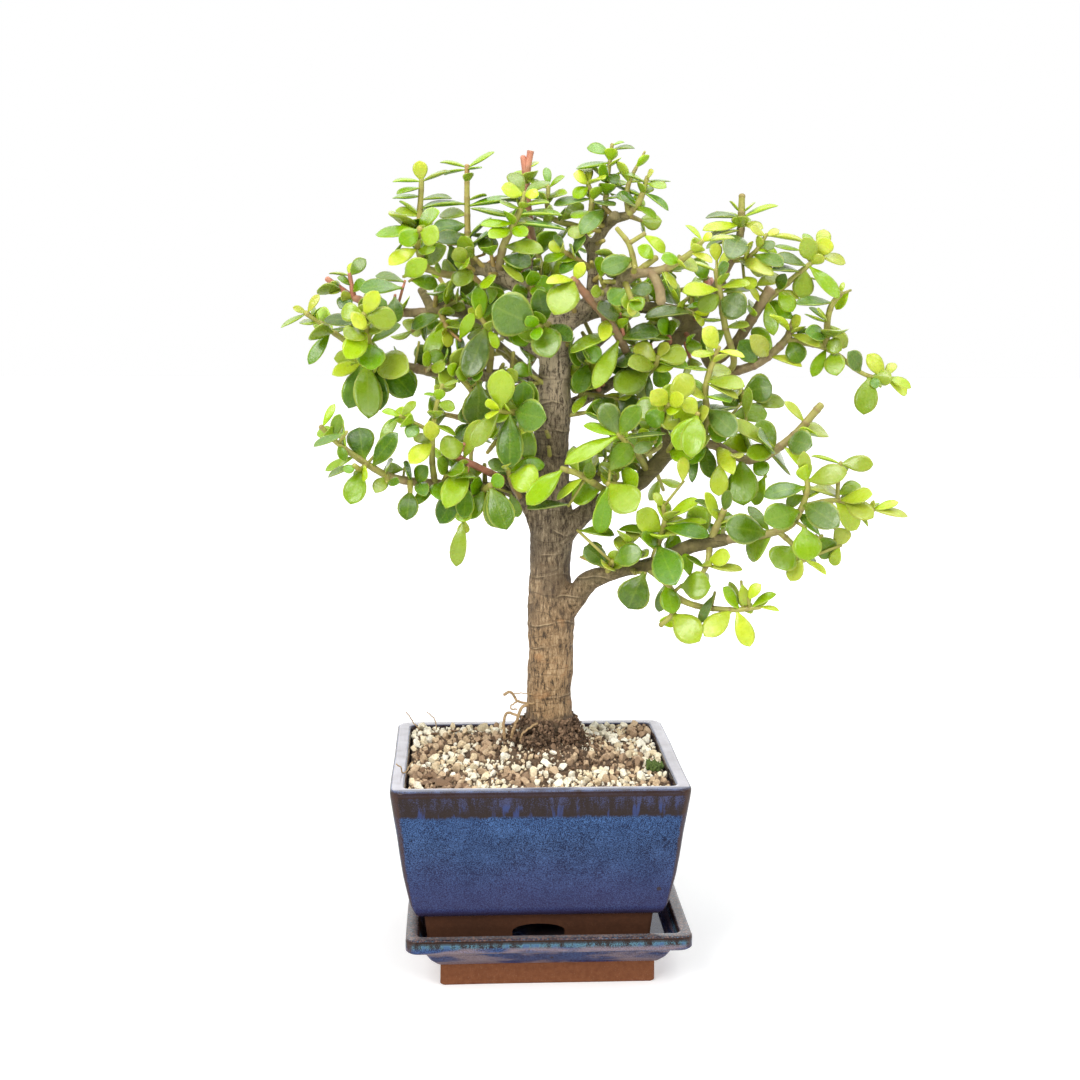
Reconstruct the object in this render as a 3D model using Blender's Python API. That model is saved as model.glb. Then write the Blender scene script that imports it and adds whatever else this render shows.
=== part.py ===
"""Potted elephant bush: a glazed pot on its saucer, gritty soil, a trunk with its limbs, and leafy sprays.

The plant is drawn in millimetres on an upright plane through the trunk, as an eye in front of it sees it:
u runs right, z runs up from the table, and depth runs away from the eye, so seen() keeps a point on its
sight line when its depth changes. The origin is the middle of the saucer's flat underside.
"""
import math
import random

import bmesh
import bpy
from mathutils import Matrix, Vector
from mathutils.bvhtree import BVHTree

MM = 0.001
GAP = 0.3
CUT_PAST = 3.0
ARCH_STEPS = 5

# Pot, with its long side along X
POT_X = -4.8
POT_HALF = (75.0, 63.0)
POT_CORNER = 7.0
POT_RIM_Z = 109.5
POT_GLAZE_END_Z = 39.5
POT_FOOT_Z = 20.3
POT_FLOOR_TOP_Z = 43.5
POT_FLOOR_UNDER_Z = 36.5
FOOT_ARCH_WIDTH = 27.0
FOOT_ARCH_HEIGHT = 13.5
FOOT_ARCH_SHOULDER = 0.7
FOOT_HOLLOW_INSET = 25.5
DRAIN_HOLE_RADIUS = 5.5
DRAIN_HOLE_X = 24.0

# Saucer
SAUCER_HALF = (72.5, 60.5)
SAUCER_CORNER = 6.0
SAUCER_RIM_Z = 31.5
SAUCER_FLOOR_Z = 20.0
SAUCER_FOOT_Z = 11.6

# Soil
SOIL_EDGE_Z = 107.0
SOIL_MOUND_HEIGHT = 16.0
SOIL_MOUND_RADIUS = 25.0
GRIT_RELIEF = 1.3
GRIT_SHIFT = 1.2
SOIL_RINGS = 9
SOIL_ROUND = 28
TRUNK_AT_SOIL = (7.5, 120.0, 0.0)
BURIED_POINTS = 6

# Drawing plane of the plant
EYE = Vector((1.8, -768.5, 345.3))
PLANE_Y = 8.0
PLANT_LIFT = 1.5
PLANT_TURN = math.radians(-3.16)
TRUNK_U = 8.0
SWING_REACH = 75.0
SWING_BEYOND = 0.4

# Leaves
BLADE_HALF_THICK = 0.95
BLADE_ARCH = 0.07
BLADE_CUP = 0.07
TWIG_PAST_BLADE = 1.2
TWIG_WHEN_AWAY = 4.5
END_MARGIN = 0.9
BASE_SINK = 0.45
SHARED_ROOT = 3.5
TWIG_REACH = 2.5
STEM_TOLERANCE = 1.1
BROAD_BLADE = 10.0
CLEARANCE = 0.45
TWIG_RADIUS = 0.95
NODE_STEP = 8.5
SEED = 41

# Limbs of the trunk node: points (u, z, depth) with a radius at each
LIMBS = {
    "trunk": ([(7.5, 88, 0), (7.5, 108, 0), (7.4, 121, 0), (7.3, 130, 0), (7.0, 140, 0), (7.8, 150, 0),
               (8.1, 162, 0), (7.9, 178, 0), (7.5, 190, 0), (7.3, 206, 0), (8.0, 225, 0), (8.3, 233, 0),
               (7.6, 246, 0), (7.2, 262, 0), (7.6, 278, 0), (8.8, 290, 0), (8.8, 304, 0), (9.0, 320, 0),
               (8.6, 334, 0), (6.5, 345, 1)],
              [4.5, 9.5, 12.9, 11.7, 11.3, 11.8, 11.4, 12.2, 11.4, 10.3, 10.9, 10.6,
               9.7, 9.1, 9.0, 9.0, 7.9, 7.9, 7.8, 4.5]),
    "low_right": ([(12, 180, 0), (20, 190, -2), (27, 199, -4), (36, 203, -6), (47, 206, -8), (58, 208, -10),
                   (68, 212, -12), (80, 218, -14), (92, 221, -16), (100, 222, -17)],
                  [5.5, 5.0, 4.6, 3.7, 3.1, 3.0, 3.0, 3.1, 3.0, 2.6]),
    "low_left": ([(0, 225, 0), (-5, 236, -3), (-10, 246, -6), (-17, 254, -9)], [2.6, 2.0, 2.0, 2.0]),
    "left_low": ([(2, 238, 3), (-14, 247, 5), (-28, 249, 2), (-40, 249, 0), (-50, 250, -2)],
                 [3.6, 3.2, 2.8, 2.7, 2.6]),
    "left_mid": ([(4, 298, 1), (-9, 306, 0), (-27, 307, -3), (-45, 308, -5), (-58, 309, -6)],
                 [3.8, 3.2, 3.3, 2.7, 2.6]),
    "left_high": ([(6, 318, 4), (-12, 328, 12), (-30, 337, 10), (-48, 341, 4), (-56, 339, 2)],
                  [5.0, 4.2, 3.7, 4.1, 3.8]),
    "left_high_stub": ([(-54, 340, 3), (-57, 346, 1), (-60, 351, 0)], [2.7, 2.5, 2.3]),
    "left_top": ([(7, 332, 2), (0, 345, 0), (-10, 353, -2), (-20, 358, -3), (-29, 361, -3), (-36, 358, -3)],
                 [6.2, 5.2, 4.7, 4.5, 3.3, 2.1]),
    "middle_stub": ([(-2, 347, 5), (-5, 360, 8), (-3, 377, 8)], [2.9, 2.6, 2.5]),
    "leader": ([(9, 330, 0), (19, 337, -2), (27, 346, -3), (28, 358, -3), (28, 370, -3), (32, 379, -4),
                (38, 386, -5), (46, 388, -6)],
               [6.2, 5.0, 3.8, 2.8, 2.9, 2.9, 2.7, 2.2]),
    "leader_left": ([(28, 369, -3), (24, 376, -2), (20, 382, 0)], [2.6, 2.4, 2.1]),
    "leader_stub": ([(37, 385, -5), (39, 388, -15)], [2.9, 2.7]),
    "right_top": ([(26, 344, -4), (36, 351, -8), (44, 356, -11), (50, 360, -13)], [3.8, 3.3, 3.4, 3.3]),
    "right_high": ([(18, 336, 1), (34, 341, 5), (50, 342, 6), (66, 341, 5), (80, 337, 3)],
                   [4.2, 3.6, 3.1, 3.2, 4.2]),
    "right_diagonal": ([(11, 288, 3), (24, 295, 5), (38, 303, 5), (50, 311, 5), (64, 320, 4), (74, 328, 3),
                        (82, 338, 2), (88, 347, 0), (94, 356, -2)],
                       [5.0, 3.2, 2.8, 3.0, 3.5, 4.3, 4.7, 3.8, 3.0]),
    "right_drop": ([(80, 335, 4), (85, 321, 5), (90, 312, 3), (98, 309, -2)], [3.4, 3.1, 2.9, 2.7]),
    "right_mid": ([(11, 222, -3), (20, 231, -5), (28, 238, -5), (40, 245, -4), (52, 251, -3), (60, 259, -3),
                   (69, 268, -4), (80, 271, -6)],
                  [6.5, 5.4, 4.7, 4.4, 4.2, 4.4, 3.9, 2.5]),
    "right_mid_up": ([(69, 266, -4), (67, 277, -3), (64, 290, -2)], [3.0, 2.5, 2.2]),
    "back_left": ([(6, 296, 4), (-6, 309, 24), (-20, 322, 42), (-32, 332, 54)], [4.4, 3.4, 2.6, 2.0]),
    "back_middle": ([(7, 326, 4), (8, 341, 22), (4, 354, 34)], [4.0, 3.0, 2.2]),
    "back_right": ([(11, 305, 5), (26, 320, 26), (42, 334, 42), (54, 344, 52)], [4.2, 3.2, 2.5, 2.0]),
    "back_low_right": ([(11, 240, 4), (26, 251, 26), (42, 260, 42), (54, 266, 50)], [4.2, 3.2, 2.5, 2.0]),
    "back_low_left": ([(4, 258, 5), (-12, 269, 28), (-26, 279, 44)], [4.0, 3.0, 2.2]),
}

# How far back each limb has swung 75 mm beside the trunk; minus is towards the eye
LIMB_SWING = {
    "low_right": -24, "low_left": -12, "left_low": -26, "left_mid": 8, "left_high": 28, "left_high_stub": 28,
    "left_top": -4, "right_top": -16, "right_high": 24, "right_diagonal": 24, "right_drop": 24,
    "right_mid": -12, "right_mid_up": -12,
}

# The limb that each spray grows from, where that limb has swung
SPRAY_LIMB = {
    "spray_left_shoots": "left_top", "spray_left_tall": "left_top", "spray_middle_left": "left_top",
    "spray_left_upper": "left_high", "spray_left_knot": "left_high", "spray_left_inner": "left_mid",
    "spray_left_far": "left_mid", "spray_left_under": "left_mid", "spray_left_low": "left_low",
    "spray_left_front": "left_low", "spray_left_red": "low_left", "spray_trunk_left": "low_left",
    "spray_trunk_front": "right_mid", "spray_red_stem": "right_diagonal",
    "spray_inner_right": "right_diagonal", "spray_right_inner": "right_diagonal",
    "spray_right_yellow": "right_mid_up", "spray_right_low": "right_mid", "spray_right_top": "right_diagonal",
    "spray_right_pruned": "right_drop", "spray_right_far": "right_drop",
    "spray_low_right_end": "low_right", "spray_low_right_stub": "low_right",
    "spray_low_right_hang": "low_right", "spray_low_right_under": "low_right",
    "spray_low_right_up": "low_right", "spray_low_right_dark": "low_right",
    "spray_low_right_drop": "low_right", "spray_centre_front": "right_mid", "spray_centre_up": "right_mid",
    "spray_upper_inner": "right_top", "spray_right_horizontal": "right_high",
    "spray_upper_right": "right_top",
}

# Each spray: stems as (points, first radius, last radius), the first of them rooted in a limb; blades as
# (base u, base z, tip u, tip z, tip depth, width, face, age), where face is 0 for a blade that faces up and
# 90 for one that faces the eye, and age runs from 0 for a new leaf to 3 for an old one, 4 for a waxy one;
# then how many further blades the growth rule may add to each stem.
SPRAYS = {
    "spray_left_shoots": (
        [([(-34, 358, -3), (-46, 358, -4), (-57, 361, -5)], 1.9, 1.8),
         ([(-57, 361, -5), (-60, 372, 2), (-59, 388, 3), (-59, 405, 3)], 1.8, 1.4),
         ([(-56, 361, -5), (-61, 370, -18), (-60, 381, -34)], 1.7, 1.3)],
        [(-59, 405, -60, 414, 2, 7, 70, 0), (-59, 405, -73, 404, 0, 5, 15, 1),
         (-59, 404, -45, 409, 0, 5.5, 20, 1), (-59, 401, -71, 398, -6, 5, 30, 2),
         (-59, 397, -73, 396, 4, 6, 25, 2), (-59, 395, -44, 396, 4, 6, 20, 2),
         (-60, 381, -74, 388, -32, 9, 60, 1), (-60, 380, -81, 378, -24, 8, 50, 2),
         (-60, 381, -70, 380, -44, 8, 80, 0), (-60, 381, -50, 389, -36, 9, 80, 1),
         (-60, 380, -51, 376, -40, 10, 85, 1), (-60, 379, -70, 374, -36, 9, 80, 2),
         (-60, 378, -61, 369, -40, 9, 85, 2), (-57, 365, -47, 372, -28, 10, 85, 2),
         (-68, 375, -75, 365, -20, 4, 10, 3), (-62, 371, -75, 363, -30, 8, 60, 0),
         (-68, 357, -57, 365, -34, 9, 85, 1)], 0),
    "spray_left_tall": (
        [([(-31, 360, -3), (-35, 372, 4), (-36, 392, 6), (-36, 412, 6)], 2.0, 1.3)],
        [(-36, 412, -49, 413.5, 6, 4.5, 12, 1), (-36, 412, -23, 418.5, 6, 5, 15, 1),
         (-36, 410, -47, 407.5, 12, 6, 12, 2), (-36, 410, -29, 411, 0, 5, 15, 2),
         (-36, 393, -58, 391, 2, 6.5, 15, 2), (-36, 392, -12, 395, 10, 7, 15, 2),
         (-36, 388, -49, 388, 14, 8, 50, 1), (-36, 383, -52, 381, 0, 9, 70, 3),
         (-35, 376, -51, 375, -8, 9, 60, 3), (-35, 376, -24, 386, -4, 8, 25, 4),
         (-35, 370, -26, 378, -10, 10, 40, 4)], 0),
    "spray_middle_left": (
        [([(-20, 358, -3), (-18, 371, -12), (-12, 384, -16), (-8, 394, -18), (-7, 399, -18)], 2.3, 1.3)],
        [(-8, 398, -18, 401, -22, 8, 60, 0), (-7, 398, 0, 398, -22, 5.5, 60, 0),
         (-7, 399, -14, 408, -12, 8, 40, 2), (-7, 399, 5, 404, -12, 8, 30, 2),
         (-9, 392, 5, 394, -20, 5, 20, 1), (-9, 391, -19, 394, -24, 6, 40, 1),
         (-10, 388, 11, 388, -16, 7, 20, 1), (-11, 387, -33, 391, -12, 7, 20, 2),
         (-12, 384, -28, 383, -22, 7, 35, 1), (-12, 384, 13, 381, -18, 7, 30, 4),
         (-13, 381, -24, 377, -28, 8, 60, 1), (-13, 382, -6, 378, -26, 7, 75, 1),
         (-17, 372, 2, 370, -26, 8, 55, 1), (-19, 364, -8, 355, -18, 5, 25, 1)], 0),
    "spray_middle_pruned": (
        [([(-3, 374, 8), (-5, 392, 5), (-6, 406, 4), (-4, 419.5, 4)], 2.1, 1.7),
         ([(-6, 405, 4), (-7.8, 416.5, 4)], 1.7, 1.5)],
        [(-5, 390, 7, 386, 2, 7, 30, 3), (-4, 384, -16, 388, 16, 8, 30, 3),
         (-5, 396, 8, 398, 14, 7, 30, 2), (-5, 402, -15, 404, 14, 7, 30, 2)], 0),
    "spray_left_upper": (
        [([(-55, 339, 2), (-70, 339, 0), (-82, 342, -2), (-94, 346, -3)], 2.5, 1.9),
         ([(-94, 346, -3), (-95, 352, -4), (-96, 358, -5)], 1.6, 1.1),
         ([(-94, 346, -3), (-100, 350, -4), (-107.5, 355.5, -5)], 1.6, 1.5)],
        [(-96, 358, -88, 365, -5, 7, 60, 2), (-96, 357, -106, 358, -3, 4, 15, 1),
         (-95, 352, -102, 356, -8, 5, 40, 2), (-100, 350, -106, 348, -9, 4, 40, 1),
         (-94, 349, -88, 354, -8, 6, 60, 2), (-95, 346, -101, 341, -8, 8, 50, 3),
         (-69, 351, -90, 350, -16, 11, 40, 4), (-68, 354, -82, 357, -2, 8, 20, 2),
         (-73, 347, -73, 334, -20, 8, 70, 3), (-70, 339, -66, 346, -8, 7, 40, 1)], 2),
    "spray_left_knot": (
        [([(-50, 340, 3), (-48, 335, -8), (-46, 330, -16)], 1.9, 1.4)],
        [(-48, 333, -56, 315, -24, 9, 65, 1), (-46, 330, -51, 312, -16, 10, 80, 3),
         (-50, 337, -64, 331, -6, 9, 50, 3), (-46, 331, -40, 331, -24, 6, 40, 1),
         (-40, 325, -33, 338, -28, 6, 75, 1), (-48, 340, -46, 356, -12, 4, 30, 4),
         (-44, 348, -36, 361, -22, 8, 70, 1), (-38, 350, -42, 336, -12, 10, 80, 4)], 2),
    "spray_left_inner": (
        [([(-25, 307, -3), (-24, 318, -8), (-25, 330, -12), (-29, 336, -14)], 1.9, 1.3)],
        [(-28, 331, -36, 307, -24, 13, 80, 3), (-29, 336, -31, 351, -18, 8, 60, 2),
         (-24, 331, -21, 321, -16, 5, 50, 1), (-28, 335, -23, 348, -10, 8, 80, 3)], 2),
    "spray_left_far": (
        [([(-56, 309, -6), (-70, 312, -8), (-84, 314, -9), (-91, 313, -18)], 2.5, 1.6),
         ([(-85, 314, -9), (-87, 322, -20), (-88, 331, -34), (-89, 338, -44)], 1.9, 1.3),
         ([(-84, 314, -9), (-98, 324, -13), (-108, 330, -16), (-119, 338.5, -20)], 1.7, 1.3)],
        [(-89, 338, -82, 349, -46, 8, 70, 0), (-89, 338, -94, 332, -54, 10, 90, 0),
         (-89, 338, -100, 339, -42, 9, 80, 1), (-88, 337, -73, 335, -44, 11, 80, 1),
         (-88, 338, -78, 344, -38, 8, 70, 2), (-90, 333, -108, 335, -28, 8, 60, 3),
         (-88, 331, -104, 330, -24, 6, 20, 2), (-88, 329, -98, 316, -42, 11, 80, 1),
         (-87, 323, -71, 332, -26, 8, 45, 2), (-88, 312, -87, 286, -32, 14, 75, 2),
         (-86, 312, -81, 290, -18, 12, 70, 3), (-90, 311, -97, 291, -24, 11, 70, 4),
         (-84, 315, -67, 309, -28, 15, 75, 1), (-80, 311, -65, 297, -14, 15, 80, 3),
         (-91, 313, -104, 315, -22, 9, 65, 1), (-91, 313, -105, 307, -28, 7, 70, 0),
         (-119, 338, -131, 331, -22, 5, 30, 1),
         (-118, 338, -112, 347, -20, 4, 50, 0),
         (-107, 328, -117, 313, -20, 6.5, 55, 2), (-104, 328, -97, 331, -10, 5, 20, 2)], 0),
    "spray_left_under": (
        [([(-40, 307, -5), (-36, 303, -10), (-34, 299, -14)], 1.8, 1.4)],
        [(-30, 304, -31, 282, -16, 15, 85, 3), (-45, 305, -57, 302, -10, 5, 50, 2)], 0),
    "spray_left_low": (
        [([(-48, 250, -2), (-57, 250.5, -3), (-66, 252, -5), (-76, 254, -6), (-84, 258, -8), (-95, 266, -9),
           (-104, 272, -10), (-112, 280, -12)], 2.5, 1.2),
         ([(-66, 252, -5), (-66, 246, -12)], 1.6, 1.3), ([(-78, 255, -7), (-78, 251, -14)], 1.5, 1.2),
         ([(-88, 261, -9), (-92, 258, -16), (-95, 260, -20)], 1.5, 1.2),
         ([(-53, 250.4, -2.6), (-54.5, 264, -10), (-53, 279, -14), (-52, 292, -16), (-49, 302, -17)], 1.7, 1.0),
         ([(-53, 277, -13), (-60, 280, -15), (-65, 284, -16), (-71, 286, -17)], 1.1, 0.9)],
        [(-112, 280, -105, 291, -12, 4, 50, 1), (-106, 274, -102, 286, -16, 6, 70, 2),
         (-99, 277, -115, 270, -26, 6, 50, 4), (-103, 271, -100, 263, -14, 5, 40, 2),
         (-89, 263, -92, 279, 0, 13, 80, 3), (-85, 260, -73, 276, -18, 10, 70, 3),
         (-82, 268, -73, 284, -6, 6, 40, 1), (-90, 257, -97, 241, -20, 11, 75, 2),
         (-98, 262, -108, 254, -16, 5, 40, 2), (-94, 262, -100, 257, -22, 5, 60, 2),
         (-79, 254, -84, 246, -18, 7, 70, 1), (-80, 251, -72, 251, -22, 5, 70, 3),
         (-78, 257, -75, 263, -14, 6, 40, 2), (-66, 247, -68, 232, -20, 10, 80, 3),
         (-53, 246, -63, 240, -8, 6, 50, 2), (-65, 253, -69, 262, -12, 7, 50, 3),
         (-63, 252, -57, 260, -14, 8, 70, 3), (-62, 251, -58, 245, -16, 7, 60, 4),
         (-53, 273, -55, 283, -24, 8, 80, 0), (-54, 272, -65, 262, -18, 9, 75, 0),
         (-52, 281, -42, 276, -14, 5, 30, 1), (-52, 292, -43, 290, -18, 6, 70, 1), (-50, 302, -41, 304, -17, 4, 25, 1),
         (-71, 286, -80, 288, -17, 4.5, 50, 1), (-70, 286, -63, 293, -18, 4.5, 60, 1),
         (-62, 281, -67, 275, -22, 7, 80, 4)], 0),
    "spray_left_red": (
        [([(-15, 252, -8), (-30, 259, -12), (-42, 265, -15)], 1.9, 1.6),
         ([(-36, 262, -13), (-37, 250, -18), (-38, 238, -18), (-38, 231, -18)], 1.2, 1.0)],
        [(-38, 271, -50, 268, -28, 12, 85, 1), (-37, 266, -30, 283, -22, 8, 55, 1),
         (-39, 260, -47, 239, -32, 12, 80, 1), (-40, 254, -50, 231, -14, 12, 75, 3),
         (-37, 250, -38, 233, -24, 9, 80, 3), (-38, 231, -42, 208, -18, 8, 70, 1)], 1),
    "spray_left_front": (
        [([(-28, 249, 2), (-27, 248, -10), (-24, 250, -20)], 2.1, 1.6)],
        [(-29, 254, -36, 241, -28, 10, 60, 4), (-21, 250, -16, 228, -30, 13, 85, 3),
         (-24, 247, -20, 229, -16, 11, 80, 2), (-14, 246, -10, 234, -10, 6, 70, 1),
         (-28, 246, -34, 233, -12, 8, 70, 1)], 1),
    "spray_left_centre": (
        [([(2, 286, -5), (-10, 288, -20), (-20, 289, -30)], 1.9, 1.4)],
        [(-20, 290, -18, 309, -36, 13, 70, 1), (-21, 288, -33, 271, -36, 9, 60, 1),
         (-15, 285, -14, 261, -32, 13, 85, 3), (-12, 288, 4, 285, -38, 16, 88, 4),
         (-9, 283, -4, 264, -18, 9, 70, 2), (-8, 290, -7, 303, -26, 11, 80, 3)], 2),
    "spray_trunk_front": (
        [([(40, 245, -4), (32, 250, -17), (22, 256, -24), (13, 259, -27)], 1.9, 1.5)],
        [(13, 259, -4, 241, -34, 10, 65, 1), (24, 254, 11, 243, -26, 6, 50, 1),
         (27, 252, 27, 262, -30, 6, 70, 2), (17, 240, -4, 238, -24, 7, 20, 3)], 1),
    "spray_trunk_left": (
        [([(-9, 244, -6), (-13, 251, -18), (-15, 258, -23)], 1.6, 1.3)],
        [(-16, 255, 0, 251, -32, 15, 75, 1), (-13, 259, 3, 261, -20, 9, 50, 2),
         (-14, 259, -25, 262, -22, 7, 60, 4)], 1),
    "spray_trunk_top": (
        [([(6, 333, -4), (2, 333, -20), (0, 332, -32)], 2.0, 1.5)],
        [(0, 332, -22, 342, -42, 21, 88, 4), (2, 333, 7, 317, -36, 15, 85, 2),
         (5, 333, 17, 325, -26, 9, 60, 3), (3, 334, 0, 350, -28, 11, 70, 3)], 2),
    "spray_red_stem": (
        [([(42, 305, 5), (47, 314, -6), (45, 321, -9), (41, 328, -12), (33, 337, -16), (25, 347, -19),
           (18, 356, -22)], 2.4, 2.0),
         ([(45, 320, -9), (44, 331, -12), (42, 339, -14)], 1.3, 1.0)],
        [(17, 356, 5, 354, -34, 6, 60, 0), (18, 357, 23, 364, -26, 6, 75, 0),
         (17, 355, 9, 339, -38, 15, 80, 1), (34, 335, 33, 325, -28, 7, 75, 0),
         (38, 327, 18, 319, -24, 8, 40, 1), (39, 325, 30, 302, -28, 9, 75, 1),
         (42, 338, 31, 341, -20, 11, 70, 4), (43, 339, 52, 338, -20, 7, 30, 1),
         (44, 328, 67, 326, -14, 5, 20, 2), (26, 344, 20, 333, -30, 8, 60, 3)], 1),
    "spray_inner_right": (
        [([(22, 294, 4), (24, 304, -4), (26, 314, -10)], 1.8, 1.3),
         ([(23, 298, 1), (34, 296, -6), (42, 295, -10)], 1.5, 1.2)],
        [(25, 314, 21, 299, -16, 10, 80, 3), (28, 317, 20, 320, -12, 7, 50, 4),
         (40, 296, 31, 288, -16, 12, 80, 3), (42, 296, 51, 289, -14, 12, 80, 3),
         (30, 296, 38, 282, -10, 10, 75, 4), (26, 296, 19, 288, -12, 5, 50, 1)], 1),
    "spray_right_inner": (
        [([(50, 311, 5), (57, 309, -8), (61, 313, -15), (62, 317, -17)], 1.9, 1.2)],
        [(60, 313, 47, 313, -26, 10, 65, 1), (58, 310, 41, 301, -24, 14, 80, 2),
         (61, 315, 50, 322, -14, 10, 60, 1), (62, 316, 76, 318, -22, 11, 60, 1),
         (62, 314, 77, 312, -16, 7, 45, 2), (57, 308, 58, 295, -18, 4, 60, 4),
         (60, 312, 66, 303, -14, 9, 70, 3)], 1),
    "spray_right_yellow": (
        [([(64, 287, -2), (66, 291, -14), (68, 293, -26)], 1.9, 1.3)],
        [(67, 294, 59, 299, -36, 9.5, 90, 0), (68, 292, 75, 297, -36, 8, 85, 0),
         (68, 297, 79, 307, -22, 11, 85, 1), (64, 290, 51, 290, -10, 12, 80, 2),
         (66, 290, 58, 282, -16, 10, 75, 3)], 1),
    "spray_right_top": (
        [([(92, 354, -2), (98, 366, -3), (102, 376, -4), (103, 386, -5), (103, 398, -5)], 2.8, 1.7),
         ([(98, 366, -3), (106, 367, -10), (111, 371, -13), (116, 379, -14)], 1.6, 1.0)],
        [(102, 387, 85, 387, -2, 7, 25, 4), (101, 384, 84, 381, -16, 7, 60, 1),
         (103, 388, 90, 390, 6, 4, 20, 1), (104, 387, 120, 393, -5, 4, 15, 1),
         (103, 384, 113, 382, -10, 6, 40, 1), (102, 381, 86, 377, -14, 6, 20, 1),
         (101, 377, 86, 372, -8, 6, 25, 2), (103, 378, 97, 367, -26, 13, 88, 4),
         (116, 379, 122, 381, -14, 4, 60, 0), (116, 379, 108, 382, -16, 5, 50, 0),
         (116, 378, 135, 375, -14, 4, 20, 0), (114, 376, 119, 372, -20, 6, 60, 4),
         (111, 371, 121, 370, -16, 5, 40, 1), (109, 369, 124, 364, -24, 8, 40, 3),
         (101, 365, 119, 359, -28, 8, 45, 1), (105, 358, 110, 352, -20, 7, 60, 1)], 0),
    "spray_right_pruned": (
        [([(89, 313, 3), (98, 320, -5), (103, 327, -8), (109, 336, -11), (115, 345, -13), (119, 352, -15)],
          2.7, 2.9),
         ([(116, 345, -13), (124, 351, -15), (133, 360, -17), (139, 364, -18), (145, 370, -19)], 1.9, 1.2)],
        [(140, 366, 135, 377, -26, 9, 85, 1), (143, 368, 147, 377, -22, 9, 80, 0),
         (144, 370, 145, 381, -14, 7, 60, 1), (141, 368, 135, 379, -10, 5, 40, 2),
         (144, 367, 156, 365, -20, 7, 50, 1), (139, 362, 153, 348, -26, 8, 55, 2),
         (137, 361, 135, 348, -14, 10, 85, 2), (134, 371, 121, 373, -14, 4.5, 35, 2),
         (137, 363, 121, 367, -22, 8, 45, 4), (133, 361, 120, 361, -28, 6, 40, 4),
         (122, 352, 126, 359, -22, 6, 60, 3), (124, 350, 130, 341, -22, 8, 70, 2),
         (123, 350, 133, 347, -18, 4.5, 40, 1), (119, 344, 121, 329, -22, 7, 80, 2),
         (114, 345, 108, 352, -16, 6, 50, 0)], 0),
    "spray_right_far": (
        [([(96, 309, -1), (106, 311, -6), (115, 315, -9), (122, 321, -11), (128, 327, -13), (132, 337, -14)],
          2.6, 2.0),
         ([(128, 326, -13), (138, 324, -15), (148, 322, -17), (155, 318, -18), (163, 312, -19),
           (170, 308, -20), (180, 307, -20)], 1.9, 1.0),
         ([(148, 322, -17), (148, 333, -18), (150, 343, -19), (155, 350, -19)], 1.8, 1.5),
         ([(96, 309, 0), (104, 302, -13), (107, 294, -20)], 1.8, 1.3),
         ([(98, 309, -2), (101, 314, -10), (99, 322, -14), (96, 333, -17), (93, 347, -19), (91, 361, -20)],
          1.7, 1.8)],
        [(130, 330, 119, 338, -24, 4.5, 35, 0), (131, 331, 134, 338, -22, 6, 60, 1),
         (131, 328, 144, 323, -26, 6, 50, 1), (129, 325, 135, 315, -20, 10, 80, 3),
         (119, 317, 135, 313, -20, 5, 40, 1), (118, 318, 109, 328, -24, 9, 80, 1),
         (112, 316, 104, 325, -14, 10, 85, 4), (120, 321, 110, 332, -4, 8, 60, 2),
         (147, 324, 132, 331, -18, 8, 75, 3), (151, 327, 138, 330, -28, 8, 70, 4),
         (151, 325, 156, 321, -20, 8, 85, 2), (148, 321, 142, 308, -22, 6, 65, 2),
         (151, 319, 154, 308, -28, 10, 88, 2), (149, 346, 133, 344, -24, 7, 50, 4),
         (148, 335, 140, 342, -14, 4, 20, 2),
         (149, 335, 144, 341, -28, 5, 60, 1), (167, 311, 160, 320, -26, 9, 65, 4),
         (171, 307, 169, 289, -26, 11, 80, 2), (173, 308, 175, 302, -26, 5, 70, 4),
         (180, 308, 170, 318, -22, 8, 60, 1), (180, 308, 184, 314, -18, 5, 50, 1),
         (180, 307, 192, 302, -24, 6, 45, 1), (180, 307, 190, 299, -16, 7, 60, 0),
         (107, 299, 120, 302, -18, 14, 85, 3), (111, 292, 127, 294, -14, 9, 55, 2),
         (108, 286, 109, 301, -28, 5, 75, 2), (104, 301, 98, 291, -10, 9, 60, 3),
         (91, 361, 77, 364.5, -20, 5, 20, 1), (91, 362, 99, 371, -24, 5, 35, 0),
         (92, 358, 97, 364, -28, 7, 60, 4), (92, 351, 75, 350, -28, 8, 50, 1),
         (92, 352, 108, 354, -26, 6, 35, 1), (93, 349, 83, 341, -24, 9, 80, 2),
         (94, 347, 106, 340, -30, 14, 85, 4), (96, 332, 108, 333, -24, 6, 40, 1),
         (96, 331, 85, 322, -14, 9, 60, 3)], 0),
    "spray_right_low": (
        [([(78, 271, -6), (90, 272, -9), (102, 268, -12), (112, 264, -14), (124, 270, -16), (131, 275, -17),
           (139, 283, -18), (146.5, 292.5, -19)], 2.4, 1.9),
         ([(94, 271, -10), (95, 262, -20)], 1.4, 1.2),
         ([(84, 271.4, -7), (81, 280, -19), (83, 288, -26)], 1.9, 1.3),
         ([(78, 271, -6), (87, 278, -12), (87, 290, -15), (87, 303, -17), (90, 313, -19), (93, 322, -20)],
          1.9, 1.3)],
        [(123, 272, 100, 284, -26, 8, 50, 1), (122, 273, 114, 285, -14, 10, 75, 3),
         (124, 269, 109, 268, -24, 9, 80, 2), (113, 264, 119, 257, -20, 8, 85, 3),
         (130, 274, 142, 272, -30, 13, 80, 4), (139, 283, 128, 294, -18, 5, 30, 1),
         (94, 271, 102, 257, -30, 8, 80, 1), (95, 262, 95, 246, -22, 9, 60, 1),
         (104, 268, 105, 266, -30, 7, 80, 0), (106, 265, 108, 243, -24, 15, 80, 2),
         (88, 272, 80, 262, -18, 7, 60, 3), (127, 272, 141, 259, -20, 5, 60, 1),
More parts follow.
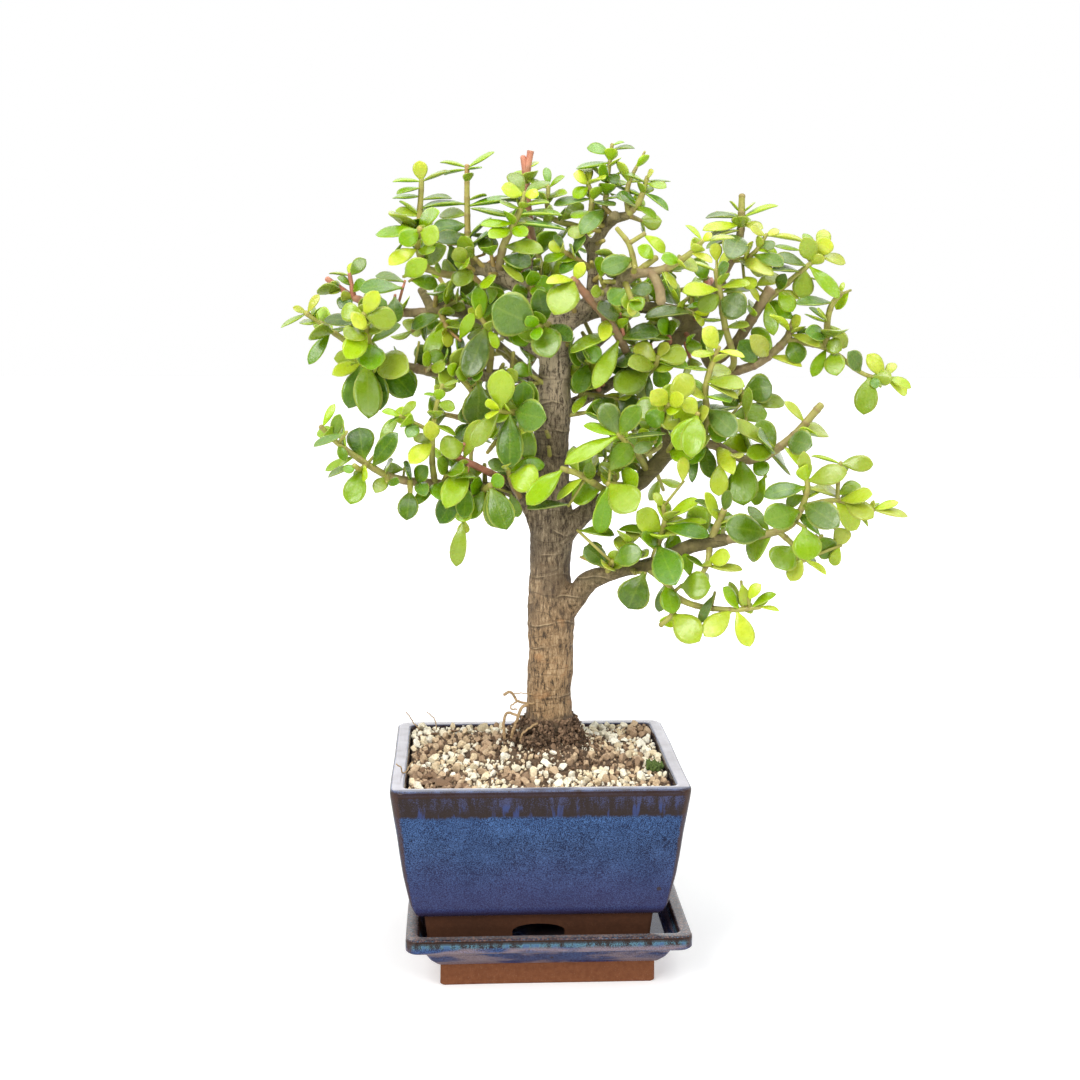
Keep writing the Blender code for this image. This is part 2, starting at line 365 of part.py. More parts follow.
         (79, 288, 73, 270, -32, 12, 80, 2), (84, 287, 80, 266, -38, 12, 80, 2),
         (84, 289, 76, 295, -26, 8, 70, 1), (74, 267, 72, 251, -22, 14, 85, 2),
         (83, 268, 81, 253, -14, 4.5, 60, 4), (87, 268, 90, 255, -16, 8, 70, 3),
         (93, 322, 85, 331, -26, 10, 65, 0), (92, 319, 80, 318, -24, 6, 40, 1),
         (92, 320, 106, 317, -24, 4, 30, 0), (90, 310, 77, 311, -22, 6, 30, 2),
         (88, 304, 106, 302, -26, 9, 45, 1), (88, 303, 103, 296, -26, 5, 35, 1),
         (88, 291, 102, 278, -32, 12, 75, 4), (87, 296, 79, 299, -22, 8, 50, 1),
         (88, 284, 96, 275, -16, 9, 60, 3)], 0),
    "spray_low_right_end": (
        [([(98, 221.7, -17), (112, 223, -20), (124, 226, -22), (133, 230, -24), (138, 238, -26),
           (141, 252, -27), (137, 261, -27)], 2.3, 1.2),
         ([(139, 240, -26), (150, 242, -24), (158, 243, -24), (168, 239, -26), (176, 238, -28)], 1.4, 1.0),
         ([(157, 243, -24), (157, 253, -22), (158, 263, -22)], 1.1, 0.9),
         ([(126, 227, -22), (134, 220, -26), (141, 211, -28)], 1.5, 1.2)],
        [(140, 250, 119, 245, -32, 10, 55, 3), (137, 238, 120, 232, -42, 14, 85, 3),
         (140, 229, 143, 212, -40, 14, 88, 2), (139, 241, 157, 230, -44, 14, 80, 4),
         (141, 253, 160, 257, -34, 11, 60, 1), (141, 249, 157, 245, -20, 8, 45, 1),
         (141, 256, 138, 268, -34, 6, 60, 1), (158, 243, 174, 246, -34, 9, 55, 1),
         (160, 241, 175, 234, -34, 10, 65, 1), (158, 246, 168, 251, -20, 8, 60, 2),
         (176, 238, 188, 242, -28, 5, 40, 1), (176, 238, 193, 235, -28, 6, 45, 1), (159, 262, 174, 262, -24, 8, 75, 1),
         (125, 224, 112, 213, -16, 11, 70, 2), (121, 227, 100, 229, -32, 15, 85, 3),
         (137, 220, 126, 208, -32, 15, 80, 2), (139, 212, 134, 201, -30, 8, 75, 1),
         (146, 224, 155, 214, -22, 11, 80, 3), (156, 229, 162, 221, -18, 9, 80, 1),
         (141, 211, 152, 204, -28, 4, 40, 0), (141, 212, 147, 209, -20, 5, 60, 3)], 0),
    "spray_low_right_stub": (
        [([(91, 221, -16), (94, 229, -19), (98, 238, -22)], 2.0, 1.7)],
        [(97, 236, 83, 242, -26, 6, 25, 4), (98, 238, 101, 247, -28, 7, 50, 4),
         (95, 228, 103, 234, -12, 8, 60, 2), (94, 232, 88, 246, -30, 7, 60, 1)], 0),
    "spray_low_right_hang": (
        [([(91, 220, -16), (90, 210, -20), (87, 203, -22)], 1.7, 1.2)],
        [(90, 211, 101, 213, -26, 9, 70, 1), (89, 208, 107, 206, -26, 6, 35, 1),
         (88, 207, 79, 213, -18, 5, 30, 3), (87, 203, 91, 201, -20, 4, 40, 2)], 0),
    "spray_low_right_under": (
        [([(58, 207, -10), (67, 200, -14), (76, 190, -16), (85, 189, -17), (95, 187, -18), (104, 184.5, -19),
           (118, 186, -20)], 1.9, 1.2),
         ([(76, 190, -16), (72, 182, -18), (66, 176, -19)], 1.4, 1.3)],
        [(76, 197, 91, 197, -26, 14, 80, 2), (69, 199, 72, 183, -22, 10, 80, 2),
         (66, 197, 65, 184, -16, 6, 70, 4), (75, 181, 86, 168, -26, 14, 80, 1),
         (103, 183, 90, 171, -26, 11, 70, 1), (94, 193, 87, 178, -20, 5, 60, 4),
         (106, 182, 113, 166, -22, 9, 75, 0), (107, 188, 99, 196, -24, 8, 50, 2),
         (109, 189, 102, 199, -18, 4, 50, 1), (112, 190, 118, 198, -24, 6, 60, 1),
         (113, 188, 126, 193, -22, 5, 40, 2)], 0),
    "spray_low_right_up": (
        [([(61, 209, -10), (63, 216, -13), (65, 224, -15), (67, 232, -16), (66, 240, -17)], 1.9, 1.1)],
        [(64, 219, 73, 199, -36, 16, 80, 4), (65, 226, 53, 236, -26, 12, 80, 1),
         (63, 224, 44, 227, -14, 6, 45, 3), (67, 233, 84, 242, -18, 7, 35, 1),
         (67, 230, 88, 231, -14, 5, 20, 1), (66, 228, 89, 224, -22, 9, 55, 3),
         (64, 219, 55, 224, -26, 9, 70, 3), (66, 240, 61, 246, -20, 5, 60, 1)], 0),
    "spray_low_right_dark": (
        [([(37, 203, -6), (39, 207, -14), (40, 210, -18)], 1.8, 1.3)],
        [(40, 210, 55, 215, -20, 12, 70, 3), (37, 208, 26, 217, -14, 10, 80, 3)], 0),
    "spray_low_right_drop": (
        [([(50, 206.5, -8.5), (52, 204, -16)], 1.7, 1.4)],
        [(57, 204, 49, 186, -24, 16, 85, 3)], 0),
    "spray_centre_front": (
        [([(50, 250, -3), (43, 250, -18), (37, 251, -28)], 1.9, 1.4)],
        [(35, 249, 51, 238, -42, 16, 70, 1), (50, 250, 62, 241, -12, 14, 85, 3),
         (36, 247, 33, 226, -22, 9, 80, 2), (55, 257, 30, 257, -32, 15, 85, 3),
         (38, 258, 48, 271, -22, 12, 85, 2), (52, 243, 59, 228, -14, 12, 80, 2)], 0),
    "spray_centre_up": (
        [([(58, 257, -3), (51, 268, -16), (42, 277, -25)], 1.8, 1.3)],
        [(40, 277, 16, 262, -38, 9, 60, 1), (41, 278, 25, 281, -30, 7, 50, 1),
         (41, 279, 34, 292, -26, 11, 80, 4), (43, 278, 53, 291, -30, 10, 75, 2),
         (45, 275, 66, 277, -26, 5, 30, 4), (61, 273, 51, 268, -28, 7, 60, 4)], 0),
    "spray_upper_inner": (
        [([(44, 356, -11), (47, 350, -18), (48, 346, -22)], 1.8, 1.3)],
        [(47, 350, 58, 351, -20, 8, 60, 3), (48, 347, 53, 341, -26, 8, 70, 2),
         (46, 351, 37, 345, -22, 10, 70, 4)], 2),
    "spray_right_horizontal": (
        [([(72, 341, 5), (75, 341, -6), (80, 339, -12)], 1.8, 1.4)],
        [(80, 338, 56, 337, -16, 8, 45, 3), (75, 342, 86, 344, -12, 7, 30, 3),
         (74, 343, 67, 353, -10, 5, 30, 1)], 2),
    "spray_upper_right": (
        [([(48, 359, -13), (57, 360, -14), (63, 361, -15), (70, 364, -16), (77, 369, -17), (84, 376, -18)],
          2.8, 1.2),
         ([(50, 360, -13), (47, 368, -14), (46, 374, -15), (40, 381.5, -17)], 1.6, 1.2),
         ([(46, 374, -15), (54, 379, -16)], 1.2, 1.1),
         ([(52, 361, -13), (57, 364, -15), (60, 367, -16)], 1.7, 1.5),
         ([(58, 360, -14), (62, 352, -18), (63, 345, -19)], 2.5, 2.6)],
        [(84, 375, 75, 383, -18, 4, 25, 1), (84, 376, 88, 379, -20, 4, 60, 0),
         (83, 375, 99, 377, -16, 6, 15, 1), (77, 370, 88, 365, -24, 5, 30, 0),
         (72, 367, 63, 367, -22, 7, 65, 2), (61, 368, 51, 372, -20, 7, 70, 2),
         (70, 363, 62, 356, -10, 6, 50, 4), (64, 361, 70, 352, -20, 5, 30, 1),
         (46, 366, 33, 361, -26, 10, 80, 4)], 0),
    "spray_leader_tip": (
        [([(45, 388, -6), (51, 395, -8), (54, 402, -9), (55, 407, -9)], 1.9, 1.1),
         ([(46, 388, -6), (45, 401, -4), (53.5, 419.5, -2)], 2.0, 0.6)],
        [(54, 404, 64, 402, -12, 7, 25, 1), (55, 405, 66, 405, -4, 4, 10, 4),
         (55, 406, 58, 410, -12, 5, 40, 0), (54, 404, 44, 408, -12, 7, 20, 2),
         (54, 399, 65, 391, -12, 4, 30, 4), (50, 392, 59, 387, -12, 5, 40, 2),
         (50, 394, 40, 398, -10, 7, 45, 3), (52, 398, 40, 402, 2, 5, 20, 3),
         (49, 392, 42, 396, -18, 8, 50, 4)], 0),
    "spray_top": (
        [([(33, 381, -4), (34, 393, -1), (35, 406, 0), (37, 423, 0)], 1.9, 0.9)],
        [(37, 420, 48, 421, 0, 5, 15, 2),
         (36, 418, 25, 421, 0, 8, 40, 2), (36, 414, 20, 411, -2, 8, 30, 2),
         (35, 412, 41, 416, -8, 5, 25, 1), (36, 408, 40, 404, -8, 6, 60, 3),
         (35, 404, 31, 412, -10, 7, 60, 2), (35, 401, 45, 404, 6, 5, 25, 1),
         (34, 391, 22, 379, -18, 9, 60, 4), (34, 396, 42, 397, -10, 7, 25, 2)], 0),
    "spray_top_left": (
        [([(21, 381, 0), (26, 388, -2), (27, 396, -3), (25, 404, -3)], 1.7, 1.2),
         ([(21, 382, 0), (12, 385, -2), (6, 388, -3), (5, 396, -2), (5, 402, -2)], 1.7, 1.1)],
        [(25, 404, 18, 408, -6, 8, 45, 0), (26, 404, 33, 406, -8, 7, 35, 0),
         (25, 404, 23, 412, 0, 7, 40, 0), (25, 402, 18, 397, -8, 6, 60, 1),
         (27, 396, 9, 393, -8, 7, 30, 4), (27, 395, 38, 393, -8, 7, 25, 4),
         (27, 390, 17, 387, -8, 7, 30, 1), (5, 402, -5, 405, -2, 7, 30, 2),
         (5, 402, 13, 407, -4, 5, 25, 1), (5, 401, 4, 411, 4, 4, 20, 2),
         (5, 396, 15, 399, -8, 6, 30, 1), (12, 386, 14, 392, -8, 7, 40, 3)], 0),
    "spray_leader_low": (
        [([(28, 361, -3), (20, 365, -9), (13, 370, -13)], 1.7, 1.2)],
        [(14, 370, 8, 377, -16, 7, 35, 4), (18, 368, 24, 377, -14, 7, 35, 4),
         (14, 369, 4, 365, -18, 7, 40, 2), (20, 364, 12, 359, -16, 7, 50, 3)], 2),
}

# Sprays behind the trunk, which only the growth rule fills
BACK_SPRAYS = {
    "spray_back_left": [([(-31, 331, 53), (-42, 343, 60), (-50, 356, 62)], 1.9, 1.1),
                        ([(-35, 335, 56), (-52, 334, 54), (-66, 338, 50)], 1.5, 1.0),
                        ([(-34, 334, 56), (-28, 346, 72), (-22, 356, 80)], 1.5, 1.0)],
    "spray_back_middle": [([(4, 353, 33), (0, 368, 42), (-6, 382, 46)], 2.0, 1.1),
                          ([(3, 360, 38), (16, 370, 46), (24, 378, 54)], 1.5, 1.0),
                          ([(3, 356, 36), (-10, 360, 50), (-18, 366, 62)], 1.5, 1.0)],
    "spray_back_right": [([(53, 343, 51), (64, 355, 56), (72, 368, 56)], 1.9, 1.1),
                         ([(57, 348, 54), (78, 352, 52), (92, 356, 46)], 1.5, 1.0),
                         ([(56, 346, 54), (50, 358, 68), (42, 366, 78)], 1.5, 1.0)],
    "spray_back_low_right": [([(53, 265, 49), (68, 273, 56), (82, 282, 56)], 1.9, 1.1),
                             ([(58, 268, 53), (62, 256, 66), (66, 248, 74)], 1.5, 1.0),
                             ([(56, 267, 52), (48, 282, 62), (40, 292, 70)], 1.5, 1.0)],
    "spray_back_low_left": [([(-25, 278, 43), (-40, 285, 48), (-56, 288, 48)], 1.9, 1.1),
                            ([(-28, 281, 46), (-24, 296, 58), (-20, 308, 64)], 1.5, 1.0),
                            ([(-29, 281, 46), (-34, 268, 56), (-34, 258, 64)], 1.5, 1.0)],
    "spray_back_inner": [([(26, 319, 27), (20, 310, 42), (16, 304, 56)], 1.9, 1.1)],
}
BACK_BLADES = 4


def swung(u, swing):
    """How far back a limb with this swing has gone at a drawn place beside the trunk."""
    out = abs(u - TRUNK_U) / SWING_REACH
    return swing * (out if out < 1 else 1 + (out - 1) * SWING_BEYOND)


def seen(u, z, depth, swing=0.0):
    """A drawn point in millimetres of the part's frame, kept on its sight line at the given depth."""
    on_plane = Vector((u, PLANE_Y, z))
    reach = (PLANE_Y + depth + swung(u, swing) - EYE.y) / (PLANE_Y - EYE.y)
    point = EYE + (on_plane - EYE) * reach
    return Matrix.Rotation(PLANT_TURN, 3, "Z") @ point + Vector((POT_X, 0, PLANT_LIFT))


def sight_scale(u, depth, swing):
    """How much larger a thing at this place is than it looks on the drawing plane."""
    return (PLANE_Y + depth + swung(u, swing) - EYE.y) / (PLANE_Y - EYE.y)


def material(name, colour, roughness, metallic=0.0):
    mat = bpy.data.materials.new(name)
    mat.use_nodes = True
    shader = mat.node_tree.nodes["Principled BSDF"]
    shader.inputs["Base Color"].default_value = (*colour, 1.0)
    shader.inputs["Roughness"].default_value = roughness
    shader.inputs["Metallic"].default_value = metallic
    mat.diffuse_color = (*colour, 1.0)
    return mat


def solid(name, verts, faces, mat=None):
    """An object from points in millimetres."""
    mesh = bpy.data.meshes.new(name)
    mesh.from_pydata([tuple(Vector(v) * MM) for v in verts], [], faces)
    if mat:
        mesh.materials.append(mat)
    obj = bpy.data.objects.new(name, mesh)
    bpy.context.scene.collection.objects.link(obj)
    return obj


def drop(obj):
    mesh = obj.data
    bpy.data.objects.remove(obj)
    bpy.data.meshes.remove(mesh)


def boolean(host, parts, operation, solver="EXACT"):
    """Joins parts to the host or cuts them from it, then removes them."""
    group = bpy.data.collections.new(host.name + "_parts")
    for part in parts:
        group.objects.link(part)
    tool = host.modifiers.new("combine", "BOOLEAN")
    tool.operation = operation
    tool.operand_type = "COLLECTION"
    tool.collection = group
    tool.solver = solver
    graph = bpy.context.evaluated_depsgraph_get()
    result = bpy.data.meshes.new_from_object(host.evaluated_get(graph))
    host.modifiers.remove(tool)
    old = host.data
    host.data = result
    result.name = host.name
    bpy.data.meshes.remove(old)
    for part in parts:
        drop(part)
    bpy.data.collections.remove(group)


def keep_largest(obj):
    """Drops loose scraps that a cut leaves and says how many points went."""
    mesh = bmesh.new()
    mesh.from_mesh(obj.data)
    left = set(mesh.verts)
    islands = []
    while left:
        stack = [left.pop()]
        island = set(stack)
        while stack:
            for edge in stack.pop().link_edges:
                for vert in edge.verts:
                    if vert in left:
                        left.discard(vert)
                        island.add(vert)
                        stack.append(vert)
        islands.append(island)
    islands.sort(key=len, reverse=True)
    scraps = [vert for island in islands[1:] for vert in island]
    bmesh.ops.delete(mesh, geom=scraps, context="VERTS")
    mesh.to_mesh(obj.data)
    mesh.free()
    return len(scraps)


def frames(points):
    """Directions along a path, and one side direction per point that doesn't twist."""
    along = []
    for i in range(len(points)):
        before = points[max(i - 1, 0)]
        after = points[min(i + 1, len(points) - 1)]
        along.append((after - before).normalized())
    side = along[0].orthogonal().normalized()
    sides = []
    for direction in along:
        side = (side - direction * side.dot(direction)).normalized()
        sides.append(side)
    return along, sides


def tube(points, radii, count, margin=0.0):
    """A closed tube through the points, with flat ends; margin thickens and lengthens it."""
    along, sides = frames(points)
    points = list(points)
    points[0] = points[0] - along[0] * margin
    points[-1] = points[-1] + along[-1] * margin
    verts = []
    for point, radius, direction, side in zip(points, radii, along, sides):
        other = direction.cross(side)
        for k in range(count):
            turn = 2 * math.pi * k / count
            verts.append(point + (side * math.cos(turn) + other * math.sin(turn)) * (radius + margin))
    faces = [tuple(reversed(range(count)))]
    for i in range(len(points) - 1):
        for k in range(count):
            a = i * count + k
            b = i * count + (k + 1) % count
            faces.append((a, b, b + count, a + count))
    last = (len(points) - 1) * count
    faces.append(tuple(range(last, last + count)))
    return verts, faces


def stem_sides(radius):
    return 6 if radius > 2.1 else (5 if radius > 1.5 else 4)


def spread_radii(first, last, count):
    return [first + (last - first) * i / (count - 1) for i in range(count)]


def blade(length, width, age, margin=0.0):
    """A thick leaf along +Y that faces +Z, narrow at the base and broad past the middle.

    A broad one swells on both sides, a slim one on its upper side only. Returns points and triangles;
    point 0 is the base.
    """
    half = width / 2
    thick = BLADE_HALF_THICK * (1.0 + 0.1 * min(age, 3)) * (0.75 + 0.25 * min(width / 10, 1))

    def place(across, t, lift):
        arch = BLADE_ARCH * length * 4 * t * (1 - t)
        cup = BLADE_CUP * width * across * across * min(t * 3, 1)
        return Vector((across * (half + margin), t * (length + margin), arch + cup + lift))

    if width > BROAD_BLADE:
        outline = [(0.0, 0.0), (0.9, 0.42), (0.86, 0.82), (0.0, 1.0), (-0.86, 0.82), (-0.9, 0.42)]
        verts = [place(a, t, 0.0) for a, t in outline]
        verts.append(place(0.0, 0.58, thick + margin))
        verts.append(place(0.0, 0.58, -thick - margin))
        faces = [(k, (k + 1) % 6, 6) for k in range(6)] + [((k + 1) % 6, k, 7) for k in range(6)]
    else:
        outline = [(0.0, 0.0), (0.95, 0.5), (0.55, 0.96), (-0.55, 0.96), (-0.95, 0.5)]
        verts = [place(a, t, -0.5 * thick * min(2 * t, 1) - margin * (t > 0)) for a, t in outline]
        verts.append(place(0.0, 0.6, thick + margin))
        faces = [(k, (k + 1) % 5, 5) for k in range(5)] + [(0, 4, 1), (1, 4, 3), (1, 3, 2)]
    return verts, faces


def blade_matrix(base, tip, normal):
    along = (tip - base).normalized()
    up = (normal - along * normal.dot(along)).normalized()
    across = along.cross(up)
    turn = Matrix((across, along, up)).transposed().to_4x4()
    return Matrix.Translation(base) @ turn


SEEN_FROM = Matrix.Rotation(PLANT_TURN, 3, "Z") @ EYE + Vector((POT_X, 0, PLANT_LIFT))


def thinned(drawn, radii):
    """Drops the points of a stem that lie almost straight between their neighbours."""
    keep = [0]
    for i in range(1, len(drawn) - 1):
        a = Vector(drawn[keep[-1]])
        run = Vector(drawn[i + 1]) - a
        worst = 0.0
        for k in range(keep[-1] + 1, i + 1):
            off = Vector(drawn[k]) - a
            worst = max(worst, (off - run * (off.dot(run) / run.length_squared)).length)
        if worst > STEM_TOLERANCE:
            keep.append(i)
    keep.append(len(drawn) - 1)
    return [drawn[i] for i in keep], [radii[i] for i in keep]


class Thicket:
    """Everything that has grown so far, to test a new piece against."""

    def __init__(self):
        self.items = []

    def add(self, owner, verts, faces, root=None):
        """Keeps a piece; a blade gives its root, and a part of it that starts past its base faces."""
        centre = sum(verts, Vector()) / len(verts)
        radius = max((v - centre).length for v in verts)
        whole = BVHTree.FromPolygons(verts, faces)
        outer = whole
        if root:
            outer = BVHTree.FromPolygons(verts, [f for f in faces if 0 not in f])
        self.items.append((owner, centre, radius, whole, outer, root))

    def crosses(self, owner, verts, faces, root=None):
        """Whether a new piece crosses an old one; a blade may meet its own spray near its base."""
        centre = sum(verts, Vector()) / len(verts)
        radius = max((v - centre).length for v in verts)
        whole = BVHTree.FromPolygons(verts, faces)
        outer = whole
        if root:
            outer = BVHTree.FromPolygons(verts, [f for f in faces if 0 not in f])
        for name, middle, reach, other, other_outer, other_root in self.items:
            if (middle - centre).length > reach + radius:
                continue
            if name != owner:
                if whole.overlap(other):
                    return True
            elif root:
                shared = other_root and (other_root - root).length < SHARED_ROOT
                if outer.overlap(other_outer if shared else other):
                    return True
                if other_root and not shared and whole.overlap(other_outer):
                    return True
        return False


class Spray:
    """One leafy spray: its stems and the blades and twigs found for it."""

    def __init__(self, name, stems, swing):
        self.name = name
        self.swing = swing
        self.stems = []
        for drawn, first, last in stems:
            kept, radii = thinned(drawn, spread_radii(first, last, len(drawn)))
            self.stems.append((kept, [seen(*p, swing) for p in kept], radii))
        self.blades = []
        self.twigs = []

    def root_at(self, u, z):
        """The nearest stem point to a drawn place: its distance on the drawing, the point, its depth."""
        best = None
        for drawn, points, radii in self.stems:
            for i in range(len(drawn) - 1):
                a = Vector(drawn[i])
                b = Vector(drawn[i + 1])
                run = (b - a).xy
                t = (Vector((u, z)) - a.xy).dot(run) / max(run.length_squared, 1e-6)
                last = 1.0 - END_MARGIN / (b - a).length if i == len(drawn) - 2 else 1.0
                t = max(0.0, min(last, t))
                away = (Vector((u, z)) - a.lerp(b, t).xy).length
                if best is None or away < best[0]:
                    best = (away, points[i].lerp(points[i + 1], t), a.lerp(b, t).z)
        return best


def try_blade(thicket, spray, base, tip, normal, width, age):
    """Adds the blade if it clears everything else; its base may meet its own spray."""
    base = base - (tip - base).normalized() * BASE_SINK
    length = (tip - base).length
    place = blade_matrix(base, tip, normal)
    verts, faces = blade(length, width, age, CLEARANCE)
    if thicket.crosses(spray.name, [place @ v for v in verts], faces, base):
        return False
    verts, faces = blade(length, width, age)
    thicket.add(spray.name, [place @ v for v in verts], faces, base)
    spray.blades.append((place, length, width, age))
    return True


DRAWN_TRIES = [(0, 0, 1.0), (-5, 0, 1.0), (5, 0, 1.0), (0, 25, 1.0), (0, -25, 1.0), (-10, 0, 1.0),
               (10, 0, 1.0), (-6, 25, 0.9), (6, -25, 0.9), (-16, 0, 0.9), (16, 0, 0.9), (0, 0, 0.8),
               (-8, 0, 0.8), (8, 0, 0.8), (-22, 0, 0.85), (22, 0, 0.85), (-12, -30, 0.75), (0, 0, 0.65),
               (-10, 0, 0.65), (10, 0, 0.65)]


def drawn_blade(thicket, spray, row):
    """Places one blade of the drawing, bent clear of its neighbours where it has to be."""
    base_u, base_z, tip_u, tip_z, tip_depth, width, face, age = row
    away, root, root_depth = spray.root_at(base_u, base_z)
    for push, turn, size in DRAWN_TRIES:
        depth = tip_depth + push
        twig = None
        if away > TWIG_WHEN_AWAY:
            base = seen(base_u, base_z, root_depth + 0.6 * (depth - root_depth), spray.swing)
            reach = (base - root).normalized()
            twig = tube([root, base + reach * TWIG_PAST_BLADE], [TWIG_RADIUS, TWIG_RADIUS * 0.9], 4)
            start = root + reach * TWIG_REACH
            if thicket.crosses(spray.name, *tube([start, base + reach], [TWIG_RADIUS] * 2, 4, CLEARANCE)):
                continue
        else:
            base = root
        tip = seen(tip_u, tip_z, depth, spray.swing)
        tip = base + (tip - base) * size
        angle = math.radians(max(0, min(90, face + turn)))
        to_eye = (SEEN_FROM - base).normalized()
        normal = Vector((0, 0, 1)) * math.cos(angle) + to_eye * math.sin(angle)
        if try_blade(thicket, spray, base, tip, normal, width * size * sight_scale(tip_u, depth, spray.swing), age):
            if twig:
                spray.twigs.append(twig)
                thicket.add(spray.name, *twig)
            return True
    return False


RULE_TRIES = [(0, 0, 1.0), (25, 0, 1.0), (-25, 0, 1.0), (0, 15, 0.9), (45, 0, 0.85), (-45, 0, 0.85),
              (0, -15, 0.75), (90, 0, 0.7)]


def rule_blades(thicket, spray, per_stem, draw):
    """Opposite pairs along each stem, each pair turned a quarter from the last, older ones larger."""
    for drawn, points, radii in spray.stems:
        along, sides = frames(points)
        runs = [(b - a).length for a, b in zip(points, points[1:])]
        total = sum(runs)
        spin = draw.uniform(0, 180)
        added = 0
        walked = total - END_MARGIN
        pair = 0
        while walked > 4.0 and added < per_stem:
            rest = walked
            index = 0
            while index < len(runs) - 1 and rest > runs[index]:
                rest -= runs[index]
                index += 1
            spot = points[index].lerp(points[index + 1], min(rest / runs[index], 1.0))
            direction = (points[index + 1] - points[index]).normalized()
            side = sides[index] - direction * sides[index].dot(direction)
            age_here = min(pair, 3)
            length = (9.5, 13.0, 15.5, 17.0)[age_here] * draw.uniform(0.88, 1.12)
            width = length * draw.uniform(0.58, 0.72)
            lean = (34, 52, 62, 70)[age_here] + draw.uniform(-7, 7)
            for half_turn in (0, 180):
                if added >= per_stem:
                    break
                for twist, tilt, size in RULE_TRIES:
                    around = math.radians(spin + 90 * pair + half_turn + twist)
                    outward = Matrix.Rotation(around, 3, direction) @ side.normalized()
                    angle = math.radians(lean + tilt)
                    heading = direction * math.cos(angle) + outward * math.sin(angle)
                    heading.z -= 0.12 * pair
                    heading.normalize()
                    tip = spot + heading * length * size
                    if try_blade(thicket, spray, spot, tip, direction, width * size, age_here):
                        added += 1
                        break
            pair += 1
            walked -= NODE_STEP


def grow(plan):
    """Grows every spray of the plan, and returns them with the blades that found room."""
    thicket = Thicket()
    draw = random.Random(SEED)
    for limb, (drawn, radii) in LIMBS.items():
        points = [seen(*p, LIMB_SWING.get(limb, 0.0)) for p in drawn]
        for i in range(len(points) - 1):
            thicket.add("limbs", *tube(points[i:i + 2], radii[i:i + 2], 8))
    sprays = []
    for name, (stems, rows, extra) in plan.items():
        spray = Spray(name, stems, LIMB_SWING.get(SPRAY_LIMB.get(name), 0.0))
        sprays.append((spray, rows, extra))
        for drawn, points, radii in spray.stems:
            for i in range(len(points) - 1):
                thicket.add(name, *tube(points[i:i + 2], radii[i:i + 2], 6))
    missed = 0
    for spray, rows, extra in sprays:
        for row in rows:
            if not drawn_blade(thicket, spray, row):
                missed += 1
    for spray, rows, extra in sprays:
        if extra:
            rule_blades(thicket, spray, extra, draw)
    return [spray for spray, rows, extra in sprays], missed


def rounded_ring(half_x, half_y, corner, z, per_corner):
    """Points round a rounded rectangle, from its right side, counter-clockwise."""
    ring = []
    for k, (sx, sy) in enumerate(((1, 1), (-1, 1), (-1, -1), (1, -1))):
        for j in range(per_corner):
            turn = math.pi / 2 * (k + j / (per_corner - 1))
            ring.append(Vector((sx * (half_x - corner) + corner * math.cos(turn),
                                sy * (half_y - corner) + corner * math.sin(turn), z)))
    return ring


def inset_rings(half, corner, profile, per_corner=4):
    """One ring for each (inset, z) of a profile, with corners that tighten as the ring shrinks."""
    rings = []
    for inset, z in profile:
        radius = max(corner - inset * 0.5, 2.0)
        rings.append(rounded_ring(half[0] - inset, half[1] - inset, radius, z, per_corner))
    return rings


def skin(rings):
    """Closes a stack of equal rings into one solid, with flat first and last faces."""
    count = len(rings[0])
    verts = [v for ring in rings for v in ring]
    faces = [tuple(reversed(range(count)))]
    for i in range(len(rings) - 1):
        for k in range(count):
            a = i * count + k
            b = i * count + (k + 1) % count
            faces.append((a, b, b + count, a + count))
    last = (len(rings) - 1) * count
    faces.append(tuple(range(last, last + count)))
    return verts, faces


def shifted(verts, x):
    return [v + Vector((x, 0, 0)) for v in verts]


# Pot wall as (inset from the rim's outer edge, height), outside from the foot up and inside down
POT_OUTSIDE = [(18.5, POT_FOOT_Z), (16.5, POT_GLAZE_END_Z), (14.0, POT_GLAZE_END_Z + 0.1), (11.8, 41.4),
               (9.8, 47.0), (6.5, 63.0), (3.5, 85.0), (0.5, 104.5), (0.0, 107.9), (1.0, POT_RIM_Z)]
POT_INSIDE = [(7.6, POT_RIM_Z), (8.6, 108.2), (11.0, 85.0), (14.0, 63.0), (18.0, 50.0),
              (21.5, POT_FLOOR_TOP_Z)]
POT_UNDER = [(FOOT_HOLLOW_INSET, POT_FOOT_Z - CUT_PAST), (FOOT_HOLLOW_INSET, POT_FOOT_Z),
             (FOOT_HOLLOW_INSET - 1.0, POT_FLOOR_UNDER_Z)]
SAUCER_WALL = [(18.0, 0.0), (17.25, 0.8), (17.25, SAUCER_FOOT_Z), (15.6, SAUCER_FOOT_Z + 0.4), (12.0, 16.0),
               (9.3, 20.8), (7.5, 23.0), (1.2, 23.9), (0.0, 25.2), (0.0, 30.4), (0.9, SAUCER_RIM_Z),
               (5.8, SAUCER_RIM_Z), (6.8, 30.2), (8.8, 21.6), (10.4, SAUCER_FLOOR_Z)]
# Soil side as (inset from the rim's outer edge, height), from the pot's floor up, clear of the pot's inside
SOIL_SIDE = [(22.0, POT_FLOOR_TOP_Z + GAP), (18.0 + GAP, 50.0), (14.0 + GAP, 63.0), (11.0 + GAP, 85.0),
             (9.0 + GAP, SOIL_EDGE_Z - 4)]


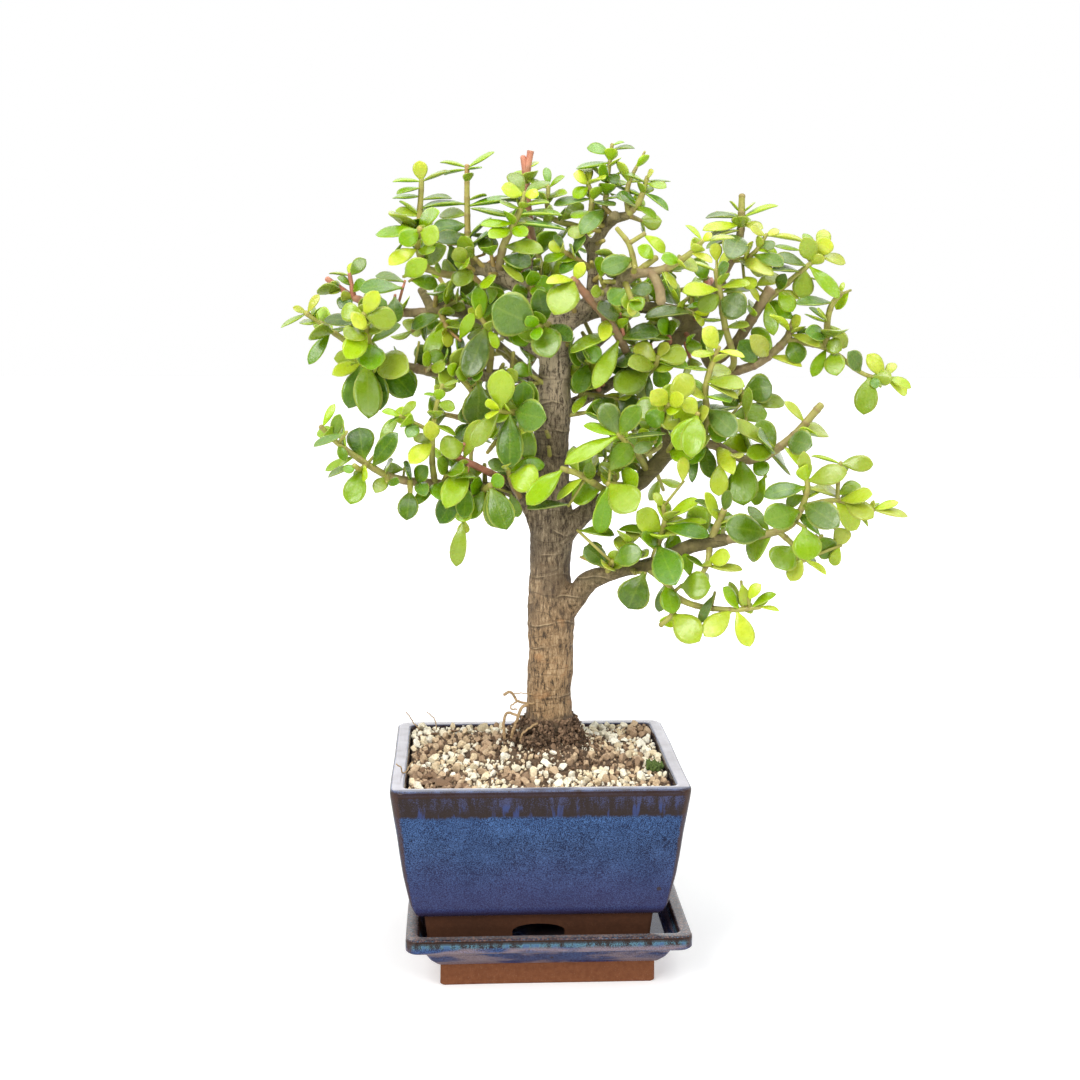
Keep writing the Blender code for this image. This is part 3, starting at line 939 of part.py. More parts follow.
def arch_cutter(along_x):
    """A bar with a low arched top through the foot, from one side to the other."""
    half = FOOT_ARCH_WIDTH / 2
    below = POT_FOOT_Z - CUT_PAST
    shoulder = POT_FOOT_Z + FOOT_ARCH_HEIGHT * FOOT_ARCH_SHOULDER
    rise = FOOT_ARCH_HEIGHT * (1 - FOOT_ARCH_SHOULDER)
    outline = [(-half, below), (half, below), (half, shoulder)]
    for k in range(1, ARCH_STEPS):
        turn = math.pi * k / ARCH_STEPS
        outline.append((half * math.cos(turn), shoulder + rise * math.sin(turn)))
    outline.append((-half, shoulder))
    reach = POT_HALF[0] + CUT_PAST
    ends = []
    for far in (-reach, reach):
        if along_x:
            ends.append([Vector((far, y, z)) for y, z in outline])
        else:
            ends.append([Vector((-y, far, z)) for y, z in outline])
    return skin(ends)


def make_pot():
    body = inset_rings(POT_HALF, POT_CORNER, POT_OUTSIDE)
    inner = inset_rings(POT_HALF, POT_CORNER, POT_INSIDE)
    verts, faces = skin(body + inner)
    pot = solid("pot", shifted(verts, POT_X), faces,
                material("blue_glaze", (0.045, 0.075, 0.20), 0.2))
    verts, faces = skin(inset_rings(POT_HALF, POT_CORNER, POT_UNDER))
    cutters = [solid("foot_hollow", shifted(verts, POT_X), faces)]
    for along_x in (True, False):
        verts, faces = arch_cutter(along_x)
        cutters.append(solid("foot_arch", shifted(verts, POT_X), faces))
    boolean(pot, cutters, "DIFFERENCE")
    holes = []
    for side in (-1, 1):
        centre = Vector((POT_X + side * DRAIN_HOLE_X, 0, 0))
        verts, faces = tube([centre + Vector((0, 0, POT_FLOOR_UNDER_Z - CUT_PAST)),
                             centre + Vector((0, 0, POT_FLOOR_TOP_Z + CUT_PAST))], [DRAIN_HOLE_RADIUS] * 2, 12)
        holes.append(solid("drain_hole", verts, faces))
    boolean(pot, holes, "DIFFERENCE")
    return pot


def make_saucer():
    verts, faces = skin(inset_rings(SAUCER_HALF, SAUCER_CORNER, SAUCER_WALL))
    return solid("saucer", verts, faces, material("saucer_glaze", (0.05, 0.10, 0.22), 0.2))


def soil_height(x, y, draw):
    """Height of the grit at a place, in the part's frame."""
    trunk = seen(*TRUNK_AT_SOIL)
    away = math.hypot(x - trunk.x, y - trunk.y)
    mound = SOIL_MOUND_HEIGHT * math.exp(-(away / SOIL_MOUND_RADIUS) ** 2)
    return SOIL_EDGE_Z + mound + draw.uniform(-GRIT_RELIEF, GRIT_RELIEF)


def even_ring(half_x, half_y, corner, z, count):
    """Points spaced evenly round a rounded rectangle."""
    fine = rounded_ring(half_x, half_y, corner, z, 7)
    fine.append(fine[0])
    runs = [(b - a).length for a, b in zip(fine, fine[1:])]
    step = sum(runs) / count
    ring = []
    for k in range(count):
        rest = step * k
        index = 0
        while index < len(runs) - 1 and rest > runs[index]:
            rest -= runs[index]
            index += 1
        ring.append(fine[index].lerp(fine[index + 1], rest / runs[index]))
    return ring


def make_soil():
    draw = random.Random(SEED + 1)
    rings = []
    for inset, z in SOIL_SIDE:
        corner = max(POT_CORNER - inset * 0.5, 2.0) + 0.5
        rings.append(even_ring(POT_HALF[0] - inset, POT_HALF[1] - inset, corner, z, SOIL_ROUND))
    outer = rings[-1]
    for k in range(SOIL_RINGS):
        shrink = 1.0 - 0.95 * k / (SOIL_RINGS - 1)
        ring = []
        for v in outer:
            x, y = v.x * shrink, v.y * shrink
            if k > 0:
                x += draw.uniform(-GRIT_SHIFT, GRIT_SHIFT) * shrink
                y += draw.uniform(-GRIT_SHIFT, GRIT_SHIFT) * shrink
            ring.append(Vector((x, y, soil_height(x + POT_X, y, draw))))
        rings.append(ring)
    verts, faces = skin(rings)
    soil = solid("soil", shifted(verts, POT_X), faces, material("grit", (0.36, 0.28, 0.20), 0.95))
    drawn, radii = LIMBS["trunk"]
    buried = tube([seen(*p) for p in drawn[:BURIED_POINTS]], radii[:BURIED_POINTS], 12, GAP)
    boolean(soil, [solid("trunk_hole", *buried)], "DIFFERENCE", "MANIFOLD")
    keep_largest(soil)
    return soil


def make_limbs(name, mat, margin=0.0):
    """The trunk with every limb joined to it; a margin makes the thicker one that cuts the sprays."""
    parts = []
    for limb, (drawn, radii) in LIMBS.items():
        count = 12 if limb == "trunk" else (6 if max(radii) > 3 else 5)
        if limb != "trunk":
            drawn, radii = thinned(drawn, radii)
        points = [seen(*p, LIMB_SWING.get(limb, 0.0)) for p in drawn]
        parts.append(solid(limb, *tube(points, radii, count, margin), mat))
    host = parts[0]
    host.name = name
    boolean(host, parts[1:], "UNION", "MANIFOLD")
    return host


def make_spray(spray, mat, limbs):
    """Joins a spray's stems, twigs and blades into one solid, seated just clear of its limb."""
    parts = []
    for drawn, points, radii in spray.stems:
        parts.append(solid("stem", *tube(points, radii, stem_sides(radii[0])), mat))
    for verts, faces in spray.twigs:
        parts.append(solid("twig", verts, faces, mat))
    for place, length, width, age in spray.blades:
        verts, faces = blade(length, width, age)
        parts.append(solid("blade", [place @ v for v in verts], faces, mat))
    host = parts[0]
    host.name = spray.name
    boolean(host, parts[1:], "UNION", "MANIFOLD")
    cutter = limbs.copy()
    cutter.data = limbs.data.copy()
    bpy.context.scene.collection.objects.link(cutter)
    boolean(host, [cutter], "DIFFERENCE", "MANIFOLD")
    keep_largest(host)
    return host


def whole_plan():
    plan = dict(SPRAYS)
    for name, stems in BACK_SPRAYS.items():
        plan[name] = (stems, [], BACK_BLADES)
    return plan


def main():
    for obj in list(bpy.data.objects):
        bpy.data.objects.remove(obj)
    make_saucer()
    make_pot()
    make_soil()
    make_limbs("trunk", material("bark", (0.25, 0.17, 0.11), 0.8))
    leaf = material("leaf", (0.17, 0.36, 0.05), 0.35)
    fat_limbs = make_limbs("fat_limbs", leaf, GAP)
    sprays, missed = grow(whole_plan())
    for spray in sprays:
        make_spray(spray, leaf, fat_limbs)
    drop(fat_limbs)


main()
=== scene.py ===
"""Looks of the potted elephant bush: glazed pot and saucer, gritty soil, bark, stems and leaves.

The plant grows here by the same drawing and the same rule as the solids, in millimetres on an upright
plane through the trunk: u runs right, z runs up and depth runs away from the eye.
"""
import json
import math
import random

import bmesh
import bpy
from mathutils import Euler, Matrix, Vector, kdtree, noise
from mathutils.bvhtree import BVHTree


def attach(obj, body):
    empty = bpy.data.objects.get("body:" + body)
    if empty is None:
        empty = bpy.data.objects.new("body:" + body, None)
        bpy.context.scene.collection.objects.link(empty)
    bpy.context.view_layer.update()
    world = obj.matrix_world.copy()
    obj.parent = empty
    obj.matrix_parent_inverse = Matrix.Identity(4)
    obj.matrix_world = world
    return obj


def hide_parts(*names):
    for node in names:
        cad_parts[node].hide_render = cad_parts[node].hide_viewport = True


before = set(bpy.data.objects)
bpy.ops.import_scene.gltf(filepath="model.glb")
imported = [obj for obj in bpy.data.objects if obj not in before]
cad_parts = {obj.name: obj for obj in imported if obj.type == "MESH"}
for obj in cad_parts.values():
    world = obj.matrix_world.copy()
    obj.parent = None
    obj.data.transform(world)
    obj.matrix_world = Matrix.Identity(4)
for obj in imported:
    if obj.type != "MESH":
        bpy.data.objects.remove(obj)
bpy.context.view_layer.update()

MM = 0.001

# Pot, with its long side along X
POT_X = -4.8
POT_HALF = (75.0, 63.0)
POT_CORNER = 7.0
POT_RIM_Z = 109.5
POT_GLAZE_END_Z = 39.5
POT_FOOT_Z = 20.3
POT_FLOOR_TOP_Z = 43.5
POT_FLOOR_UNDER_Z = 36.5
FOOT_ARCH_WIDTH = 27.0
FOOT_ARCH_HEIGHT = 13.5
FOOT_ARCH_SHOULDER = 0.7
FOOT_HOLLOW_INSET = 25.5
CUT_PAST = 3.0
ARCH_STEPS = 12
DRAIN_HOLE_RADIUS = 5.5
DRAIN_HOLE_X = 24.0

# Saucer
SAUCER_HALF = (72.5, 60.5)
SAUCER_CORNER = 6.0
SAUCER_RIM_Z = 31.5
SAUCER_FLOOR_Z = 20.0
SAUCER_FOOT_Z = 11.6

# Soil
SOIL_EDGE_Z = 107.0
SOIL_MOUND_HEIGHT = 16.0
SOIL_MOUND_RADIUS = 25.0

# Drawing plane of the plant
EYE = Vector((1.8, -768.5, 345.3))
PLANE_Y = 8.0
PLANT_LIFT = 1.5
PLANT_TURN = math.radians(-3.16)
TRUNK_U = 8.0
SWING_REACH = 75.0
SWING_BEYOND = 0.4
PLANT_SPIN = Matrix.Rotation(PLANT_TURN, 3, "Z")
PLANT_FOOT = Vector((POT_X, 0, PLANT_LIFT))
SEEN_FROM = PLANT_SPIN @ EYE + PLANT_FOOT


def numbers(text):
    """Rows of numbers from words such as 3,4.5,-6."""
    return [json.loads(f"[{word}]") for word in text.split()]


def drawn_growth(text):
    """The stems, blades and further blades of a spray, as the words of its text give them."""
    stems, blades, extra = [], [], 0
    for row in numbers(text):
        if len(row) == 1:
            extra = row[0]
        elif len(row) == 2:
            stems.append(([], *row))
        elif len(row) == 3:
            stems[-1][0].append(row)
        else:
            u, z, across, rise, *rest = row
            blades.append((u, z, u + across, z + rise, *rest))
    return stems, blades, extra


# Leaves
BLADE_HALF_THICK = 0.95
BLADE_ARCH = 0.07
BLADE_CUP = 0.07
TWIG_PAST_BLADE = 1.2
TWIG_WHEN_AWAY = 4.5
END_MARGIN = 0.9
BASE_SINK = 0.45
SHARED_ROOT = 3.5
TWIG_REACH = 2.5
STEM_TOLERANCE = 1.1
BROAD_BLADE = 10.0
CLEARANCE = 0.45
TWIG_RADIUS = 0.95
NODE_STEP = 8.5
SEED = 41

# Limbs of the trunk node: u, z, depth and radius at each point
LIMBS = {
    "trunk": """7.5,88,0,4.5 7.5,108,0,9.5 7.4,121,0,12.9 7.3,130,0,11.7 7,140,0,11.3 7.8,150,0,11.8
        8.1,162,0,11.4 7.9,178,0,12.2 7.5,190,0,11.4 7.3,206,0,10.3 8,225,0,10.9 8.3,233,0,10.6
        7.6,246,0,9.7 7.2,262,0,9.1 7.6,278,0,9 8.8,290,0,9 8.8,304,0,7.9 9,320,0,7.9 8.6,334,0,7.8
        6.5,345,1,4.5""",
    "low_right": """12,180,0,5.5 20,190,-2,5 27,199,-4,4.6 36,203,-6,3.7 47,206,-8,3.1 58,208,-10,3
        68,212,-12,3 80,218,-14,3.1 92,221,-16,3 100,222,-17,2.6""",
    "low_left": """0,225,0,2.6 -5,236,-3,2 -10,246,-6,2 -17,254,-9,2""",
    "left_low": """2,238,3,3.6 -14,247,5,3.2 -28,249,2,2.8 -40,249,0,2.7 -50,250,-2,2.6""",
    "left_mid": """4,298,1,3.8 -9,306,0,3.2 -27,307,-3,3.3 -45,308,-5,2.7 -58,309,-6,2.6""",
    "left_high": """6,318,4,5 -12,328,12,4.2 -30,337,10,3.7 -48,341,4,4.1 -56,339,2,3.8""",
    "left_high_stub": """-54,340,3,2.7 -57,346,1,2.5 -60,351,0,2.3""",
    "left_top": """7,332,2,6.2 0,345,0,5.2 -10,353,-2,4.7 -20,358,-3,4.5 -29,361,-3,3.3 -36,358,-3,2.1""",
    "middle_stub": """-2,347,5,2.9 -5,360,8,2.6 -3,377,8,2.5""",
    "leader": """9,330,0,6.2 19,337,-2,5 27,346,-3,3.8 28,358,-3,2.8 28,370,-3,2.9 32,379,-4,2.9
        38,386,-5,2.7 46,388,-6,2.2""",
    "leader_left": """28,369,-3,2.6 24,376,-2,2.4 20,382,0,2.1""",
    "leader_stub": """37,385,-5,2.9 39,388,-15,2.7""",
    "right_top": """26,344,-4,3.8 36,351,-8,3.3 44,356,-11,3.4 50,360,-13,3.3""",
    "right_high": """18,336,1,4.2 34,341,5,3.6 50,342,6,3.1 66,341,5,3.2 80,337,3,4.2""",
    "right_diagonal": """11,288,3,5 24,295,5,3.2 38,303,5,2.8 50,311,5,3 64,320,4,3.5 74,328,3,4.3
        82,338,2,4.7 88,347,0,3.8 94,356,-2,3""",
    "right_drop": """80,335,4,3.4 85,321,5,3.1 90,312,3,2.9 98,309,-2,2.7""",
    "right_mid": """11,222,-3,6.5 20,231,-5,5.4 28,238,-5,4.7 40,245,-4,4.4 52,251,-3,4.2 60,259,-3,4.4
        69,268,-4,3.9 80,271,-6,2.5""",
    "right_mid_up": """69,266,-4,3 67,277,-3,2.5 64,290,-2,2.2""",
    "back_left": """6,296,4,4.4 -6,309,24,3.4 -20,322,42,2.6 -32,332,54,2""",
    "back_middle": """7,326,4,4 8,341,22,3 4,354,34,2.2""",
    "back_right": """11,305,5,4.2 26,320,26,3.2 42,334,42,2.5 54,344,52,2""",
    "back_low_right": """11,240,4,4.2 26,251,26,3.2 42,260,42,2.5 54,266,50,2""",
    "back_low_left": """4,258,5,4 -12,269,28,3 -26,279,44,2.2""",
}
LIMBS = {name: ([row[:3] for row in numbers(text)], [row[3] for row in numbers(text)])
         for name, text in LIMBS.items()}

# How far back each limb has swung 75 mm beside the trunk; minus is towards the eye
LIMB_SWING = {
    "low_right": -24, "low_left": -12, "left_low": -26, "left_mid": 8, "left_high": 28, "left_high_stub": 28,
    "left_top": -4, "right_top": -16, "right_high": 24, "right_diagonal": 24, "right_drop": 24,
    "right_mid": -12, "right_mid_up": -12,
}

# The sprays that grow from each limb that has swung
LIMB_SPRAYS = {
    "left_top": "left_shoots left_tall middle_left",
    "left_high": "left_upper left_knot",
    "left_mid": "left_inner left_far left_under",
    "left_low": "left_low left_front",
    "low_left": "left_red trunk_left",
    "right_mid": "trunk_front right_low centre_front centre_up",
    "right_diagonal": "red_stem inner_right right_inner right_top",
    "right_mid_up": "right_yellow",
    "right_drop": "right_pruned right_far",
    "low_right": """low_right_end low_right_stub low_right_hang low_right_under low_right_up low_right_dark
        low_right_drop""",
    "right_top": "upper_inner upper_right",
    "right_high": "right_horizontal",
}
SPRAY_LIMB = {name: limb for limb, names in LIMB_SPRAYS.items() for name in names.split()}

# The sprays, those behind the trunk last. A word of 1 number is how many further blades the growth rule may
# add to each stem. 2 numbers start a stem with its first and last radius, and each 3 are a point of it. 8 are
# a blade: base u and z, tip u and z from there, tip depth, width, face and age. Face is 0 for a blade that
# faces up and 90 for one that faces the eye. Age runs from 0 for a new leaf to 3 for an old one, 4 for a waxy
# one.
SPRAYS = {
    "left_shoots": """0
    1.9,1.8 -34,358,-3 -46,358,-4 -57,361,-5
    1.8,1.4 -57,361,-5 -60,372,2 -59,388,3 -59,405,3
    1.7,1.3 -56,361,-5 -61,370,-18 -60,381,-34
    -59,405,-1,9,2,7,70,0 -59,405,-14,-1,0,5,15,1 -59,404,14,5,0,5.5,20,1 -59,401,-12,-3,-6,5,30,2
    -59,397,-14,-1,4,6,25,2 -59,395,15,1,4,6,20,2 -60,381,-14,7,-32,9,60,1 -60,380,-21,-2,-24,8,50,2
    -60,381,-10,-1,-44,8,80,0 -60,381,10,8,-36,9,80,1 -60,380,9,-4,-40,10,85,1 -60,379,-10,-5,-36,9,80,2
    -60,378,-1,-9,-40,9,85,2 -57,365,10,7,-28,10,85,2 -68,375,-7,-10,-20,4,10,3 -62,371,-13,-8,-30,8,60,0
    -68,357,11,8,-34,9,85,1""",
    "left_tall": """0
    2,1.3 -31,360,-3 -35,372,4 -36,392,6 -36,412,6
    -36,412,-13,1.5,6,4.5,12,1 -36,412,13,6.5,6,5,15,1 -36,410,-11,-2.5,12,6,12,2 -36,410,7,1,0,5,15,2
    -36,393,-22,-2,2,6.5,15,2 -36,392,24,3,10,7,15,2 -36,388,-13,0,14,8,50,1 -36,383,-16,-2,0,9,70,3
    -35,376,-16,-1,-8,9,60,3 -35,376,11,10,-4,8,25,4 -35,370,9,8,-10,10,40,4""",
    "middle_left": """0
    2.3,1.3 -20,358,-3 -18,371,-12 -12,384,-16 -8,394,-18 -7,399,-18
    -8,398,-10,3,-22,8,60,0 -7,398,7,0,-22,5.5,60,0 -7,399,-7,9,-12,8,40,2 -7,399,12,5,-12,8,30,2
    -9,392,14,2,-20,5,20,1 -9,391,-10,3,-24,6,40,1 -10,388,21,0,-16,7,20,1 -11,387,-22,4,-12,7,20,2
    -12,384,-16,-1,-22,7,35,1 -12,384,25,-3,-18,7,30,4 -13,381,-11,-4,-28,8,60,1 -13,382,7,-4,-26,7,75,1
    -17,372,19,-2,-26,8,55,1 -19,364,11,-9,-18,5,25,1""",
    "middle_pruned": """0
    2.1,1.7 -3,374,8 -5,392,5 -6,406,4 -4,419.5,4
    1.7,1.5 -6,405,4 -7.8,416.5,4
    -5,390,12,-4,2,7,30,3 -4,384,-12,4,16,8,30,3 -5,396,13,2,14,7,30,2 -5,402,-10,2,14,7,30,2""",
    "left_upper": """2
    2.5,1.9 -55,339,2 -70,339,0 -82,342,-2 -94,346,-3
    1.6,1.1 -94,346,-3 -95,352,-4 -96,358,-5
    1.6,1.5 -94,346,-3 -100,350,-4 -107.5,355.5,-5
    -96,358,8,7,-5,7,60,2 -96,357,-10,1,-3,4,15,1 -95,352,-7,4,-8,5,40,2 -100,350,-6,-2,-9,4,40,1
    -94,349,6,5,-8,6,60,2 -95,346,-6,-5,-8,8,50,3 -69,351,-21,-1,-16,11,40,4 -68,354,-14,3,-2,8,20,2
    -73,347,0,-13,-20,8,70,3 -70,339,4,7,-8,7,40,1""",
    "left_knot": """2
    1.9,1.4 -50,340,3 -48,335,-8 -46,330,-16
    -48,333,-8,-18,-24,9,65,1 -46,330,-5,-18,-16,10,80,3 -50,337,-14,-6,-6,9,50,3 -46,331,6,0,-24,6,40,1
    -40,325,7,13,-28,6,75,1""",
    "left_inner": """2
    1.9,1.3 -25,307,-3 -24,318,-8 -25,330,-12 -29,336,-14
    -28,331,-8,-24,-24,13,80,3 -29,336,-2,15,-18,8,60,2 -24,331,3,-10,-16,5,50,1 -28,335,5,13,-10,8,80,3""",
    "left_far": """0
    2.5,1.6 -56,309,-6 -70,312,-8 -84,314,-9 -91,313,-18
    1.9,1.3 -85,314,-9 -87,322,-20 -88,331,-34 -89,338,-44
    1.7,1.3 -84,314,-9 -98,324,-13 -108,330,-16 -119,338.5,-20
    -89,338,7,11,-46,8,70,0 -89,338,-5,-6,-54,10,90,0 -89,338,-11,1,-42,9,80,1 -88,337,15,-2,-44,11,80,1
    -88,338,10,6,-38,8,70,2 -90,333,-18,2,-28,8,60,3 -88,331,-16,-1,-24,6,20,2 -88,329,-10,-13,-42,11,80,1
    -87,323,16,9,-26,8,45,2 -88,312,1,-26,-32,14,75,2 -86,312,5,-22,-18,12,70,3 -90,311,-7,-20,-24,11,70,4
    -84,315,17,-6,-28,15,75,1 -80,311,15,-14,-14,15,80,3 -91,313,-13,2,-22,9,65,1 -91,313,-14,-6,-28,7,70,0
    -119,338,-12,-7,-22,5,30,1 -118,338,6,9,-20,4,50,0 -107,328,-10,-15,-20,6.5,55,2
    -104,328,7,3,-10,5,20,2""",
    "left_under": """0
    1.8,1.4 -40,307,-5 -36,303,-10 -34,299,-14
    -30,304,-1,-22,-16,15,85,3""",
    "left_low": """0
    2.5,1.2 -48,250,-2 -57,250.5,-3 -66,252,-5 -76,254,-6 -84,258,-8 -95,266,-9 -104,272,-10 -112,280,-12
    1.6,1.3 -66,252,-5 -66,246,-12
    1.5,1.2 -78,255,-7 -78,251,-14
    1.5,1.2 -88,261,-9 -92,258,-16 -95,260,-20
    1.7,1 -53,250.4,-2.6 -54.5,264,-10 -53,279,-14 -52,292,-16 -49,302,-17
    1.1,0.9 -53,277,-13 -60,280,-15 -65,284,-16 -71,286,-17
    -112,280,7,11,-12,4,50,1 -106,274,4,12,-16,6,70,2 -99,277,-16,-7,-26,6,50,4 -103,271,3,-8,-14,5,40,2
    -89,263,-3,16,0,13,80,3 -85,260,12,16,-18,10,70,3 -82,268,9,16,-6,6,40,1 -90,257,-7,-16,-20,11,75,2
    -98,262,-10,-8,-16,5,40,2 -94,262,-6,-5,-22,5,60,2 -79,254,-5,-8,-18,7,70,1 -80,251,8,0,-22,5,70,3
    -78,257,3,6,-14,6,40,2 -66,247,-2,-15,-20,10,80,3 -53,246,-10,-6,-8,6,50,2 -65,253,-4,9,-12,7,50,3
    -63,252,6,8,-14,8,70,3 -62,251,4,-6,-16,7,60,4 -53,273,-2,10,-24,8,80,0 -54,272,-11,-10,-18,9,75,0
    -52,281,10,-5,-14,5,30,1 -52,292,9,-2,-18,6,70,1 -50,302,9,2,-17,4,25,1 -71,286,-9,2,-17,4.5,50,1
    -70,286,7,7,-18,4.5,60,1 -62,281,-5,-6,-22,7,80,4""",
    "left_red": """1
    1.9,1.6 -15,252,-8 -30,259,-12 -42,265,-15
    1.2,1 -36,262,-13 -37,250,-18 -38,238,-18 -38,231,-18
    -38,271,-12,-3,-28,12,85,1 -37,266,7,17,-22,8,55,1 -39,260,-8,-21,-32,12,80,1
    -40,254,-10,-23,-14,12,75,3 -37,250,-1,-17,-24,9,80,3 -38,231,-4,-23,-18,8,70,1""",
    "left_front": """1
    2.1,1.6 -28,249,2 -27,248,-10 -24,250,-20
    -21,250,5,-22,-30,13,85,3 -24,247,4,-18,-16,11,80,2 -14,246,4,-12,-10,6,70,1 -28,246,-6,-13,-12,8,70,1""",
    "left_centre": """2
    1.9,1.4 2,286,-5 -10,288,-20 -20,289,-30
    -20,290,2,19,-36,13,70,1 -21,288,-12,-17,-36,9,60,1 -15,285,1,-24,-32,13,85,3 -12,288,16,-3,-38,16,88,4
    -9,283,5,-19,-18,9,70,2 -8,290,1,13,-26,11,80,3""",
    "trunk_front": """1
    1.9,1.5 40,245,-4 32,250,-17 22,256,-24 13,259,-27
    13,259,-17,-18,-34,10,65,1 24,254,-13,-11,-26,6,50,1 27,252,0,10,-30,6,70,2 17,240,-21,-2,-24,7,20,3""",
    "trunk_left": """1
    1.6,1.3 -9,244,-6 -13,251,-18 -15,258,-23
    -16,255,16,-4,-32,15,75,1 -13,259,16,2,-20,9,50,2 -14,259,-11,3,-22,7,60,4""",
    "trunk_top": """2
    2,1.5 6,333,-4 2,333,-20 0,332,-32
    0,332,-22,10,-42,21,88,4 2,333,5,-16,-36,15,85,2 5,333,12,-8,-26,9,60,3 3,334,-3,16,-28,11,70,3""",
    "red_stem": """1
    2.4,2 42,305,5 47,314,-6 45,321,-9 41,328,-12 33,337,-16 25,347,-19 18,356,-22
    1.3,1 45,320,-9 44,331,-12 42,339,-14
    17,356,-12,-2,-34,6,60,0 18,357,5,7,-26,6,75,0 17,355,-8,-16,-38,15,80,1 34,335,-1,-10,-28,7,75,0
    38,327,-20,-8,-24,8,40,1 39,325,-9,-23,-28,9,75,1 42,338,-11,3,-20,11,70,4 43,339,9,-1,-20,7,30,1
    44,328,23,-2,-14,5,20,2""",
    "inner_right": """1
    1.8,1.3 22,294,4 24,304,-4 26,314,-10
    1.5,1.2 23,298,1 34,296,-6 42,295,-10
    25,314,-4,-15,-16,10,80,3 28,317,-8,3,-12,7,50,4 40,296,-9,-8,-16,12,80,3 42,296,9,-7,-14,12,80,3
    30,296,8,-14,-10,10,75,4 26,296,-7,-8,-12,5,50,1""",
    "right_inner": """1
    1.9,1.2 50,311,5 57,309,-8 61,313,-15 62,317,-17
    60,313,-13,0,-26,10,65,1 58,310,-17,-9,-24,14,80,2 61,315,-11,7,-14,10,60,1 62,316,14,2,-22,11,60,1
    62,314,15,-2,-16,7,45,2 57,308,1,-13,-18,4,60,4 60,312,6,-9,-14,9,70,3""",
    "right_yellow": """1
    1.9,1.3 64,287,-2 66,291,-14 68,293,-26
    67,294,-8,5,-36,9.5,90,0 68,292,7,5,-36,8,85,0 68,297,11,10,-22,11,85,1 64,290,-13,0,-10,12,80,2
    66,290,-8,-8,-16,10,75,3""",
    "right_top": """0
    2.8,1.7 92,354,-2 98,366,-3 102,376,-4 103,386,-5 103,398,-5
    1.6,1 98,366,-3 106,367,-10 111,371,-13 116,379,-14
    102,387,-17,0,-2,7,25,4 101,384,-17,-3,-16,7,60,1 103,388,-13,2,6,4,20,1 104,387,16,6,-5,4,15,1
    103,384,10,-2,-10,6,40,1 102,381,-16,-4,-14,6,20,1 101,377,-15,-5,-8,6,25,2 103,378,-6,-11,-26,13,88,4
    116,379,6,2,-14,4,60,0 116,379,-8,3,-16,5,50,0 116,378,19,-3,-14,4,20,0 114,376,5,-4,-20,6,60,4
    111,371,10,-1,-16,5,40,1 109,369,15,-5,-24,8,40,3 101,365,18,-6,-28,8,45,1 105,358,5,-6,-20,7,60,1""",
    "right_pruned": """0
    2.7,2.9 89,313,3 98,320,-5 103,327,-8 109,336,-11 115,345,-13 119,352,-15
    1.9,1.2 116,345,-13 124,351,-15 133,360,-17 139,364,-18 145,370,-19
    140,366,-5,11,-26,9,85,1 143,368,4,9,-22,9,80,0 144,370,1,11,-14,7,60,1 141,368,-6,11,-10,5,40,2
    144,367,12,-2,-20,7,50,1 139,362,14,-14,-26,8,55,2 137,361,-2,-13,-14,10,85,2 134,371,-13,2,-14,4.5,35,2
    137,363,-16,4,-22,8,45,4 133,361,-13,0,-28,6,40,4 122,352,4,7,-22,6,60,3 124,350,6,-9,-22,8,70,2
    123,350,10,-3,-18,4.5,40,1 119,344,2,-15,-22,7,80,2 114,345,-6,7,-16,6,50,0""",
    "right_far": """0
    2.6,2 96,309,-1 106,311,-6 115,315,-9 122,321,-11 128,327,-13 132,337,-14
    1.9,1 128,326,-13 138,324,-15 148,322,-17 155,318,-18 163,312,-19 170,308,-20 180,307,-20
    1.8,1.5 148,322,-17 148,333,-18 150,343,-19 155,350,-19
    1.8,1.3 96,309,0 104,302,-13 107,294,-20
    1.7,1.8 98,309,-2 101,314,-10 99,322,-14 96,333,-17 93,347,-19 91,361,-20
    130,330,-11,8,-24,4.5,35,0 131,331,3,7,-22,6,60,1 131,328,13,-5,-26,6,50,1 129,325,6,-10,-20,10,80,3
    119,317,16,-4,-20,5,40,1 118,318,-9,10,-24,9,80,1 112,316,-8,9,-14,10,85,4 120,321,-10,11,-4,8,60,2
    147,324,-15,7,-18,8,75,3 151,327,-13,3,-28,8,70,4 151,325,5,-4,-20,8,85,2 148,321,-6,-13,-22,6,65,2
    151,319,3,-11,-28,10,88,2 149,346,-16,-2,-24,7,50,4 148,335,-8,7,-14,4,20,2 149,335,-5,6,-28,5,60,1
    167,311,-7,9,-26,9,65,4 171,307,-2,-18,-26,11,80,2 173,308,2,-6,-26,5,70,4 180,308,-10,10,-22,8,60,1
    180,308,4,6,-18,5,50,1 180,307,12,-5,-24,6,45,1 180,307,10,-8,-16,7,60,0 107,299,13,3,-18,14,85,3
    111,292,16,2,-14,9,55,2 108,286,1,15,-28,5,75,2 104,301,-6,-10,-10,9,60,3 91,361,-14,3.5,-20,5,20,1
    91,362,8,9,-24,5,35,0 92,358,5,6,-28,7,60,4 92,351,-17,-1,-28,8,50,1 92,352,16,2,-26,6,35,1
    93,349,-10,-8,-24,9,80,2 94,347,12,-7,-30,14,85,4 96,332,12,1,-24,6,40,1 96,331,-11,-9,-14,9,60,3""",
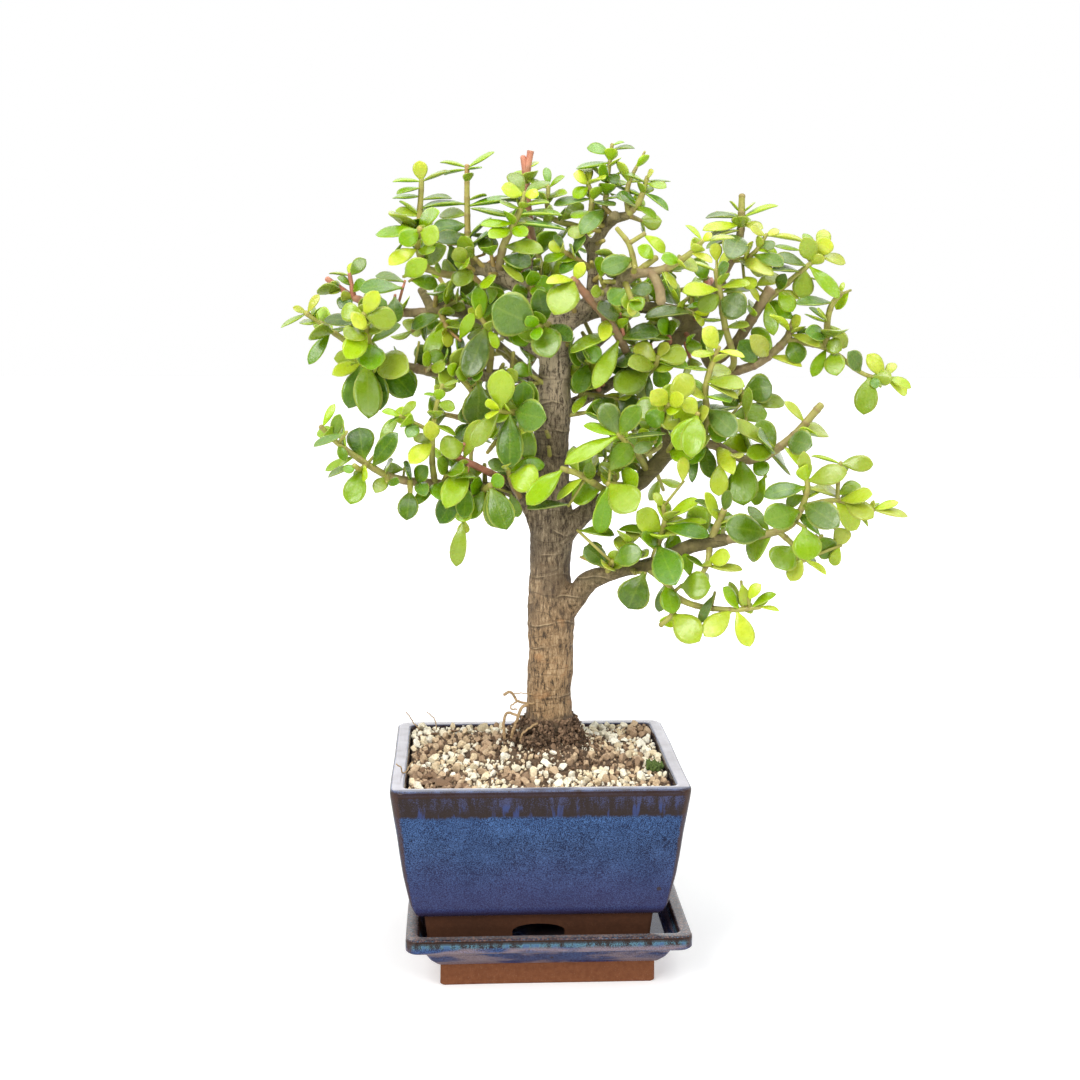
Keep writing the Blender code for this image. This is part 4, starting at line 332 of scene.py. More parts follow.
    "right_low": """0
    2.4,1.9 78,271,-6 90,272,-9 102,268,-12 112,264,-14 124,270,-16 131,275,-17 139,283,-18 146.5,292.5,-19
    1.4,1.2 94,271,-10 95,262,-20
    1.9,1.3 84,271.4,-7 81,280,-19 83,288,-26
    1.9,1.3 78,271,-6 87,278,-12 87,290,-15 87,303,-17 90,313,-19 93,322,-20
    123,272,-23,12,-26,8,50,1 122,273,-8,12,-14,10,75,3 124,269,-15,-1,-24,9,80,2 113,264,6,-7,-20,8,85,3
    130,274,12,-2,-30,13,80,4 139,283,-11,11,-18,5,30,1 94,271,8,-14,-30,8,80,1 95,262,0,-16,-22,9,60,1
    104,268,1,-2,-30,7,80,0 106,265,2,-22,-24,15,80,2 88,272,-8,-10,-18,7,60,3 127,272,14,-13,-20,5,60,1
    79,288,-6,-18,-32,12,80,2 84,287,-4,-21,-38,12,80,2 84,289,-8,6,-26,8,70,1 83,268,-2,-15,-14,4.5,60,4
    87,268,3,-13,-16,8,70,3 93,322,-8,9,-26,10,65,0 92,319,-12,-1,-24,6,40,1 92,320,14,-3,-24,4,30,0
    90,310,-13,1,-22,6,30,2 88,304,18,-2,-26,9,45,1 88,303,15,-7,-26,5,35,1 88,291,14,-13,-32,12,75,4
    87,296,-8,3,-22,8,50,1 88,284,8,-9,-16,9,60,3""",
    "low_right_end": """0
    2.3,1.2 98,221.7,-17 112,223,-20 124,226,-22 133,230,-24 138,238,-26 141,252,-27 137,261,-27
    1.4,1 139,240,-26 150,242,-24 158,243,-24 168,239,-26 176,238,-28
    1.1,0.9 157,243,-24 157,253,-22 158,263,-22
    1.5,1.2 126,227,-22 134,220,-26 141,211,-28
    140,250,-21,-5,-32,10,55,3 137,238,-17,-6,-42,14,85,3 140,229,3,-17,-40,14,88,2
    139,241,18,-11,-44,14,80,4 141,253,19,4,-34,11,60,1 141,249,16,-4,-20,8,45,1 141,256,-3,12,-34,6,60,1
    158,243,16,3,-34,9,55,1 160,241,15,-7,-34,10,65,1 158,246,10,5,-20,8,60,2 176,238,12,4,-28,5,40,1
    176,238,17,-3,-28,6,45,1 159,262,15,0,-24,8,75,1 125,224,-13,-11,-16,11,70,2 121,227,-21,2,-32,15,85,3
    137,220,-11,-12,-32,15,80,2 139,212,-5,-11,-30,8,75,1 146,224,9,-10,-22,11,80,3 156,229,6,-8,-18,9,80,1
    141,211,11,-7,-28,4,40,0 141,212,6,-3,-20,5,60,3""",
    "low_right_stub": """0
    2,1.7 91,221,-16 94,229,-19 98,238,-22
    97,236,-14,6,-26,6,25,4 98,238,3,9,-28,7,50,4 95,228,8,6,-12,8,60,2 94,232,-6,14,-30,7,60,1""",
    "low_right_hang": """0
    1.7,1.2 91,220,-16 90,210,-20 87,203,-22
    90,211,11,2,-26,9,70,1 89,208,18,-2,-26,6,35,1 88,207,-9,6,-18,5,30,3 87,203,4,-2,-20,4,40,2""",
    "low_right_under": """0
    1.9,1.2 58,207,-10 67,200,-14 76,190,-16 85,189,-17 95,187,-18 104,184.5,-19 118,186,-20
    1.4,1.3 76,190,-16 72,182,-18 66,176,-19
    76,197,15,0,-26,14,80,2 69,199,3,-16,-22,10,80,2 66,197,-1,-13,-16,6,70,4 75,181,11,-13,-26,14,80,1
    103,183,-13,-12,-26,11,70,1 94,193,-7,-15,-20,5,60,4 106,182,7,-16,-22,9,75,0 107,188,-8,8,-24,8,50,2
    109,189,-7,10,-18,4,50,1 112,190,6,8,-24,6,60,1 113,188,13,5,-22,5,40,2""",
    "low_right_up": """0
    1.9,1.1 61,209,-10 63,216,-13 65,224,-15 67,232,-16 66,240,-17
    64,219,9,-20,-36,16,80,4 65,226,-12,10,-26,12,80,1 63,224,-19,3,-14,6,45,3 67,233,17,9,-18,7,35,1
    67,230,21,1,-14,5,20,1 66,228,23,-4,-22,9,55,3 64,219,-9,5,-26,9,70,3 66,240,-5,6,-20,5,60,1""",
    "low_right_dark": """0
    1.8,1.3 37,203,-6 39,207,-14 40,210,-18
    40,210,15,5,-20,12,70,3 37,208,-11,9,-14,10,80,3""",
    "low_right_drop": """0
    1.7,1.4 50,206.5,-8.5 52,204,-16
    57,204,-8,-18,-24,16,85,3""",
    "centre_front": """0
    1.9,1.4 50,250,-3 43,250,-18 37,251,-28
    35,249,16,-11,-42,16,70,1 36,247,-3,-21,-22,9,80,2 38,258,10,13,-22,12,85,2""",
    "centre_up": """0
    1.8,1.3 58,257,-3 51,268,-16 42,277,-25
    40,277,-24,-15,-38,9,60,1 41,278,-16,3,-30,7,50,1 41,279,-7,13,-26,11,80,4 43,278,10,13,-30,10,75,2
    45,275,21,2,-26,5,30,4 61,273,-10,-5,-28,7,60,4""",
    "upper_inner": """2
    1.8,1.3 44,356,-11 47,350,-18 48,346,-22
    47,350,11,1,-20,8,60,3 48,347,5,-6,-26,8,70,2 46,351,-9,-6,-22,10,70,4""",
    "right_horizontal": """2
    1.8,1.4 72,341,5 75,341,-6 80,339,-12
    80,338,-24,-1,-16,8,45,3 75,342,11,2,-12,7,30,3 74,343,-7,10,-10,5,30,1""",
    "upper_right": """0
    2.8,1.2 48,359,-13 57,360,-14 63,361,-15 70,364,-16 77,369,-17 84,376,-18
    1.6,1.2 50,360,-13 47,368,-14 46,374,-15 40,381.5,-17
    1.2,1.1 46,374,-15 54,379,-16
    1.7,1.5 52,361,-13 57,364,-15 60,367,-16
    2.5,2.6 58,360,-14 62,352,-18 63,345,-19
    84,375,-9,8,-18,4,25,1 84,376,4,3,-20,4,60,0 83,375,16,2,-16,6,15,1 77,370,11,-5,-24,5,30,0
    72,367,-9,0,-22,7,65,2 61,368,-10,4,-20,7,70,2 70,363,-8,-7,-10,6,50,4 64,361,6,-9,-20,5,30,1
    46,366,-13,-5,-26,10,80,4""",
    "leader_tip": """0
    1.9,1.1 45,388,-6 51,395,-8 54,402,-9 55,407,-9
    2,0.6 46,388,-6 45,401,-4 53.5,419.5,-2
    54,404,10,-2,-12,7,25,1 55,405,11,0,-4,4,10,4 55,406,3,4,-12,5,40,0 54,404,-10,4,-12,7,20,2
    54,399,11,-8,-12,4,30,4 50,392,9,-5,-12,5,40,2 50,394,-10,4,-10,7,45,3 52,398,-12,4,2,5,20,3
    49,392,-7,4,-18,8,50,4""",
    "top": """0
    1.9,0.9 33,381,-4 34,393,-1 35,406,0 37,423,0
    37,420,11,1,0,5,15,2 36,418,-11,3,0,8,40,2 36,414,-16,-3,-2,8,30,2 35,412,6,4,-8,5,25,1
    36,408,4,-4,-8,6,60,3 35,404,-4,8,-10,7,60,2 35,401,10,3,6,5,25,1 34,391,-12,-12,-18,9,60,4
    34,396,8,1,-10,7,25,2""",
    "top_left": """0
    1.7,1.2 21,381,0 26,388,-2 27,396,-3 25,404,-3
    1.7,1.1 21,382,0 12,385,-2 6,388,-3 5,396,-2 5,402,-2
    25,404,-7,4,-6,8,45,0 26,404,7,2,-8,7,35,0 25,404,-2,8,0,7,40,0 25,402,-7,-5,-8,6,60,1
    27,396,-18,-3,-8,7,30,4 27,395,11,-2,-8,7,25,4 27,390,-10,-3,-8,7,30,1 5,402,-10,3,-2,7,30,2
    5,402,8,5,-4,5,25,1 5,401,-1,10,4,4,20,2 5,396,10,3,-8,6,30,1 12,386,2,6,-8,7,40,3""",
    "leader_low": """2
    1.7,1.2 28,361,-3 20,365,-9 13,370,-13
    14,370,-6,7,-16,7,35,4 18,368,6,9,-14,7,35,4 14,369,-10,-4,-18,7,40,2 20,364,-8,-5,-16,7,50,3""",
    "back_left": """4
    1.9,1.1 -31,331,53 -42,343,60 -50,356,62
    1.5,1 -35,335,56 -52,334,54 -66,338,50
    1.5,1 -34,334,56 -28,346,72 -22,356,80""",
    "back_middle": """4
    2,1.1 4,353,33 0,368,42 -6,382,46
    1.5,1 3,360,38 16,370,46 24,378,54
    1.5,1 3,356,36 -10,360,50 -18,366,62""",
    "back_right": """4
    1.9,1.1 53,343,51 64,355,56 72,368,56
    1.5,1 57,348,54 78,352,52 92,356,46
    1.5,1 56,346,54 50,358,68 42,366,78""",
    "back_low_right": """4
    1.9,1.1 53,265,49 68,273,56 82,282,56
    1.5,1 58,268,53 62,256,66 66,248,74
    1.5,1 56,267,52 48,282,62 40,292,70""",
    "back_low_left": """4
    1.9,1.1 -25,278,43 -40,285,48 -56,288,48
    1.5,1 -28,281,46 -24,296,58 -20,308,64
    1.5,1 -29,281,46 -34,268,56 -34,258,64""",
    "back_inner": """4
    1.9,1.1 26,319,27 20,310,42 16,304,56""",
}


def swung(u, swing):
    """How far back a limb with this swing has gone at a drawn place beside the trunk."""
    out = abs(u - TRUNK_U) / SWING_REACH
    return swing * (out if out < 1 else 1 + (out - 1) * SWING_BEYOND)


def sight_scale(u, depth, swing):
    """How much larger a thing at this place is than it looks on the drawing plane."""
    return (PLANE_Y + depth + swung(u, swing) - EYE.y) / (PLANE_Y - EYE.y)


def seen(u, z, depth, swing=0.0):
    """A drawn point in millimetres of the part's frame, kept on its sight line at the given depth."""
    point = EYE + (Vector((u, PLANE_Y, z)) - EYE) * sight_scale(u, depth, swing)
    return PLANT_SPIN @ point + PLANT_FOOT


def frames(points):
    """Directions along a path, and one side direction per point that doesn't twist."""
    along = []
    for i in range(len(points)):
        before = points[max(i - 1, 0)]
        after = points[min(i + 1, len(points) - 1)]
        along.append((after - before).normalized())
    side = along[0].orthogonal().normalized()
    sides = []
    for direction in along:
        side = (side - direction * side.dot(direction)).normalized()
        sides.append(side)
    return along, sides


def ring_faces(rings, count, closed=True):
    """Faces round a stack of rings with this many points each, and over its first and last ring."""
    faces = [tuple(reversed(range(count)))]
    for i in range(rings - 1):
        for k in range(count):
            a, b = i * count + k, i * count + (k + 1) % count
            faces.append((a, b, b + count, a + count))
    if closed:
        faces.append(tuple(range((rings - 1) * count, rings * count)))
    return faces


def ring_at(point, direction, side, radius, count):
    """Points round a path at one of its points."""
    other = direction.cross(side)
    turns = [2 * math.pi * k / count for k in range(count)]
    return [point + (side * math.cos(turn) + other * math.sin(turn)) * radius for turn in turns]


def tube(points, radii, count, margin=0.0):
    """A closed tube through the points, with flat ends; margin thickens and lengthens it."""
    along, sides = frames(points)
    points = list(points)
    points[0] = points[0] - along[0] * margin
    points[-1] = points[-1] + along[-1] * margin
    verts = []
    for point, radius, direction, side in zip(points, radii, along, sides):
        verts.extend(ring_at(point, direction, side, radius + margin, count))
    return verts, ring_faces(len(points), count)


def spread_radii(first, last, count):
    return [first + (last - first) * i / (count - 1) for i in range(count)]


def blade(length, width, age, margin=0.0):
    """A thick leaf along +Y that faces +Z, narrow at the base and broad past the middle.

    A broad one swells on both sides, a slim one on its upper side only. Returns points and triangles;
    point 0 is the base.
    """
    half = width / 2
    thick = BLADE_HALF_THICK * (1.0 + 0.1 * min(age, 3)) * (0.75 + 0.25 * min(width / 10, 1))

    def place(across, t, lift):
        arch = BLADE_ARCH * length * 4 * t * (1 - t)
        cup = BLADE_CUP * width * across * across * min(t * 3, 1)
        return Vector((across * (half + margin), t * (length + margin), arch + cup + lift))

    if width > BROAD_BLADE:
        outline = [(0.0, 0.0), (0.9, 0.42), (0.86, 0.82), (0.0, 1.0), (-0.86, 0.82), (-0.9, 0.42)]
        verts = [place(a, t, 0.0) for a, t in outline]
        verts.append(place(0.0, 0.58, thick + margin))
        verts.append(place(0.0, 0.58, -thick - margin))
        faces = [(k, (k + 1) % 6, 6) for k in range(6)] + [((k + 1) % 6, k, 7) for k in range(6)]
    else:
        outline = [(0.0, 0.0), (0.95, 0.5), (0.55, 0.96), (-0.55, 0.96), (-0.95, 0.5)]
        verts = [place(a, t, -0.5 * thick * min(2 * t, 1) - margin * (t > 0)) for a, t in outline]
        verts.append(place(0.0, 0.6, thick + margin))
        faces = [(k, (k + 1) % 5, 5) for k in range(5)] + [(0, 4, 1), (1, 4, 3), (1, 3, 2)]
    return verts, faces


def blade_matrix(base, tip, normal):
    along = (tip - base).normalized()
    up = (normal - along * normal.dot(along)).normalized()
    across = along.cross(up)
    turn = Matrix((across, along, up)).transposed().to_4x4()
    return Matrix.Translation(base) @ turn


def thinned(drawn, radii):
    """Drops the points of a stem that lie almost straight between their neighbours."""
    keep = [0]
    for i in range(1, len(drawn) - 1):
        a = Vector(drawn[keep[-1]])
        run = Vector(drawn[i + 1]) - a
        worst = 0.0
        for k in range(keep[-1] + 1, i + 1):
            off = Vector(drawn[k]) - a
            worst = max(worst, (off - run * (off.dot(run) / run.length_squared)).length)
        if worst > STEM_TOLERANCE:
            keep.append(i)
    keep.append(len(drawn) - 1)
    return [drawn[i] for i in keep], [radii[i] for i in keep]


def measured(verts, faces, root):
    """The centre and reach of a piece, its skin, and for a blade its skin past the faces at its base."""
    centre = sum(verts, Vector()) / len(verts)
    reach = max((v - centre).length for v in verts)
    whole = BVHTree.FromPolygons(verts, faces)
    outer = BVHTree.FromPolygons(verts, [f for f in faces if 0 not in f]) if root else whole
    return centre, reach, whole, outer


class Thicket:
    """Everything that has grown so far, to test a new piece against."""

    def __init__(self):
        self.items = []

    def add(self, owner, verts, faces, root=None):
        """Keeps a piece; a blade gives its root."""
        self.items.append((owner, *measured(verts, faces, root), root))

    def crosses(self, owner, verts, faces, root=None):
        """Whether a new piece crosses an old one; a blade may meet its own spray near its base."""
        centre, radius, whole, outer = measured(verts, faces, root)
        for name, middle, reach, other, other_outer, other_root in self.items:
            if (middle - centre).length > reach + radius:
                continue
            if name != owner:
                if whole.overlap(other):
                    return True
            elif root:
                shared = other_root and (other_root - root).length < SHARED_ROOT
                if outer.overlap(other_outer if shared else other):
                    return True
                if other_root and not shared and whole.overlap(other_outer):
                    return True
        return False


class Spray:
    """One leafy spray: its stems and the blades and twigs found for it."""

    def __init__(self, name, stems, swing):
        self.name = name
        self.swing = swing
        self.stems = []
        for drawn, first, last in stems:
            kept, radii = thinned(drawn, spread_radii(first, last, len(drawn)))
            self.stems.append((kept, [seen(*p, swing) for p in kept], radii))
        self.blades = []
        self.twigs = []

    def root_at(self, u, z):
        """The nearest stem point to a drawn place: its distance on the drawing, the point, its depth."""
        best = None
        for drawn, points, radii in self.stems:
            for i in range(len(drawn) - 1):
                a = Vector(drawn[i])
                b = Vector(drawn[i + 1])
                run = (b - a).xy
                t = (Vector((u, z)) - a.xy).dot(run) / max(run.length_squared, 1e-6)
                last = 1.0 - END_MARGIN / (b - a).length if i == len(drawn) - 2 else 1.0
                t = max(0.0, min(last, t))
                away = (Vector((u, z)) - a.lerp(b, t).xy).length
                if best is None or away < best[0]:
                    best = (away, points[i].lerp(points[i + 1], t), a.lerp(b, t).z)
        return best


def try_blade(thicket, spray, base, tip, normal, width, age):
    """Adds the blade if it clears everything else; its base may meet its own spray."""
    base = base - (tip - base).normalized() * BASE_SINK
    length = (tip - base).length
    place = blade_matrix(base, tip, normal)
    verts, faces = blade(length, width, age, CLEARANCE)
    if thicket.crosses(spray.name, [place @ v for v in verts], faces, base):
        return False
    verts, faces = blade(length, width, age)
    thicket.add(spray.name, [place @ v for v in verts], faces, base)
    spray.blades.append((place, length, width, age))
    return True


# How far back the tip goes, how far the face turns to the eye, and the size of a blade, tried in turn
DRAWN_TRIES = [(0, 0, 1.0), (-5, 0, 1.0), (5, 0, 1.0), (0, 25, 1.0), (0, -25, 1.0), (-10, 0, 1.0),
               (10, 0, 1.0), (-6, 25, 0.9), (6, -25, 0.9), (-16, 0, 0.9), (16, 0, 0.9), (0, 0, 0.8),
               (-8, 0, 0.8), (8, 0, 0.8), (-22, 0, 0.85), (22, 0, 0.85), (-12, -30, 0.75), (0, 0, 0.65),
               (-10, 0, 0.65), (10, 0, 0.65)]


def drawn_blade(thicket, spray, row):
    """Places one blade of the drawing, bent clear of its neighbours where it has to be."""
    base_u, base_z, tip_u, tip_z, tip_depth, width, face, age = row
    away, root, root_depth = spray.root_at(base_u, base_z)
    for push, turn, size in DRAWN_TRIES:
        depth = tip_depth + push
        twig = None
        if away > TWIG_WHEN_AWAY:
            base = seen(base_u, base_z, root_depth + 0.6 * (depth - root_depth), spray.swing)
            reach = (base - root).normalized()
            twig = tube([root, base + reach * TWIG_PAST_BLADE], [TWIG_RADIUS, TWIG_RADIUS * 0.9], 4)
            start = root + reach * TWIG_REACH
            if thicket.crosses(spray.name, *tube([start, base + reach], [TWIG_RADIUS] * 2, 4, CLEARANCE)):
                continue
        else:
            base = root
        tip = seen(tip_u, tip_z, depth, spray.swing)
        tip = base + (tip - base) * size
        angle = math.radians(max(0, min(90, face + turn)))
        to_eye = (SEEN_FROM - base).normalized()
        normal = Vector((0, 0, 1)) * math.cos(angle) + to_eye * math.sin(angle)
        broad = width * size * sight_scale(tip_u, depth, spray.swing)
        if try_blade(thicket, spray, base, tip, normal, broad, age):
            if twig:
                spray.twigs.append(twig)
                thicket.add(spray.name, *twig)
            return True
    return False


# By age, youngest first: length, and how far a blade leans away from its stem
RULE_LENGTHS = (9.5, 13.0, 15.5, 17.0)
RULE_LEANS = (34, 52, 62, 70)
RULE_PLUMP = (0.58, 0.72)
RULE_DROOP = 0.12
LOWEST_NODE = 4.0
# Turn round the stem, further lean and size of a blade, tried in turn
RULE_TRIES = [(0, 0, 1.0), (25, 0, 1.0), (-25, 0, 1.0), (0, 15, 0.9), (45, 0, 0.85), (-45, 0, 0.85),
              (0, -15, 0.75), (90, 0, 0.7)]
# Places of the drawing that stay open, to the wood or right through, as u, z, radius. Those up to 28,252
# were chosen one by one. From 129,285 on their centres follow a list that a scratch program printed of where
# the photograph is open and an earlier render wasn't.
OPEN_PLACES = numbers("""
    8,330,7 8,318,8 8,306,9 8,294,8 9,282,9 8,270,9 8,260,7 20,337,6 20,293,4 29,297,4 37,301,4
    18,357,4 22,350,4 27,344,4 32,337,4 37,330,4 42,323,4 27,374,4 27,365,4 28,357,4 33,380,4 37,387,4
    36,350,4 44,354,4 52,360,4 58,366,3 67,365,3 74,370,3 46,369,4 90,358,4 92,350,4 94,341,4 97,332,4
    99,324,4 130,358,3 122,350,3 115,342,4 109,334,4 104,326,4 126,326,4 118,319,4 110,313,4 152,345,3
    150,335,3 72,326,4 80,331,3 53,342,3 61,342,3 69,341,3 88,312,3 86,304,3 66,269,5 60,260,5 57,253,4
    85,218,4 95,220,4 -59,400,4 -36,400,4 -36,390,4 -36,382,4 -13,379,4 -17,371,4 -20,364,3 -30,362,5
    -55,357,3 -47,356,3 -59,347,4 -53,341,4 -64,339,3 -23,322,4 -22,312,4 -38,265,3 -31,262,3 -24,258,3
    14,260,4 22,256,3 28,252,3 129,285,7 -60,288,6 72,375,6 -16,318,6 39,373,5 -42,285,5 -42,209,5
    -40,299,5 90,234,4 73,357,4 -101,364,5 -112,359,7 -42,400,4 52,334,4 22,277,4 69,247,4 134,257,4
    80,358,3 26,330,4 50,370,4 81,188,4 -66,321,3 -100,255,4 147,292,6 -74,268,4 -27,264,3 17,297,3
    45,381,3 -46,297,3 -105,320,4 48,417,4 88,389,4 112,179,5""")


def drawn_at(point):
    """Where a point stands on the drawing plane."""
    flat = Matrix.Rotation(-PLANT_TURN, 3, "Z") @ (point - PLANT_FOOT)
    on_plane = EYE + (flat - EYE) * ((PLANE_Y - EYE.y) / (flat.y - EYE.y))
    return Vector((on_plane.x, on_plane.z))


def open_place(base, tip, width):
    """Whether a leaf would cover one of the places that stay open."""
    spots = [drawn_at(base.lerp(tip, t)) for t in (0.35, 0.65, 0.95)]
    return any((spot - Vector((u, z))).length < radius + 0.15 * width
               for u, z, radius in OPEN_PLACES for spot in spots)


def place_along(points, sides, runs, walked):
    """The point this far along a stem, with the direction and the side there."""
    index = 0
    while index < len(runs) - 1 and walked > runs[index]:
        walked -= runs[index]
        index += 1
    spot = points[index].lerp(points[index + 1], min(walked / runs[index], 1.0))
    direction = (points[index + 1] - points[index]).normalized()
    side = sides[index] - direction * sides[index].dot(direction)
    return spot, direction, side.normalized()


def rule_blade(thicket, spray, node, size, age, aim):
    """Grows one blade from a node, turned, tilted or shortened until it has room."""
    spot, direction, side = node
    length, width = size
    around, lean, droop = aim
    for twist, tilt, share in RULE_TRIES:
        outward = Matrix.Rotation(math.radians(around + twist), 3, direction) @ side
        angle = math.radians(lean + tilt)
        heading = direction * math.cos(angle) + outward * math.sin(angle)
        heading.z -= droop
        heading.normalize()
        tip = spot + heading * length * share
        if open_place(spot, tip, width * share):
            continue
        if try_blade(thicket, spray, spot, tip, direction, width * share, age):
            return True
    return False


def rule_blades(thicket, spray, per_stem, draw, lengths=RULE_LENGTHS, plump=RULE_PLUMP, skip=0.0, youngest=0):
    """Opposite pairs along each stem, each pair turned a quarter from the last, older ones larger.

    skip is how much of each stem's end stays bare, and youngest is the least age that a blade may have.
    """
    for drawn, points, radii in spray.stems:
        along, sides = frames(points)
        runs = [(b - a).length for a, b in zip(points, points[1:])]
        spin = draw.uniform(0, 180)
        added = 0
        walked = sum(runs) - END_MARGIN - skip
        pair = 0
        while walked > LOWEST_NODE and added < per_stem:
            node = place_along(points, sides, runs, walked)
            age = min(pair, 3)
            length = lengths[age] * draw.uniform(0.88, 1.12)
            size = (length, length * draw.uniform(*plump))
            lean = RULE_LEANS[age] + draw.uniform(-7, 7)
            for half_turn in (0, 180):
                aim = (spin + 90 * pair + half_turn, lean, RULE_DROOP * pair)
                if added < per_stem and rule_blade(thicket, spray, node, size, max(age, youngest), aim):
                    added += 1
            pair += 1
            walked -= NODE_STEP


def grow():
    """Grows every drawn spray, and returns them with what now stands in the crown."""
    thicket = Thicket()
    draw = random.Random(SEED)
    for limb, (drawn, radii) in LIMBS.items():
        points = [seen(*p, LIMB_SWING.get(limb, 0.0)) for p in drawn]
        for i in range(len(points) - 1):
            thicket.add("limbs", *tube(points[i:i + 2], radii[i:i + 2], 8))
    sprays = []
    for name, text in SPRAYS.items():
        stems, rows, extra = drawn_growth(text)
        spray = Spray(name, stems, LIMB_SWING.get(SPRAY_LIMB.get(name), 0.0))
        sprays.append((spray, rows, extra))
        for drawn, points, radii in spray.stems:
            for i in range(len(points) - 1):
                thicket.add(name, *tube(points[i:i + 2], radii[i:i + 2], 6))
    for spray, rows, extra in sprays:
        for row in rows:
            drawn_blade(thicket, spray, row)
    for spray, rows, extra in sprays:
        if extra:
            rule_blades(thicket, spray, extra, draw)
    return [spray for spray, rows, extra in sprays], thicket


class Sock:
    """One output in a node tree, which sums can be written with."""

    def __init__(self, tree, out):
        self.tree = tree
        self.out = out


for word, operation in (("add", "ADD"), ("sub", "SUBTRACT"), ("mul", "MULTIPLY"), ("truediv", "DIVIDE")):
    setattr(Sock, f"__{word}__", lambda one, two, kind=operation: one.tree.sum(kind, one, two))
    setattr(Sock, f"__r{word}__", lambda one, two, kind=operation: one.tree.sum(kind, two, one))


class Tree:
    """A node tree that is written as calls."""

    def __init__(self, node_tree):
        self.nodes = node_tree.nodes
        self.links = node_tree.links

    def node(self, kind, settings=None, inputs=None, out=0):
        """Adds a node, sets it, then feeds its sockets with values or links."""
        made = self.nodes.new(kind)
        for name, value in (settings or {}).items():
            if name == "stops":
                ramp = made.color_ramp
                while len(ramp.elements) < len(value):
                    ramp.elements.new(0.5)
                for element, (place, colour) in zip(ramp.elements, value):
                    element.position = place
                    element.color = (*colour, 1.0)
            else:
                setattr(made, name, value)
        for key, value in (inputs or {}).items():
            self.feed(made.inputs[key], value)
        return Sock(self, made.outputs[out])

    def feed(self, socket, value):
        if isinstance(value, Sock):
            self.links.new(value.out, socket)
        else:
            socket.default_value = value

    def sum(self, operation, first, second):
        return self.node("ShaderNodeMath", {"operation": operation}, {0: first, 1: second})


# Constants that a finish sets on its shader's own sockets
SHADER_INPUTS = {"specular": "Specular IOR Level", "coat": "Coat Weight", "coat_roughness": "Coat Roughness",
                 "subsurface": "Subsurface Weight", "subsurface_scale": "Subsurface Scale"}


class Finish(Tree):
    """A material: its tree, and the few nodes that every finish here uses."""

    def __init__(self, name, **constants):
        self.mat = bpy.data.materials.new(name)
        self.mat.use_nodes = True
        super().__init__(self.mat.node_tree)
        self.shader = self.nodes["Principled BSDF"]
        for key, value in constants.items():
            self.shader.inputs[SHADER_INPUTS[key]].default_value = value
        self.place = self.node("ShaderNodeTexCoord", out="Object")

    def set(self, name, value):
        self.feed(self.shader.inputs[name], value)

    def done(self, colour, rough, normal):
        """Gives the shader what varies over the piece, and returns the material."""
        self.set("Base Color", colour)
        self.set("Roughness", rough)
        self.set("Normal", normal)
        return self.mat

    def attributes(self, *names):
        """Numbers that are kept at the points of the piece."""
        return [self.node("ShaderNodeAttribute", {"attribute_name": name}, out="Fac") for name in names]

    def stretched(self, x, y, z):
        """The place on the piece with each axis multiplied."""
        return self.node("ShaderNodeVectorMath", {"operation": "MULTIPLY"}, {0: self.place, 1: (x, y, z)})

    def noise(self, scale, detail=2.0, at=None, rough=0.5):
        inputs = {"Vector": at or self.place, "Scale": scale, "Detail": detail, "Roughness": rough}
        return self.node("ShaderNodeTexNoise", {}, inputs, "Fac")

    def cells(self, scale):
        """How far a place is from the nearest of many strewn points."""
        return self.node("ShaderNodeTexVoronoi", {}, {"Vector": self.place, "Scale": scale}, "Distance")

    def axis(self, name, vector=None):
        return self.node("ShaderNodeSeparateXYZ", {}, {0: vector or self.place}, name)

    def step(self, value, low, high):
        """0 below low and 1 above high, eased between; low may be the larger."""
        if low > high:
            return 1 - self.step(value, high, low)
        return self.node("ShaderNodeMapRange", {"interpolation_type": "SMOOTHSTEP"},
                         {"Value": value, "From Min": low, "From Max": high})

    def mix(self, factor, first, second):
        """Two colours mixed; a plain colour is three numbers."""
        first, second = (c if isinstance(c, Sock) else (*c, 1.0) for c in (first, second))
        return self.node("ShaderNodeMix", {"data_type": "RGBA"}, {0: factor, 6: first, 7: second}, 2)

    def paint(self, factor, over):
        """Mixes a colour over what the finish is painted with so far."""
        self.colour = self.mix(factor, self.colour, over)

    def ramp(self, value, *stops):
        return self.node("ShaderNodeValToRGB", {"stops": stops}, {0: value}, "Color")

    def bump(self, height, distance, strength=1.0, under=None):
        inputs = {"Height": height, "Distance": distance, "Strength": strength}
        if under:
            inputs["Normal"] = under
        return self.node("ShaderNodeBump", {}, inputs)


